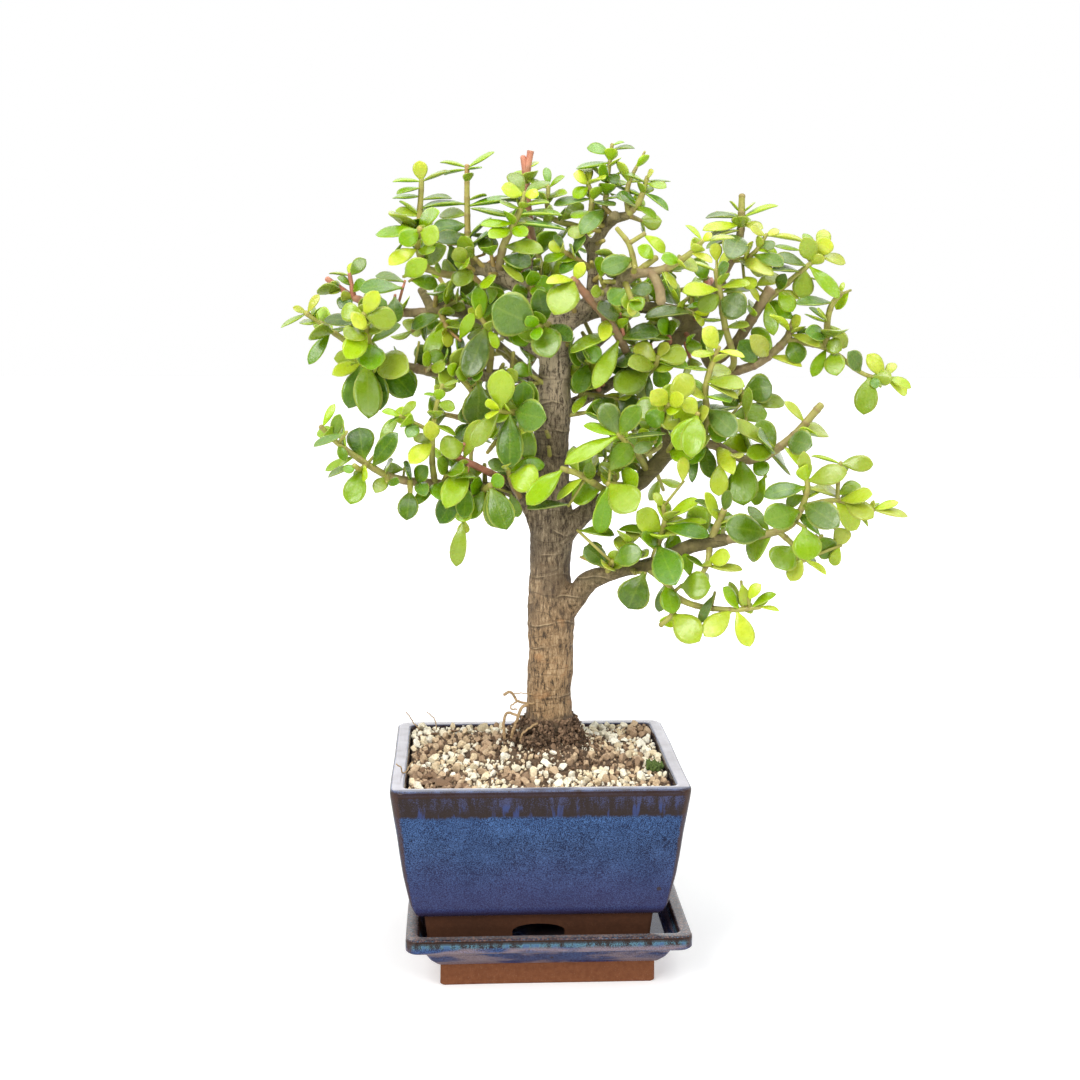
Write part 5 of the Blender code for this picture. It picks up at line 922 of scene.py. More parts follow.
def leaf_finish():
    """Waxy leaf: yellow when new, deep green when old, with a paler rim that is partly its own margin and
    partly a painted highlight, and a faint midrib.
    """
    leaf = Finish("leaf_skin", subsurface=0.10, subsurface_scale=0.002, specular=0.50)
    age, tint, edge, along, under = leaf.attributes("age", "tint", "edge", "along", "under")
    leaf.colour = leaf.ramp(age / 4, (0.0, (0.46, 0.54, 0.060)), (0.22, (0.260, 0.390, 0.030)),
                            (0.5, (0.118, 0.245, 0.006)), (0.75, (0.036, 0.092, 0.005)),
                            (1.0, (0.092, 0.180, 0.030)))
    cloud = leaf.noise(260.0, 3.0)
    leaf.paint(leaf.step(cloud, 0.35, 0.75) * 0.25, (0.16, 0.28, 0.012))
    leaf.paint(leaf.step(along, 0.40, 0.0) * 0.35, (0.36, 0.50, 0.05))
    leaf.paint(leaf.step(leaf.noise(1500.0, 2.0), 0.52, 0.68) * 0.14, (0.36, 0.46, 0.11))
    # Paler rim: partly the leaf's own pale margin, partly a painted highlight where the edge catches the
    # light
    leaf.paint(leaf.step(edge, 0.80, 1.0) * 0.55, (0.53, 0.64, 0.14))
    leaf.paint(leaf.step(edge, 0.10, 0.0) * 0.12, (0.46, 0.58, 0.10))
    leaf.paint(under * 0.2, (0.22, 0.34, 0.07))
    shift = {"Hue": 0.484 + 0.022 * tint, "Saturation": 1.0 + 0.1 * tint, "Value": 0.78 + 0.4 * tint,
             "Color": leaf.colour}
    relief = leaf.noise(220.0, 2.0) + 0.2 * leaf.noise(2600.0, 2.0)
    return leaf.done(leaf.node("ShaderNodeHueSaturation", {}, shift, "Color"),
                     0.20 + 0.16 * leaf.noise(420.0), leaf.bump(relief, 0.0006, 0.5))


def stem_finish():
    """Skin of the young stems: pink and olive at the tips, brown and ringed where they are older."""
    stem = Finish("stem_skin", coat=0.05)
    wood, ring, blush, cut = stem.attributes("wood", "ring", "blush", "cut")
    olive = stem.mix(stem.noise(90.0, 2.0), (0.19, 0.19, 0.025), (0.42, 0.40, 0.08))
    pink = stem.mix(stem.noise(130.0, 2.0), (0.40, 0.11, 0.07), (0.56, 0.26, 0.15))
    green = stem.mix(stem.step(blush + 0.5 * (stem.noise(60.0, 2.0) - 0.5), 0.35, 0.75), olive, pink)
    bark = stem.mix(stem.noise(700.0, 3.0), (0.13, 0.10, 0.040), (0.36, 0.27, 0.13))
    stem.colour = stem.mix(stem.step(wood + 0.4 * stem.noise(200.0), 0.4, 1.0), green, bark)
    stem.paint(ring * 0.55, (0.19, 0.10, 0.05))
    stem.paint(cut, stem.mix(stem.noise(900.0), (0.52, 0.30, 0.20), (0.74, 0.55, 0.40)))
    fine = stem.noise(900.0, 3.0, stem.stretched(1.0, 1.0, 0.35))
    return stem.done(stem.colour, 0.5 + 0.25 * wood, stem.bump(fine + 0.8 * ring, 0.0004, 0.6))


def bark_finish():
    """Bark of the trunk: grey-brown, tan lower down, finely fissured, with ring cracks and a dark foot,
    painted shade on the mid trunk and painted light up in the crown.
    """
    bark = Finish("bark_skin")
    high = bark.axis("Z")
    young, root = bark.attributes("young", "root")
    grain = bark.noise(1.0, 5.0, bark.stretched(620.0, 620.0, 170.0), 0.8)
    ridge = bark.step(grain, 0.50, 0.64)
    fissure = bark.step(grain, 0.485, 0.415)
    level = bark.noise(1.0, 2.0, bark.stretched(22.0, 22.0, 75.0), 0.5)
    crack = bark.step(bark.sum("ABSOLUTE", level - 0.5, 0.0), 0.012, 0.003)
    scar = bark.sum("FRACT", 78.0 * high + 1.1 * bark.noise(38.0, 2.0), 0.0)
    broken = bark.step(bark.noise(90.0, 4.0), 0.47, 0.60)
    shine = bark.step(scar, 0.50, 0.53) * bark.step(scar, 0.58, 0.55) * broken
    shade = bark.step(scar, 0.38, 0.46) * bark.step(scar, 0.51, 0.49) * broken
    bands = bark.step(bark.noise(1.0, 3.0, bark.stretched(40.0, 40.0, 420.0), 0.6), 0.56, 0.66)
    cloud = bark.noise(80.0, 4.0)
    low = bark.step(high + 0.05 * (cloud - 0.5), 0.225, 0.165)
    # Painted light: the bark turns paler up in the crown, against the shadow that the crown casts on it
    painted_light_aloft = bark.step(high, 0.265, 0.32)
    grey = bark.mix(cloud, (0.085, 0.060, 0.030), (0.275, 0.205, 0.118))
    grey = bark.mix(painted_light_aloft, grey, bark.mix(cloud, (0.17, 0.13, 0.075), (0.58, 0.47, 0.31)))
    tan = bark.mix(cloud, (0.165, 0.095, 0.040), (0.42, 0.262, 0.122))
    bark.colour = bark.mix(low, grey, tan)
    bark.paint(ridge * 0.60, bark.mix(low, (0.53, 0.42, 0.27), (0.62, 0.46, 0.27)))
    bark.paint(fissure * 0.95, (0.045, 0.027, 0.013))
    bark.paint(bands * 0.25, (0.085, 0.052, 0.026))
    # Painted shade: a darker band on the mid trunk, where the lowest limbs branch off
    painted_shade_mid = bark.step(high, 0.165, 0.19) * bark.step(high, 0.24, 0.21)
    painted_shade_mid = painted_shade_mid * bark.step(bark.noise(60.0, 4.0), 0.38, 0.60)
    bark.paint(painted_shade_mid * 0.5, (0.085, 0.052, 0.027))
    patch = bark.step(bark.noise(70.0, 2.0, bark.stretched(1.0, 1.0, 1.6)), 0.58, 0.70)
    bark.paint(patch * 0.5 * low, (0.46, 0.24, 0.095))
    knot = bark.step(bark.cells(38.0), 0.13, 0.07)
    bark.paint(knot * 0.5, (0.52, 0.42, 0.28))
    bark.paint(crack * 0.4 * bark.step(cloud, 0.40, 0.55), (0.055, 0.034, 0.019))
    bark.paint(shade * 0.6, (0.050, 0.030, 0.015))
    bark.paint(shine * 0.36, (0.62, 0.48, 0.29))
    soft = bark.mix(bark.noise(300.0, 3.0), (0.10, 0.080, 0.026), (0.25, 0.21, 0.065))
    bark.paint(young * 0.85, soft)
    soil_line = bark.step(high + 0.014 * (bark.noise(160.0, 3.0) - 0.5), 0.1315, 0.127)
    dark = bark.mix(bark.noise(700.0, 3.0), (0.020, 0.012, 0.007), (0.17, 0.11, 0.06))
    bark.paint(soil_line * 0.95, dark)
    fibre = bark.mix(bark.noise(500.0, 3.0), (0.26, 0.15, 0.06), (0.60, 0.42, 0.22))
    bark.paint(root, fibre)
    height = 1.3 * grain + 0.3 * cloud - 0.3 * bands - 0.3 * crack - 0.3 * knot + 0.3 * shine - 0.3 * shade
    return bark.done(bark.colour, 0.70 + 0.2 * ridge, bark.bump(height, 0.0012, 0.9))


class Glaze(Finish):
    """Blue glaze over brown clay: a dark line and band under the lip, speckled blue below, then bare clay.

    Heights are in metres: the top of the dark band, how deep it is, where the glaze ends, and where it turns
    purple. lip_brown is how far the glaze has run off the lip, and the last setting how light the bare clay
    is painted: below 1 it is darkened as painted shade, as at the pot's foot under its wall.
    """

    def __init__(self, name, band_top, band_depth, base_line, purple_low, lip_brown, clay_light):
        super().__init__(name, specular=0.16)
        self.top = band_top
        self.depth = band_depth
        self.base_line = base_line
        self.purple_low = purple_low
        self.lip_brown = lip_brown
        self.clay_light = clay_light
        self.high = self.axis("Z")
        self.speck = self.noise(2000.0, 3.0, rough=0.7)
        self.cloud = self.noise(34.0, 3.0)
        self.patch = self.noise(110.0, 3.0)

    def under_lip(self, low, high):
        """A step by height, with both heights counted in band depths from the top of the band."""
        return self.step(self.high, self.top + low * self.depth, self.top + high * self.depth)

    def wall_colour(self):
        """Speckled blue, brightest under the band and purple low down, with rust where it has run thin."""
        speck, cloud = self.speck, self.cloud
        wall = self.mix(self.step(speck + 0.15 * (self.patch - 0.5), 0.42, 0.62), (0.004, 0.007, 0.026),
                        (0.052, 0.104, 0.240))
        wall = self.mix(self.step(self.cells(1100.0), 0.20, 0.05) * 0.5, wall, (0.010, 0.010, 0.025))
        bright = self.under_lip(-2.6, -1.0) * 0.35 * self.step(speck, 0.42, 0.60)
        wall = self.mix(bright, wall, (0.058, 0.160, 0.40))
        wall = self.mix(self.step(cloud, 0.40, 0.66) * 0.25, wall, (0.012, 0.026, 0.080))
        low = self.step(self.high + 0.02 * (cloud - 0.5), self.purple_low + 0.030, self.purple_low - 0.006)
        wall = self.mix(low * 0.6, wall, self.mix(speck, (0.010, 0.008, 0.030), (0.050, 0.042, 0.14)))
        rust = self.step(self.noise(1.0, 3.0, self.stretched(34.0, 34.0, 160.0)), 0.43, 0.58) * self.lip_brown
        wall = self.mix(rust * 0.8, wall, self.mix(speck, (0.060, 0.036, 0.034), (0.40, 0.29, 0.27)))
        spot = self.step(self.cells(52.0), 0.075, 0.045)
        return self.mix(spot * 0.85, wall, (0.03, 0.018, 0.016))

    def banded(self, wall):
        """The wall with a dark band over its top, which has a torn lower edge and blue runs."""
        drip = self.noise(1.0, 3.0, self.stretched(260.0, 260.0, 45.0), 0.6)
        torn = self.noise(1.0, 4.0, self.stretched(240.0, 240.0, 50.0), 0.65)
        ragged = self.high + 0.35 * self.depth * (torn - 0.5)
        band = self.step(ragged, self.top - self.depth - 0.0008, self.top - self.depth + 0.0012)
        shelf = (1.0 - self.lip_brown) * self.under_lip(-0.95, -0.2)
        shelf = shelf + self.lip_brown * self.under_lip(-0.2, -0.5)
        haze = self.step(self.speck + 0.8 * (drip - 0.5) + 0.07 * self.lip_brown, 0.46, 0.64) * shelf
        hazy = self.mix(self.lip_brown, (0.052, 0.062, 0.140), (0.110, 0.28, 0.36))
        brown = self.mix(self.speck, (0.006, 0.004, 0.004), (0.040, 0.026, 0.022))
        brown = self.mix(haze * 0.8, brown, hazy)
        runs = self.step(drip, 0.53, 0.64) * self.under_lip(-0.25, -0.55)
        brown = self.mix(runs * 0.6, brown, (0.030, 0.055, 0.18))
        return self.mix(band, wall, brown)

    def lip_colour(self):
        """Dark blue with a pale top that is a painted reflection, faint at the front, or speckled rust where
        the glaze has run off.
        """
        up = self.axis("Z", self.node("ShaderNodeNewGeometry", out="Normal"))
        lip = self.mix(self.step(self.speck + 0.5 * (self.patch - 0.5), 0.38, 0.62), (0.030, 0.026, 0.040),
                       (0.085, 0.125, 0.26))
        # Painted reflection: upward faces of the lip are painted pale, much less on its front
        pale = 0.15 + 0.85 * self.step(self.axis("Y"), -0.0595, -0.0572)
        lip = self.mix(self.step(up, 0.88, 0.985) * (0.50 + 0.5 * self.patch) * pale, lip, (0.55, 0.53, 0.57))
        grainy = self.step(self.noise(900.0, 4.0, rough=0.75), 0.46, 0.62)
        rusty = self.mix(self.patch, (0.060, 0.028, 0.018), (0.30, 0.15, 0.080))
        rusty = self.mix(grainy, (0.004, 0.003, 0.003), rusty)
        rusty = self.mix(self.step(self.cells(520.0), 0.32, 0.18) * 0.6, rusty, (0.060, 0.150, 0.210))
        return self.mix(self.lip_brown, lip, rusty)

    def clay_colour(self):
        clay = self.mix(self.noise(420.0, 4.0), (0.110, 0.036, 0.015), (0.23, 0.085, 0.036))
        clay = self.mix(self.step(self.noise(1800.0, 2.0), 0.6, 0.75) * 0.5, clay, (0.34, 0.18, 0.11))
        # Painted shade: the clay is darkened by how far the last setting falls below 1, which darkens the
        # pot's foot under its overhanging wall
        return self.mix((1.0 - self.clay_light) * (0.8 + 0.5 * self.cloud), clay, (0.022, 0.011, 0.007))

    def built(self):
        """Lays the colours over each other, sets gloss and relief, and returns the material."""
        self.colour = self.banded(self.wall_colour())
        above = self.step(self.high + 0.0006 * (self.patch - 0.5), self.top - 0.0002, self.top + 0.0005)
        self.paint(above, self.lip_colour())
        line = self.under_lip(0.23, 0.16) * self.under_lip(-0.09, -0.02)
        self.paint(line * 0.9, (0.028, 0.014, 0.009))
        # Darker purple-brown on the wall just above where the glaze ends
        darker_above_glaze_end = self.step(self.high, self.base_line + 0.0050, self.base_line + 0.0015)
        self.paint(darker_above_glaze_end * (1.0 - self.lip_brown) * 0.7, (0.018, 0.009, 0.015))
        worn = self.step(self.attributes("worn")[0] + 0.5 * (self.noise(300.0, 3.0) - 0.5), 0.55, 0.95)
        thin = self.mix(self.speck, (0.020, 0.011, 0.009), (0.085, 0.045, 0.034))
        self.paint(worn * 0.8, thin)
        edge = self.high + 0.0012 * (self.patch - 0.5)
        bare = self.step(edge, self.base_line + 0.0002, self.base_line - 0.0002)
        self.paint(bare, self.clay_colour())
        gloss = 0.10 + 0.08 * self.cloud + 0.10 * worn
        ripple = self.bump(self.noise(150.0, 2.0), 0.0005, 0.2)
        pits = self.step(self.cells(420.0), 0.10, 0.03)
        rough = self.speck * 0.2 - pits * 0.5 + bare * self.noise(1600.0, 3.0)
        return self.done(self.colour, gloss * (1 - bare) + 0.85 * bare, self.bump(rough, 0.0002, 0.4, ripple))


def grit_finish():
    """Pumice and lava grit: cream, tan, brown and grey grains, each with its own shade."""
    grit = Finish("grit_grains")
    speck = grit.noise(1500.0, 3.0)
    grit.colour = grit.ramp(*grit.attributes("shade"), (0.0, (0.055, 0.032, 0.018)),
                            (0.16, (0.20, 0.120, 0.068)), (0.36, (0.55, 0.385, 0.245)),
                            (0.55, (0.80, 0.63, 0.40)), (0.75, (0.95, 0.84, 0.59)), (1.0, (0.98, 0.94, 0.79)))
    darker = grit.mix(0.6, grit.colour, (0.10, 0.055, 0.025))
    grit.paint(grit.step(speck, 0.42, 0.70) * 0.45, darker)
    grit.paint(grit.step(grit.cells(800.0), 0.22, 0.05) * 0.35, (0.13, 0.075, 0.04))
    return grit.done(grit.colour, 0.85 + 0.1 * speck, grit.bump(grit.noise(1100.0, 4.0), 0.0008, 0.8))


def crumbly_finish(name, dark, pale, fine, lumps, detail, rough, spread):
    """A matt finish between two colours, for the peat between the grains and for moss."""
    crumbly = Finish(name)
    return crumbly.done(crumbly.mix(crumbly.noise(fine, detail), dark, pale),
                        rough + spread * crumbly.noise(900.0),
                        crumbly.bump(crumbly.noise(lumps, detail), 0.001, 1.0))


class Heap:
    """Points and faces of one piece as it is put together, with numbers kept at each point."""

    def __init__(self, *names):
        self.verts = []
        self.faces = []
        self.values = {name: [] for name in names}

    def add(self, verts, faces, **values):
        start = len(self.verts)
        self.verts.extend(verts)
        self.faces.extend(tuple(start + k for k in face) for face in faces)
        for name, held in self.values.items():
            value = values.get(name, 0.0)
            held.extend(value if isinstance(value, list) else [value] * len(verts))

    def object(self, name, *mats, smooth=True):
        obj = solid(name, self.verts, self.faces)
        for mat in mats:
            obj.data.materials.append(mat)
        for key, held in self.values.items():
            store(obj.data, key, held)
        if smooth:
            obj.data.shade_smooth()
        return obj


def placed(name, data):
    """A new object in the scene."""
    obj = bpy.data.objects.new(name, data)
    bpy.context.scene.collection.objects.link(obj)
    return obj


def solid(name, verts, faces, mat=None):
    """An object from points in millimetres."""
    mesh = bpy.data.meshes.new(name)
    mesh.from_pydata([tuple(Vector(v) * MM) for v in verts], [], faces)
    if mat:
        mesh.materials.append(mat)
    return placed(name, mesh)


def store(mesh, name, held, kind="FLOAT"):
    """Keeps one number or one vector for each point of a mesh."""
    layer = mesh.attributes.new(name, kind, "POINT")
    if kind == "FLOAT_VECTOR":
        layer.data.foreach_set("vector", [number for vector in held for number in vector])
    else:
        layer.data.foreach_set("value", held)


def drop(obj):
    mesh = obj.data
    bpy.data.objects.remove(obj)
    bpy.data.meshes.remove(mesh)


def baked(obj):
    """Turns an object and its modifiers into a plain mesh."""
    graph = bpy.context.evaluated_depsgraph_get()
    made = obj.evaluated_get(graph)
    mesh = bpy.data.meshes.new_from_object(made, preserve_all_data_layers=True, depsgraph=graph)
    obj.modifiers.clear()
    old = obj.data
    obj.data = mesh
    mesh.name = obj.name
    bpy.data.meshes.remove(old)
    return obj


def joined(host, others):
    with bpy.context.temp_override(active_object=host, object=host, selected_objects=[host] + others,
                                   selected_editable_objects=[host] + others):
        bpy.ops.object.join()
    return host


def bend(points, index, t):
    """A place on the smooth line through the points, a part t along its stretch index."""
    a, b = points[index], points[index + 1]
    run = b - a
    before = a - points[index - 1] if index > 0 else run
    after = points[index + 2] - b if index + 2 < len(points) else run
    leave = (before.normalized() + run.normalized()).normalized() * run.length
    arrive = (run.normalized() + after.normalized()).normalized() * run.length
    t2, t3 = t * t, t * t * t
    return a * (2 * t3 - 3 * t2 + 1) + leave * (t3 - 2 * t2 + t) + b * (3 * t2 - 2 * t3) + arrive * (t3 - t2)


def smooth_line(points, radii, step):
    """Points every step or so on the smooth line, each with its radius."""
    line, thick = [], []
    for i in range(len(points) - 1):
        count = max(1, round((points[i + 1] - points[i]).length / step))
        for k in range(count):
            line.append(bend(points, i, k / count))
            thick.append(radii[i] + (radii[i + 1] - radii[i]) * k / count)
    line.append(points[-1].copy())
    thick.append(radii[-1])
    return line, thick


def node_marks(line, spacing, phase, half):
    """How near each point of a line is to one of its nodes, from 0 to 1."""
    marks, walked = [], phase
    for i, point in enumerate(line):
        if i:
            walked += (point - line[i - 1]).length
        marks.append(max(0.0, 1.0 - abs(walked % spacing - spacing / 2) / half))
    return marks


def round_ended(line, thick, count, cap=0.6):
    """A tube with a domed far end; returns its points, faces, and each point's ring number."""
    along, sides = frames(line)
    verts, rows = [], []
    rings = list(zip(line, along, sides, thick))
    point, direction, side, radius = rings[-1]
    for lift, share in ((0.55, 0.85), (0.9, 0.5)):
        rings.append((point + direction * radius * cap * lift, direction, side, radius * share))
    for row, ring in enumerate(rings):
        verts.extend(ring_at(*ring, count))
        rows.extend([row] * count)
    faces = ring_faces(len(rings), count, False)
    last = (len(rings) - 1) * count
    verts.append(rings[-1][0] + along[-1] * thick[-1] * cap * 0.12)
    rows.append(len(rings) - 1)
    faces.extend((last + k, last + (k + 1) % count, last + count) for k in range(count))
    return verts, faces, rows


# Half width of a leaf along its length, as a share of its widest
LEAF_OUTLINE = [(0.0, 0.13), (0.13, 0.21), (0.28, 0.56), (0.44, 0.85), (0.60, 0.99), (0.74, 0.97),
                (0.85, 0.83), (0.93, 0.61), (0.98, 0.35)]
LEAF_FORMS = 6
LEAF_THICK = 0.085


def leaf_form(number, arch, cup, twist, point):
    """A unit leaf along +Y that faces +Z, as wide as it is long, with a lens section."""
    heap = Heap("edge", "along", "under")
    turns = [2 * math.pi * k / 8 for k in range(8)]
    edge = [abs(math.cos(turn)) for turn in turns]
    under = [1.0 if math.sin(turn) < -0.1 else 0.0 for turn in turns]
    for t, wide in LEAF_OUTLINE:
        thick = LEAF_THICK * (0.55 + 0.6 * math.sin(math.pi * min(t + 0.15, 1.0))) * (0.35 + 0.65 * wide)
        ring = []
        for turn in turns:
            across = math.cos(turn)
            x = 0.5 * wide * across
            z = thick * math.sin(turn) + arch * 4 * t * (1 - t) + cup * across * across * wide
            z += math.tan(twist) * x * t
            ring.append(Vector((x, t * (1 - 0.03 * (1 - point)), z)) / MM)
        heap.add(ring, [], edge=edge, along=t, under=under)
    heap.add([Vector((0, 1.0 + 0.03 * point, 0.0)) / MM], [], edge=1.0, along=1.0)
    tip = 8 * len(LEAF_OUTLINE)
    sides = ring_faces(len(LEAF_OUTLINE), 8, False)[1:]
    heap.faces = [tuple(range(8))] + [(a, d, c, b) for a, b, c, d in sides]
    heap.faces += [(tip - 8 + (k + 1) % 8, tip - 8 + k, tip) for k in range(8)]
    return heap.object(f"leaf_form_{number}")


def leaf_forms():
    """The few shapes that every leaf is one of, in a collection of their own."""
    group = bpy.data.collections.new("leaf_forms")
    draw = random.Random(SEED + 2)
    for number in range(LEAF_FORMS):
        form = leaf_form(number, draw.uniform(0.0, 0.10), draw.uniform(0.02, 0.13), draw.uniform(-0.22, 0.22),
                         draw.uniform(0, 1))
        bpy.context.scene.collection.objects.unlink(form)
        group.objects.link(form)
    return group


def repeat_tree(name, picks, mat):
    """Puts one of a collection's shapes at each point, by the point's own turn, size and choice."""
    group = bpy.data.node_groups.new(name, "GeometryNodeTree")
    group.interface.new_socket("Geometry", in_out="INPUT", socket_type="NodeSocketGeometry")
    size_input = group.interface.new_socket("Size", in_out="INPUT", socket_type="NodeSocketFloat")
    group.interface.new_socket("Geometry", in_out="OUTPUT", socket_type="NodeSocketGeometry")
    tree = Tree(group)
    entry = group.nodes.new("NodeGroupInput")
    points = Sock(tree, entry.outputs["Geometry"])
    size = Sock(tree, entry.outputs["Size"])
    shapes = tree.node("GeometryNodeCollectionInfo", {}, {"Collection": picks, "Separate Children": True,
                                                          "Reset Children": True})
    turn, scale, choice = (
        tree.node("GeometryNodeInputNamedAttribute", {"data_type": kind}, {"Name": key})
        for key, kind in (("turn", "FLOAT_VECTOR"), ("size", "FLOAT_VECTOR"), ("form", "INT")))
    scaled = tree.node("ShaderNodeVectorMath", {"operation": "SCALE"}, {0: scale, "Scale": size})
    rotation = tree.node("FunctionNodeEulerToRotation", {}, {0: turn})
    placed = tree.node("GeometryNodeInstanceOnPoints", {}, {"Points": points, "Instance": shapes,
                                                            "Pick Instance": True, "Instance Index": choice,
                                                            "Rotation": rotation, "Scale": scaled})
    real = tree.node("GeometryNodeRealizeInstances", {}, {"Geometry": placed})
    done = tree.node("GeometryNodeSetMaterial", {}, {"Geometry": real, "Material": mat})
    leave = group.nodes.new("NodeGroupOutput")
    tree.feed(leave.inputs["Geometry"], done)
    return group, size_input.identifier


def repeated(name, spots, values, tree):
    """One mesh with a shape at each spot, which is a matrix in millimetres, a size and a form."""
    mesh = bpy.data.meshes.new(name)
    mesh.from_pydata([tuple(place.translation * MM) for place, size, form in spots], [], [])
    store(mesh, "turn", [place.to_euler() for place, size, form in spots], "FLOAT_VECTOR")
    store(mesh, "size", [tuple(Vector(size) * MM) for place, size, form in spots], "FLOAT_VECTOR")
    store(mesh, "form", [form for place, size, form in spots], "INT")
    for key, held in values.items():
        store(mesh, key, held)
    obj = placed(name, mesh)
    group, size_id = tree
    grower = obj.modifiers.new("repeat", "NODES")
    grower.node_group = group
    grower[size_id] = 1.0
    return baked(obj)


def settled(spray, base):
    """How far a leaf base must move to sit on the smoothed stem."""
    best = None
    for drawn, points, radii in spray.stems:
        for i in range(len(points) - 1):
            run = points[i + 1] - points[i]
            t = max(0.0, min(1.0, (base - points[i]).dot(run) / run.length_squared))
            away = (base - points[i].lerp(points[i + 1], t)).length
            if best is None or away < best[0]:
                best = (away, bend(points, i, t) - points[i].lerp(points[i + 1], t))
    return best[1] if best[0] < TWIG_WHEN_AWAY else Vector()


def stems_of(spray, mat, draw):
    """The stems of a spray, ringed at their nodes, with its twigs."""
    heap = Heap("wood", "ring", "tint", "cut", "blush")
    pruned = spray.name in PRUNED
    blush = 1.0 if spray.name in PINK else draw.uniform(0.0, 0.5)
    for number, (drawn, points, radii) in enumerate(spray.stems):
        line, thick = smooth_line(points, radii, 1.4)
        marks = node_marks(line, NODE_STEP, draw.uniform(0, NODE_STEP), 1.3)
        ringed = [radius * (1.0 + 0.13 * mark) for radius, mark in zip(thick, marks)]
        verts, faces, rows = round_ended(line, ringed, 10, 0.15 if pruned and number == 0 else 0.7)
        marks += [marks[-1]] * 2
        wood = [max(0.0, min(1.0, (thick[min(r, len(thick) - 1)] - 1.35) / 1.3)) for r in rows]
        cut = [1.0 if pruned and number == 0 and r >= len(line) else 0.0 for r in rows]
        ring = [marks[r] for r in rows]
        heap.add(verts, faces, wood=wood, ring=ring, tint=draw.random(), cut=cut, blush=blush)
    for verts, faces in spray.twigs:
        heap.add(verts, faces, wood=0.1, tint=draw.random(), blush=blush)
    return heap.object(spray.name + "_stems", mat)


def leaf_spots(spray, draw):
    """Where the leaves of a spray go, and the numbers that colour each."""
    spots, ages, tints = [], [], []
    # Painted light: leaves of the right-hand sprays are drawn younger, so paler, where that side of the crown
    # is brighter
    painted_light_right = 0.5 if "right" in spray.name else 0.0
    youngest = 2.0 if spray.name in SHADED else 0.0
    for place, length, width, age in spray.blades:
        base = place.translation.copy()
        moved = Matrix.Translation(settled(spray, base)) @ place
        roll = Matrix.Rotation(draw.uniform(-0.12, 0.12), 4, "Y")
        mean = 0.5 * (width + length)
        spots.append((moved @ roll, (width * 1.12, length * 1.05, mean * draw.uniform(0.9, 1.15)),
                      draw.randrange(LEAF_FORMS)))
        ages.append(max(youngest, min(4.0, age + (draw.uniform(-0.4, 0.4) - painted_light_right if age < 4 else 0.0))))
        tints.append(draw.random())
    return spots, {"age": ages, "tint": tints}


def make_spray(spray, forms_tree, stem_mat, draw):
    spots, values = leaf_spots(spray, draw)
    name = f"spray_{spray.name}"
    leaves = repeated(name + "_leaves", spots, values, forms_tree)
    piece = joined(stems_of(spray, stem_mat, draw), [leaves])
    piece.name = piece.data.name = name + "_look"
    finished(piece, name)


# Sprays with pink stems, with a cut first stem, and with no young leaves
PINK = {"red_stem", "middle_pruned", "left_upper", "left_red"}
PRUNED = {"middle_pruned", "right_pruned", "upper_right", "low_right_stub"}
SHADED = {"trunk_top", "left_front"}

# How much fuller a limb looks than its drawn radius
LIMB_PLUMP = {"trunk": 1.035, "low_right": 1.22}
# Between two nodes, how much a node swells, and how many sides
TRUNK_NODES = (15.0, 0.018, 24)
LIMB_NODES = (10.0, 0.05, 12)
BARK_VOXEL = 1.05
# Roots that show above the grit, written as stems are
ROOTS = """
    3.4,1.2 3,124,-6 -4,119,-9 -10,112,-9 -15,105,-8
    3.4,1.4 12,124,-5 19,117,-6 24,110,-6 28,104,-5
    3.4,1.4 14,122,6 20,115,12 26,106,16
    3.2,1.4 2,122,6 -6,115,12 -12,106,18"""
# Bare rootlets at the trunk's left, then the stray hairs on the grit and over the rim
ROOTLETS = """
    0.8,0.6 -17,137.5,-12 -14.5,139,-12 -12,138,-11 -10,134.5,-10 -5,133,-9 -1,133,-9
    0.3,0.25 -12,138,-11 -8,138.5,-11 -1,138,-10
    0.9,0.8 -4,133,-9 -7.5,130,-11 -9,126,-12 -11,121,-12 -13,114,-12
    0.5,0.4 -9.5,134,-10 -12,132.5,-11 -13.5,130.5,-11 -10,129.5,-12
    0.7,0.8 -9,126,-12 -15,127.5,-9 -17,123,-9 -16.5,114,-10
    0.6,0.6 1,122,-14 -3,119.5,-15 -7,116,-16 -8,112,-16
    0.35,0.25 -62,118,26 -66,123,26 -69,128,25
    0.35,0.25 -53,118,26 -54,124,26 -58,128,26
    0.4,0.3 -66,100,-40 -71,94,-44 -72,97,-45 -75,99,-46"""


def root_lines(text, step):
    """The smooth line of each root and its radius all along."""
    for drawn, first, last in drawn_growth(text)[0]:
        yield smooth_line([seen(*p) for p in drawn], spread_radii(first, last, len(drawn)), step)


def grown_wood(mat):
    """The limbs and roots grown into one skin, and the trunk's own line."""
    heap = Heap()
    trunk_line = None
    for limb, (drawn, radii) in LIMBS.items():
        points = [seen(*p, LIMB_SWING.get(limb, 0.0)) for p in drawn]
        line, thick = smooth_line(points, radii, 2.0)
        if limb == "trunk":
            trunk_line = line
        spacing, swell, count = TRUNK_NODES if limb == "trunk" else LIMB_NODES
        marks = node_marks(line, spacing, 0.0, 2.0)
        ringed = [radius * (LIMB_PLUMP.get(limb, 1.03) + swell * mark) for radius, mark in zip(thick, marks)]
        heap.add(*round_ended(line, ringed, count, 0.3)[:2])
    for line, thick in root_lines(ROOTS, 1.5):
        heap.add(*round_ended(line, thick, 10)[:2])
    trunk = heap.object("trunk_look", mat)
    shell = trunk.modifiers.new("shell", "REMESH")
    shell.mode = "VOXEL"
    shell.voxel_size = BARK_VOXEL * MM
    shell.use_smooth_shade = True
    soften = trunk.modifiers.new("soften", "SMOOTH")
    soften.factor = 0.5
    soften.iterations = 3
    return baked(trunk), trunk_line


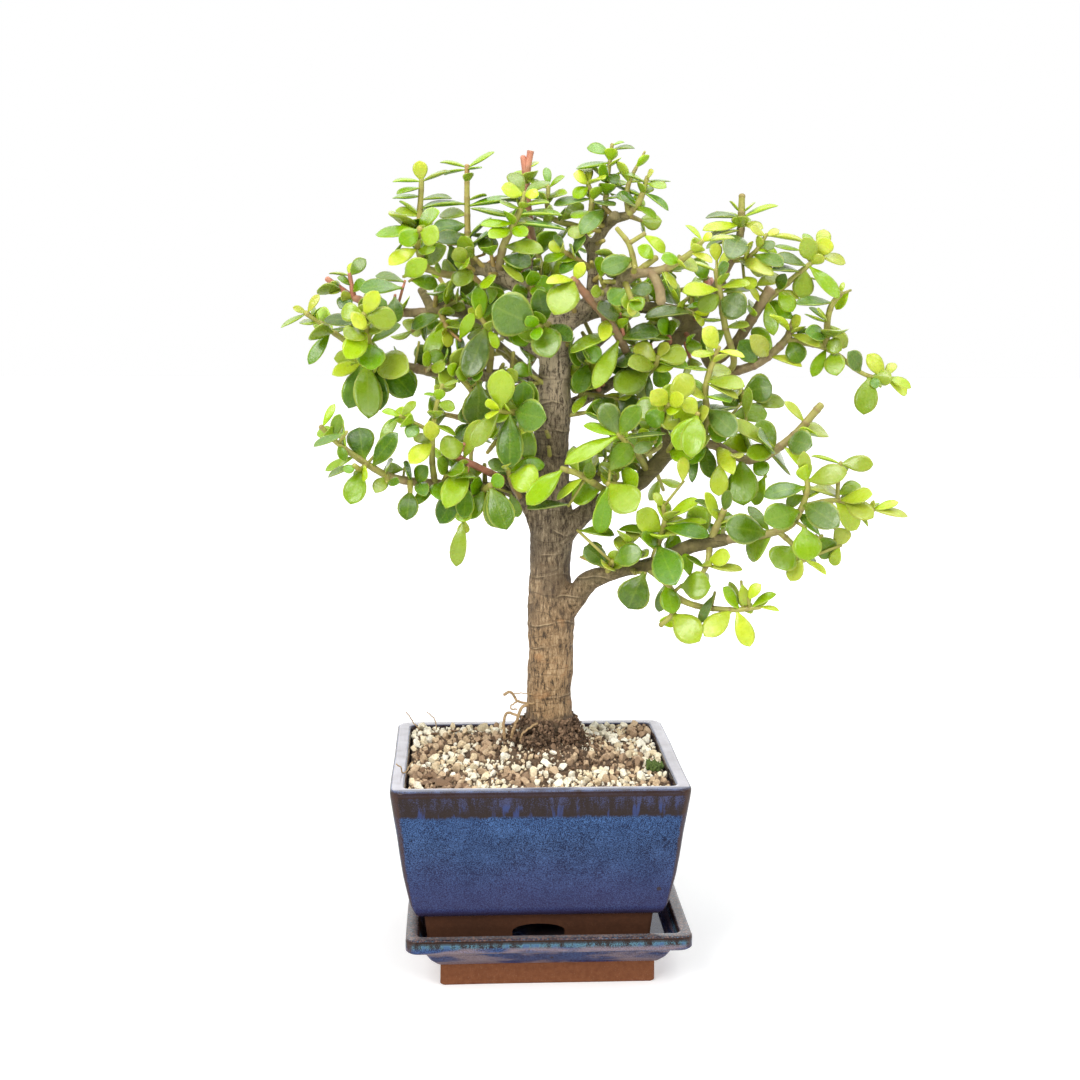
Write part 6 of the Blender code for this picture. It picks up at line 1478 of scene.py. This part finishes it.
def make_trunk(mat):
    """The trunk's wood with the relief of its bark, and marked young where it is far from the trunk."""
    trunk, trunk_line = grown_wood(mat)
    mesh = trunk.data
    core = kdtree.KDTree(len(trunk_line))
    for i, point in enumerate(trunk_line):
        core.insert(point, i)
    core.balance()
    young, moved = [], []
    for vert in mesh.vertices:
        spot = vert.co / MM
        broad = noise.noise(spot * 0.055)
        fine = noise.noise(Vector((spot.x * 0.5, spot.y * 0.5, spot.z * 0.12)))
        ring = noise.noise(Vector((spot.x * 0.03, spot.y * 0.03, spot.z * 0.33)))
        out = core.find(spot)[2]
        main = max(0.0, min(1.0, (16.0 - out) / 3.0))
        lift = 0.2 * fine + main * (0.5 * broad + 0.4 * ring - 0.05)
        moved.extend((spot + vert.normal * lift) * MM)
        young.append(max(0.0, min(1.0, (out - 14.0) / 40.0)))
    mesh.vertices.foreach_set("co", moved)
    mesh.update()
    store(mesh, "young", young)
    mesh.shade_smooth()
    return trunk


def make_rootlets(mat):
    heap = Heap("root")
    draw = random.Random(SEED + 3)
    for line, thick in root_lines(ROOTLETS, 1.0):
        line = [p + Vector([draw.uniform(-0.25, 0.25) for axis in "xyz"]) for p in line]
        verts, faces, rows = round_ended(line, thick, 7)
        heap.add(verts, faces, root=1.0)
    return heap.object("rootlets", mat)


def rounded_ring(half_x, half_y, corner, z, per_corner, per_side=1):
    """Points round a rounded rectangle, from its right side, counter-clockwise."""
    ring = []
    for k, (sx, sy) in enumerate(((1, 1), (-1, 1), (-1, -1), (1, -1))):
        for j in range(per_corner):
            turn = math.pi / 2 * (k + j / (per_corner - 1))
            ring.append(Vector((sx * (half_x - corner) + corner * math.cos(turn),
                                sy * (half_y - corner) + corner * math.sin(turn), z)))
    full = []
    for i, point in enumerate(ring):
        full.append(point)
        after = ring[(i + 1) % len(ring)]
        if (after - point).length > corner:
            full.extend(point.lerp(after, k / per_side) for k in range(1, per_side))
    return full


def inset_rings(half, corner, profile, per_corner=9, per_side=6):
    """One ring for each (inset, z) of a profile, with corners that tighten as the ring shrinks."""
    rings = []
    for inset, z in profile:
        radius = max(corner - inset * 0.5, 2.0)
        rings.append(rounded_ring(half[0] - inset, half[1] - inset, radius, z, per_corner, per_side))
    return rings


def skin(rings):
    """Closes a stack of equal rings into one solid, with flat first and last faces."""
    return [v for ring in rings for v in ring], ring_faces(len(rings), len(rings[0]))


def eased(profile, sharp, pieces=4):
    """Rounds the corners of a profile whose numbers are in sharp, each with its radius."""
    path = [Vector(p) for p in profile]
    out = []
    for i, corner in enumerate(path):
        if i not in sharp:
            out.append(tuple(corner))
            continue
        radius = sharp[i]
        before = (path[i - 1] - corner)
        after = (path[i + 1] - corner)
        start = corner + before.normalized() * min(radius, before.length * 0.45)
        end = corner + after.normalized() * min(radius, after.length * 0.45)
        for k in range(pieces + 1):
            t = k / pieces
            out.append(tuple(start * (1 - t) ** 2 + corner * 2 * t * (1 - t) + end * t * t))
    return out


# Walls as (inset from the widest, z), from the foot over the rim to the floor, and the radius at some corners
POT_WALL = [(18.5, POT_FOOT_Z), (16.5, POT_GLAZE_END_Z), (14.0, POT_GLAZE_END_Z + 0.1), (11.8, 41.4),
            (9.8, 47.0), (8.1, 55.0), (6.5, 63.0), (4.9, 74.0), (3.5, 85.0), (1.9, 95.0), (0.5, 104.5),
            (0.0, POT_RIM_Z), (7.6, POT_RIM_Z), (9.3, 100.0), (11.0, 85.0), (12.5, 74.0), (14.0, 63.0),
            (18.0, 50.0), (21.5, POT_FLOOR_TOP_Z)]
POT_EASED = {1: 0.8, 2: 1.0, 3: 2.0, 11: 2.2, 12: 2.0, 17: 4.0}
POT_UNDER = [(FOOT_HOLLOW_INSET, POT_FOOT_Z - CUT_PAST), (FOOT_HOLLOW_INSET, POT_FOOT_Z),
             (FOOT_HOLLOW_INSET - 1.0, POT_FLOOR_UNDER_Z)]
SAUCER_WALL = [(18.0, 0.0), (17.25, 0.8), (17.25, SAUCER_FOOT_Z), (15.6, SAUCER_FOOT_Z + 0.4), (12.0, 16.0),
               (9.3, 20.8), (7.5, 23.0), (1.2, 23.9), (0.0, 25.2), (0.0, SAUCER_RIM_Z), (6.4, SAUCER_RIM_Z),
               (8.8, 21.6), (10.4, SAUCER_FLOOR_Z)]
SAUCER_EASED = {2: 0.8, 3: 1.0, 6: 1.6, 7: 1.2, 9: 1.6, 10: 1.4, 11: 1.6}


def arch_cutter(along_x):
    """A bar with a low arched top through the foot, from one side to the other."""
    half = FOOT_ARCH_WIDTH / 2
    below = POT_FOOT_Z - CUT_PAST
    shoulder = POT_FOOT_Z + FOOT_ARCH_HEIGHT * FOOT_ARCH_SHOULDER
    rise = FOOT_ARCH_HEIGHT * (1 - FOOT_ARCH_SHOULDER)
    outline = [(-half, below), (half, below), (half, shoulder)]
    for k in range(1, ARCH_STEPS):
        turn = math.pi * k / ARCH_STEPS
        outline.append((half * math.cos(turn), shoulder + rise * math.sin(turn)))
    outline.append((-half, shoulder))
    reach = POT_HALF[0] + CUT_PAST
    ends = []
    for far in (-reach, reach):
        if along_x:
            ends.append([Vector((far, y, z)) for y, z in outline])
        else:
            ends.append([Vector((-y, far, z)) for y, z in outline])
    return skin(ends)


def cut(host, cutters):
    """Cuts the cutters from the host and removes them."""
    group = bpy.data.collections.new("cutters")
    for cutter in cutters:
        group.objects.link(cutter)
    tool = host.modifiers.new("cut", "BOOLEAN")
    tool.operation = "DIFFERENCE"
    tool.operand_type = "COLLECTION"
    tool.collection = group
    tool.solver = "EXACT"
    baked(host)
    for cutter in cutters:
        drop(cutter)
    bpy.data.collections.remove(group)


def shifted(verts, x):
    return [v + Vector((x, 0, 0)) for v in verts]


def auto_smooth(obj, degrees):
    """Smooth shading with every edge above this angle kept sharp."""
    mesh = obj.data
    mesh.shade_smooth()
    mesh.set_sharp_from_angle(angle=math.radians(degrees))


POT_WANDER = 0.5


def fired(pot):
    """Lets the walls wander a little, as hand-pressed clay does, and marks the worn upright corners."""
    for vert in pot.data.vertices:
        spot = vert.co / MM
        wave = Vector((noise.noise(spot * 0.021), noise.noise(spot * 0.021 + Vector((9, 0, 0))), 0.0))
        vert.co += wave * POT_WANDER * MM
    store(pot.data, "worn", [2 * abs(v.normal.x * v.normal.y) for v in pot.data.vertices])
    auto_smooth(pot, 40)
    return pot


def make_pot(mat):
    verts, faces = skin(inset_rings(POT_HALF, POT_CORNER, eased(POT_WALL, POT_EASED)))
    pot = solid("pot_look", shifted(verts, POT_X), faces, mat)
    verts, faces = skin(inset_rings(POT_HALF, POT_CORNER, POT_UNDER))
    cutters = [solid("foot_hollow", shifted(verts, POT_X), faces)]
    for along_x in (True, False):
        verts, faces = arch_cutter(along_x)
        cutters.append(solid("foot_arch", shifted(verts, POT_X), faces))
    cut(pot, cutters)
    holes = []
    for side in (-1, 1):
        x = POT_X + side * DRAIN_HOLE_X
        ends = [Vector((x, 0, z)) for z in (POT_FLOOR_UNDER_Z - CUT_PAST, POT_FLOOR_TOP_Z + CUT_PAST)]
        holes.append(solid("drain_hole", *tube(ends, [DRAIN_HOLE_RADIUS] * 2, 24)))
    cut(pot, holes)
    return fired(pot)


def make_saucer(mat):
    verts, faces = skin(inset_rings(SAUCER_HALF, SAUCER_CORNER, eased(SAUCER_WALL, SAUCER_EASED)))
    return fired(solid("saucer_look", verts, faces, mat))


TRUNK_FOOT = seen(7.5, 120, 0)


def soil_height(x, y):
    """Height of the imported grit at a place, without its grains."""
    away = math.hypot(x - TRUNK_FOOT.x, y - TRUNK_FOOT.y)
    mound = SOIL_MOUND_HEIGHT * math.exp(-(away / SOIL_MOUND_RADIUS) ** 2)
    return SOIL_EDGE_Z - 1.2 + mound + 0.9 * noise.noise(Vector((x, y, 0)) * 0.07) + max(0.0, y) * 0.045


# Bed of the grit: (inset from the pot's widest, z) up its sides, then rings over its top
BED_SIDES = [(22.0, POT_FLOOR_TOP_Z + 0.3), (18.3, 50.0), (14.3, 63.0), (11.3, 85.0), (9.3, SOIL_EDGE_Z - 4)]
BED_RINGS = 25
GRAIN_INSET = 9.6
GRAIN_TRIES = 9000
GRAIN_FORMS = 7
GRAIN_CELL = 3
GRAIN_CROWDING = 0.38
LARGE_GRAIN = 3.6
LARGE_GRAIN_SHARE = 0.06
FULL_TURN = 6.28
TRUNK_BARE = 10.5
PEATY_REACH = 20
PEAT_CRUMBS = 1100
PEAT_FOOT_Z = 117.5
PEAT_HEIGHT = 10.5
PEAT_TOP_RADIUS = 12.4
PEAT_SPREAD = 5.6
PEAT_BULGE = 5.5
# Flat bits of bark on the grit as (x, y, length, width, turn)
BARK_CHIPS = [(-60, -40, 15, 8, 0.4), (-52, -45, 12, 6, -0.3), (-60, -30, 8, 5, 1.2), (-50, -38, 7, 4, 0.9),
              (-44, -47, 8, 4, 0.1), (-64, -20, 7, 4, 1.5), (-60, 38, 9, 5, 0.2), (-48, 42, 7, 4, -0.5),
              (18, 40, 6, 4, 0.8)]


def make_bed(earth):
    """The dark block that the grains lie on."""
    rings = []
    for inset, z in BED_SIDES:
        corner = max(POT_CORNER - inset * 0.5, 2.0) + 0.5
        rings.append(rounded_ring(POT_HALF[0] - inset, POT_HALF[1] - inset, corner, z, 6, 12))
    outer = rings[-1]
    for k in range(BED_RINGS + 1):
        share = 1.0 - 0.985 * k / BED_RINGS
        rings.append([Vector((v.x * share, v.y * share, soil_height(v.x * share + POT_X, v.y * share)))
                      for v in outer])
    verts, faces = skin(rings)
    bed = solid("soil_look", shifted(verts, POT_X), faces, earth)
    bed.data.shade_smooth()
    return bed


def any_turn(draw):
    return Euler([draw.uniform(0, FULL_TURN) for axis in "xyz"]).to_matrix().to_4x4()


def beside_trunk(turn, away):
    return TRUNK_FOOT.x + away * math.cos(turn), TRUNK_FOOT.y + away * math.sin(turn)


def grain_places(draw):
    """Where there is room for a grain of what size, the large ones first; every fifth lies near the trunk."""
    half_x, half_y = POT_HALF[0] - GRAIN_INSET, POT_HALF[1] - GRAIN_INSET
    taken = {}
    for attempt in range(GRAIN_TRIES):
        if attempt % 5 == 4:
            x, y = beside_trunk(draw.uniform(0, FULL_TURN), draw.uniform(11.0, 23.0))
            x -= POT_X
            size = draw.uniform(1.2, 2.6)
        else:
            x, y = draw.uniform(-half_x, half_x), draw.uniform(-half_y, half_y)
            size = 1.5 + 2.6 * draw.random() ** 1.5
            if attempt < GRAIN_TRIES * LARGE_GRAIN_SHARE:
                size = draw.uniform(4.0, 6.4)
        column, row = int(x // GRAIN_CELL), int(y // GRAIN_CELL)
        near = [grain for dx in range(-2, 3) for dy in range(-2, 3)
                for grain in taken.get((column + dx, row + dy), [])]
        if all((x - a) ** 2 + (y - b) ** 2 >= (GRAIN_CROWDING * (size + other)) ** 2 for a, b, other in near):
            taken.setdefault((column, row), []).append((x, y, size))
            yield x + POT_X, y, size


def grain_shade(draw, x, y, size, away):
    """How pale a grain is: dark near the trunk and in patches, pale where it is large, and paler towards the
    back as painted light.
    """
    shade = draw.betavariate(1.2, 0.72)
    if size > LARGE_GRAIN:
        shade = 0.4 + 0.6 * shade
    if away < PEATY_REACH:
        shade *= draw.uniform(0.0, 0.7)
    # Painted light: grains towards the back are made paler, where the crown shades the grit
    shade = min(1.0, shade + max(0.0, y) * 0.003)
    dark = noise.noise(Vector((x + 40, y, 3)) * 0.045) > 0.16
    if dark or (x < -42 and y < -22 and draw.random() < 0.6):
        shade *= 0.45
    return shade


def strewn_grains(draw):
    for x, y, size in grain_places(draw):
        away = math.hypot(x - TRUNK_FOOT.x, y - TRUNK_FOOT.y)
        if away < TRUNK_BARE:
            continue
        stretch = Vector((draw.uniform(0.85, 1.25), draw.uniform(0.75, 1.05), draw.uniform(0.6, 0.9))) * size
        turn = any_turn(draw)
        spot = (x, y, soil_height(x, y) + size * draw.uniform(0.10, 0.32))
        grain = (Matrix.Translation(spot) @ turn, tuple(stretch), draw.randrange(GRAIN_FORMS))
        yield grain, grain_shade(draw, x, y, size, away)


def peat_crumbs(draw):
    """Dark crumbs heaped round the root flare, some of them scattered further out."""
    for crumb in range(PEAT_CRUMBS):
        turn, up = draw.uniform(0, FULL_TURN), draw.random()
        bulge = max(0.0, -math.cos(turn - 0.5)) ** 2 * PEAT_BULGE * (1 - up * up)
        away = PEAT_TOP_RADIUS + PEAT_SPREAD * (1 - up) + draw.gauss(0, 0.7) + bulge
        scattered = crumb % 5 == 0
        if scattered:
            away = draw.uniform(17.0, 34.0)
        spot = Vector((*beside_trunk(turn, away), PEAT_FOOT_Z + PEAT_HEIGHT * up))
        if scattered:
            spot.z = soil_height(spot.x, spot.y) + 1.2
        size = draw.uniform(1.0, 2.6)
        turned = Matrix.Translation(spot) @ any_turn(draw)
        yield (turned, (size * 1.3, size, size * 0.7), draw.randrange(GRAIN_FORMS)), draw.uniform(0.0, 0.22)


def bark_chips(draw):
    for x, y, long, wide, turn in BARK_CHIPS:
        flat = Euler((draw.uniform(-0.3, 0.3), draw.uniform(-0.3, 0.3), turn)).to_matrix().to_4x4()
        spot = (x, y, soil_height(x, y) + 1.8)
        chip = (Matrix.Translation(spot) @ flat, (long, wide, 2.0), draw.randrange(GRAIN_FORMS))
        yield chip, draw.uniform(0.12, 0.2)


def make_soil(grit, earth):
    """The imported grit: a dark bed with grains strewn all over its top."""
    bed = make_bed(earth)
    draw = random.Random(SEED + 1)
    pieces = [*strewn_grains(draw), *peat_crumbs(draw), *bark_chips(draw)]
    tree = repeat_tree("strewn_grains", grain_forms(), grit)
    shades = {"shade": [shade for piece, shade in pieces]}
    grains = repeated("grains", [piece for piece, shade in pieces], shades, tree)
    auto_smooth(grains, 35)
    return joined(bed, [grains])


def grain_forms():
    """Crushed grains: the hulls of a few seeded points."""
    group = bpy.data.collections.new("grain_forms")
    draw = random.Random(SEED + 4)
    for number in range(GRAIN_FORMS):
        mesh = bmesh.new()
        for k in range(18):
            point = Vector([draw.gauss(0, 1) for axis in "xyz"]).normalized() * draw.uniform(0.42, 0.56)
            mesh.verts.new(point)
        bmesh.ops.convex_hull(mesh, input=mesh.verts)
        loose = [v for v in mesh.verts if not v.link_faces]
        bmesh.ops.delete(mesh, geom=loose, context="VERTS")
        bmesh.ops.recalc_face_normals(mesh, faces=mesh.faces)
        data = bpy.data.meshes.new(f"grain_form_{number}")
        mesh.to_mesh(data)
        mesh.free()
        group.objects.link(bpy.data.objects.new(data.name, data))
    return group


MOSS_THREADS = 110
MOSS_AT = (POT_X + 60.5, -22, SOIL_EDGE_Z + 0.2)


def make_moss(mat):
    """A tuft of moss against the pot's right wall."""
    heap = Heap()
    draw = random.Random(SEED + 5)
    for thread in range(MOSS_THREADS):
        spot = Vector(MOSS_AT) + Vector((draw.gauss(0, 1.5), draw.gauss(0, 2.6), 0))
        tip = spot + Vector((draw.gauss(0, 1.0), draw.gauss(0, 1.0), draw.uniform(1.6, 3.4)))
        middle = spot.lerp(tip, 0.5) + Vector((draw.gauss(0, 0.3), 0, 0))
        heap.add(*round_ended(*smooth_line([spot, middle, tip], [0.9, 0.8, 0.4], 2.0), 6)[:2])
    return heap.object("moss_tuft", mat)


def finished(piece, node):
    """Ties a visible piece to the root body and hides the solid that it stands for."""
    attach(piece, "root")
    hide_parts(node)


# The limb that a spray's short shoots stand on, from one of its drawn points to another, and how many
SPURS = {"left_tall": ("left_top", 1, 5, 10), "left_knot": ("left_high", 1, 4, 11),
         "left_inner": ("left_mid", 1, 4, 13), "left_low": ("left_low", 1, 4, 8),
         "red_stem": ("right_diagonal", 1, 8, 19), "right_horizontal": ("right_high", 1, 4, 13),
         "upper_inner": ("right_top", 0.5, 3, 8), "centre_up": ("right_mid", 3, 7, 10),
         "leader_low": ("leader", 1, 7, 13), "trunk_top": ("trunk", 12, 18, 8),
         "low_right_up": ("low_right", 4, 9, 6), "middle_pruned": ("middle_stub", 0.5, 2, 6),
         "back_left": ("back_left", 1, 3, 10), "back_middle": ("back_middle", 1, 2, 8),
         "back_right": ("back_right", 1, 3, 10), "back_low_right": ("back_low_right", 1, 3, 10),
         "back_low_left": ("back_low_left", 1, 2, 8)}
# Leaves that show between the drawn ones: base u and z, tip u and z, width, face, age. Their places follow a
# list that a scratch program printed of where the photograph shows leaf and an earlier render didn't.
FURTHER_LEAVES = numbers("""
    22,226,40,224,7,30,3 24,212,34,218,8,60,3 100,287,118,288,10,70,2 -45,373,-39,360,10,80,3.6
    97,274,111,272,10,75,1 156,241,167,228,9,75,1 39,234,51,233,8,60,1 119,256,114,241,7,60,2
    76,252,76,265,6,60,1 133,338,118,344,8,60,2 -65,355,-52,353,8,60,2 111,353,123,358,8,60,1
    12,387,23,394,7,50,1 150,334,159,323,7,70,1 122,229,111,239,6,60,3 149,224,138,235,5,60,3
    -95,264,-109,258,5,60,1 159,351,153,342,5,60,1 139,246,130,241,6,70,2 108,199,111,187,6,70,1
    95,350,108,351,5,40,2 -69,258,-79,258,6,60,2 159,219,156,209,6,70,1 54,377,64,370,6,60,1
    -28,368,-22,376,7,70,3.6 91,365,90,374,6,60,0.5 -61,323,-59,312,6,70,3 81,202,78,214,6,60,2
    -54,272,-63,275,6,60,1 -60,387,-71,390,5,50,1""")
SPUR_LENGTH = (5.0, 11.0)
SPUR_LEAVES = 7
SPUR_TRIES = 6
TIP_LEFT_ALONE = 8.0
FILL_LENGTHS = (11.0, 15.0, 17.0, 18.0)
FILL_PLUMP = (0.66, 0.80)
FILL_OTHERS = 6
# Further leaves on each stem of a spray, and their size
FILL = {"back_left": (16, 1.0), "back_middle": (16, 1.0), "back_right": (16, 1.0),
        "back_low_right": (14, 1.0), "back_low_left": (14, 1.0), "back_inner": (10, 1.0),
        "low_right_under": (1, 0.8), "left_shoots": (4, 0.8), "left_tall": (6, 0.75),
        "middle_left": (6, 0.8), "middle_pruned": (6, 0.8), "top": (6, 0.7),
        "top_left": (5, 0.75), "leader_tip": (4, 0.75), "leader_low": (5, 0.8),
        "right_far": (2, 0.9), "low_right_end": (3, 0.9), "left_low": (3, 0.9),
        "right_top": (4, 0.8), "right_pruned": (3, 0.8), "upper_right": (5, 0.8),
        "low_right_hang": (2, 0.8), "low_right_stub": (2, 0.8), "left_upper": (3, 0.8)}
# The smallest leaves of the drawing, which have no solid
SMALL_LEAVES = {
    "left_far": "-119,338,-125,341,-22,3.5,60,0 -116,336,-111,341,-24,3,30,2",
    "left_low": "-51,297,-58,297,-17,3,30,2 -70,286,-77,281,-14,3.5,30,2",
    "right_far": "155,349,156,355,-19,2.5,30,1",
    "low_right_end": "176,238,176,243,-30,2.5,50,0 158,263,143,266,-20,3,15,1 158,264,168,266,-16,3,20,2",
    "low_right_under": "118,187,122,191,-20,3.5,50,1 118,186,128,184,-20,3,30,0",
    "top": "37,423,43,424,0,3,20,1",
}


def fill_crown(thicket, sprays):
    """Adds the smallest leaves of the drawing, then the leaves between and behind those that it shows."""
    draw = random.Random(SEED + 7)
    fronts = [spray for spray in sprays if not spray.name.startswith("back")]
    for u, z, tip_u, tip_z, width, face, age in FURTHER_LEAVES:
        away, depth, nearest = min((*spray.root_at(u, z)[::2], k) for k, spray in enumerate(fronts))
        drawn_blade(thicket, fronts[nearest], (u, z, tip_u, tip_z, depth + 5, width, face, age))
    for spray in sprays:
        for row in numbers(SMALL_LEAVES.get(spray.name, "")):
            drawn_blade(thicket, spray, row)
    for spray in sprays:
        leaves, share = FILL.get(spray.name, (FILL_OTHERS, 1.0))
        lengths = [length * share for length in FILL_LENGTHS]
        skip = TIP_LEFT_ALONE if spray in fronts else 0.0
        rule_blades(thicket, spray, leaves, draw, lengths, FILL_PLUMP, skip, 1)
    for spray in sprays:
        grow_spurs(thicket, spray, draw)


def grow_spurs(thicket, spray, draw):
    """Short leafy shoots on the limb that a spray grows from; they fill the middle of the crown."""
    limb, low, high, count = SPURS.get(spray.name, ("trunk", 0, 0, 0))
    drawn, radii = LIMBS[limb]
    swing = LIMB_SWING.get(limb, 0.0)
    full = spray.stems
    for spur in range(count):
        place = low + (high - low) * (spur + draw.random()) / count
        index = min(int(place), len(drawn) - 2)
        base = Vector(drawn[index]).lerp(Vector(drawn[index + 1]), place - index)
        for attempt in range(SPUR_TRIES):
            heading = Vector((draw.gauss(0, 0.6), draw.gauss(0.55, 0.5), draw.gauss(-0.15, 1.0))).normalized()
            clear = base + heading * (radii[index] + 1.0)
            tip = clear + heading * draw.uniform(*SPUR_LENGTH)
            root, outside, end = seen(*base, swing), seen(*clear, swing), seen(*tip, swing)
            if not thicket.crosses("spur", *tube([outside, end], [1.0, 1.0], 5)):
                thicket.add(spray.name, *tube([outside, end], [1.0, 1.0], 5))
                spray.stems = [([tuple(base), tuple(tip)], [root, end], [1.5, 1.0])]
                rule_blades(thicket, spray, SPUR_LEAVES, draw, FILL_LENGTHS, FILL_PLUMP, 0.0, 1 + spur % 2)
                full = full + spray.stems
                break
    spray.stems = full


def make_plant():
    forms_tree = repeat_tree("leaves_on_stems", leaf_forms(), leaf_finish())
    stem_mat = stem_finish()
    draw = random.Random(SEED + 6)
    sprays, thicket = grow()
    fill_crown(thicket, sprays)
    for spray in sprays:
        make_spray(spray, forms_tree, stem_mat, draw)
    bark = bark_finish()
    trunk = joined(make_trunk(bark), [make_rootlets(bark)])
    finished(trunk, "trunk")


LIGHT_AIM = Vector((0, 0, 0.2))
ROOM_LIGHT = 0.36
ROOM_SHINE = 2.2
ROOM_DARK = 0.10
FLOOR_REACH = 6.0
FLOOR_GLOW = 0.34
FLOOR_GLOW_FAR = 0.86
SOFTBOXES = [("softbox_left", (-1.0, -1.2, 1.3), (0.9, 0.9), 32.0, (1.0, 0.985, 0.96)),
             ("softbox_top", (0.25, -0.2, 1.7), (1.0, 1.0), 15.0, (1.0, 1.0, 1.0)),
             ("softbox_right", (1.2, -1.3, 1.0), (0.8, 0.8), 15.0, (0.98, 0.985, 1.0))]
CAMERA_AT = Vector((1.83354, -768.52593, 345.30302))
CAMERA_DIP = 0.158438
CAMERA_ROLL = 0.0056426


def make_floor():
    """A plain white floor that glows a little, more so far away, but not in reflections."""
    mesh = bpy.data.meshes.new("floor")
    corners = [(x * FLOOR_REACH, y * FLOOR_REACH, 0) for x, y in ((-1, -1), (1, -1), (1, 1), (-1, 1))]
    mesh.from_pydata(corners, [], [(0, 1, 2, 3)])
    floor = placed("floor", mesh)
    paper = Finish("white_paper")
    away = paper.node("ShaderNodeVectorMath", {"operation": "LENGTH"}, {0: paper.place}, "Value")
    mirrored = paper.node("ShaderNodeLightPath", out="Is Glossy Ray")
    glow = (FLOOR_GLOW + (FLOOR_GLOW_FAR - FLOOR_GLOW) * paper.step(away, 0.35, 1.0)) * (1 - mirrored)
    paper.set("Base Color", (0.80, 0.80, 0.80, 1.0))
    paper.set("Roughness", 0.9)
    paper.set("Emission Color", paper.mix(glow, (0.0, 0.0, 0.0), (1.0, 1.0, 1.0)))
    paper.set("Emission Strength", 1.0)
    mesh.materials.append(paper.mat)


def make_room():
    """A white room: white to the camera, and in reflections bright behind and above and dark in front."""
    world = bpy.data.worlds.new("white_room")
    world.use_nodes = True
    sky = Tree(world.node_tree)
    toward = sky.node("ShaderNodeTexCoord", out="Generated")
    back = sky.node("ShaderNodeSeparateXYZ", {}, {0: toward}, "Y")
    top = sky.node("ShaderNodeSeparateXYZ", {}, {0: toward}, "Z")
    shine = sky.node("ShaderNodeMapRange", {"interpolation_type": "SMOOTHSTEP"},
                     {"Value": back + 0.6 * top, "From Min": -0.5, "From Max": 0.6, "To Min": ROOM_DARK,
                      "To Max": ROOM_SHINE})
    background = world.node_tree.nodes["Background"]
    background.inputs["Color"].default_value = (1.0, 1.0, 1.0, 1.0)
    lit = ROOM_LIGHT + (shine - ROOM_LIGHT) * sky.node("ShaderNodeLightPath", out="Is Glossy Ray")
    to_camera = sky.node("ShaderNodeLightPath", out="Is Camera Ray")
    sky.feed(background.inputs["Strength"], sky.sum("MAXIMUM", lit, to_camera))
    bpy.context.scene.world = world


def make_lights():
    for name, place, size, power, colour in SOFTBOXES:
        light = bpy.data.lights.new(name, "AREA")
        light.shape = "RECTANGLE"
        light.size, light.size_y = size
        light.energy = power
        light.color = colour
        box = placed(name, light)
        box.location = place
        box.rotation_euler = (LIGHT_AIM - Vector(place)).to_track_quat("-Z", "Y").to_euler()


def make_camera():
    data = bpy.data.cameras.new("camera")
    data.lens = 50
    data.sensor_width = 36
    data.clip_start = 0.01
    camera = placed("camera", data)
    place = (PLANT_SPIN @ CAMERA_AT + PLANT_FOOT) * MM
    aim = PLANT_SPIN @ Matrix.Rotation(math.pi / 2 - CAMERA_DIP, 3, "X")
    aim = aim @ Matrix.Rotation(CAMERA_ROLL, 3, "Z")
    camera.matrix_world = Matrix.Translation(place) @ aim.to_4x4()
    bpy.context.scene.camera = camera
    bpy.context.scene.view_settings.view_transform = "Standard"


make_plant()
pot_glaze = Glaze("pot_glaze_look", band_top=0.1068, band_depth=0.0115, base_line=0.0398, purple_low=0.052,
                  lip_brown=0.0, clay_light=0.35)
saucer_glaze = Glaze("saucer_glaze_look", band_top=0.0304, band_depth=0.0034, base_line=0.0119,
                     purple_low=0.010, lip_brown=0.8, clay_light=1.0)
earth = crumbly_finish("dark_earth", (0.030, 0.018, 0.010), (0.20, 0.13, 0.08), 600.0, 500.0, 4.0, 0.88, 0.1)
moss = crumbly_finish("moss", (0.03, 0.06, 0.01), (0.16, 0.24, 0.05), 500.0, 900.0, 3.0, 0.8, 0.15)
finished(make_pot(pot_glaze.built()), "pot")
finished(make_saucer(saucer_glaze.built()), "saucer")
finished(joined(make_soil(grit_finish(), earth), [make_moss(moss)]), "soil")
make_floor()
make_room()
make_lights()
make_camera()
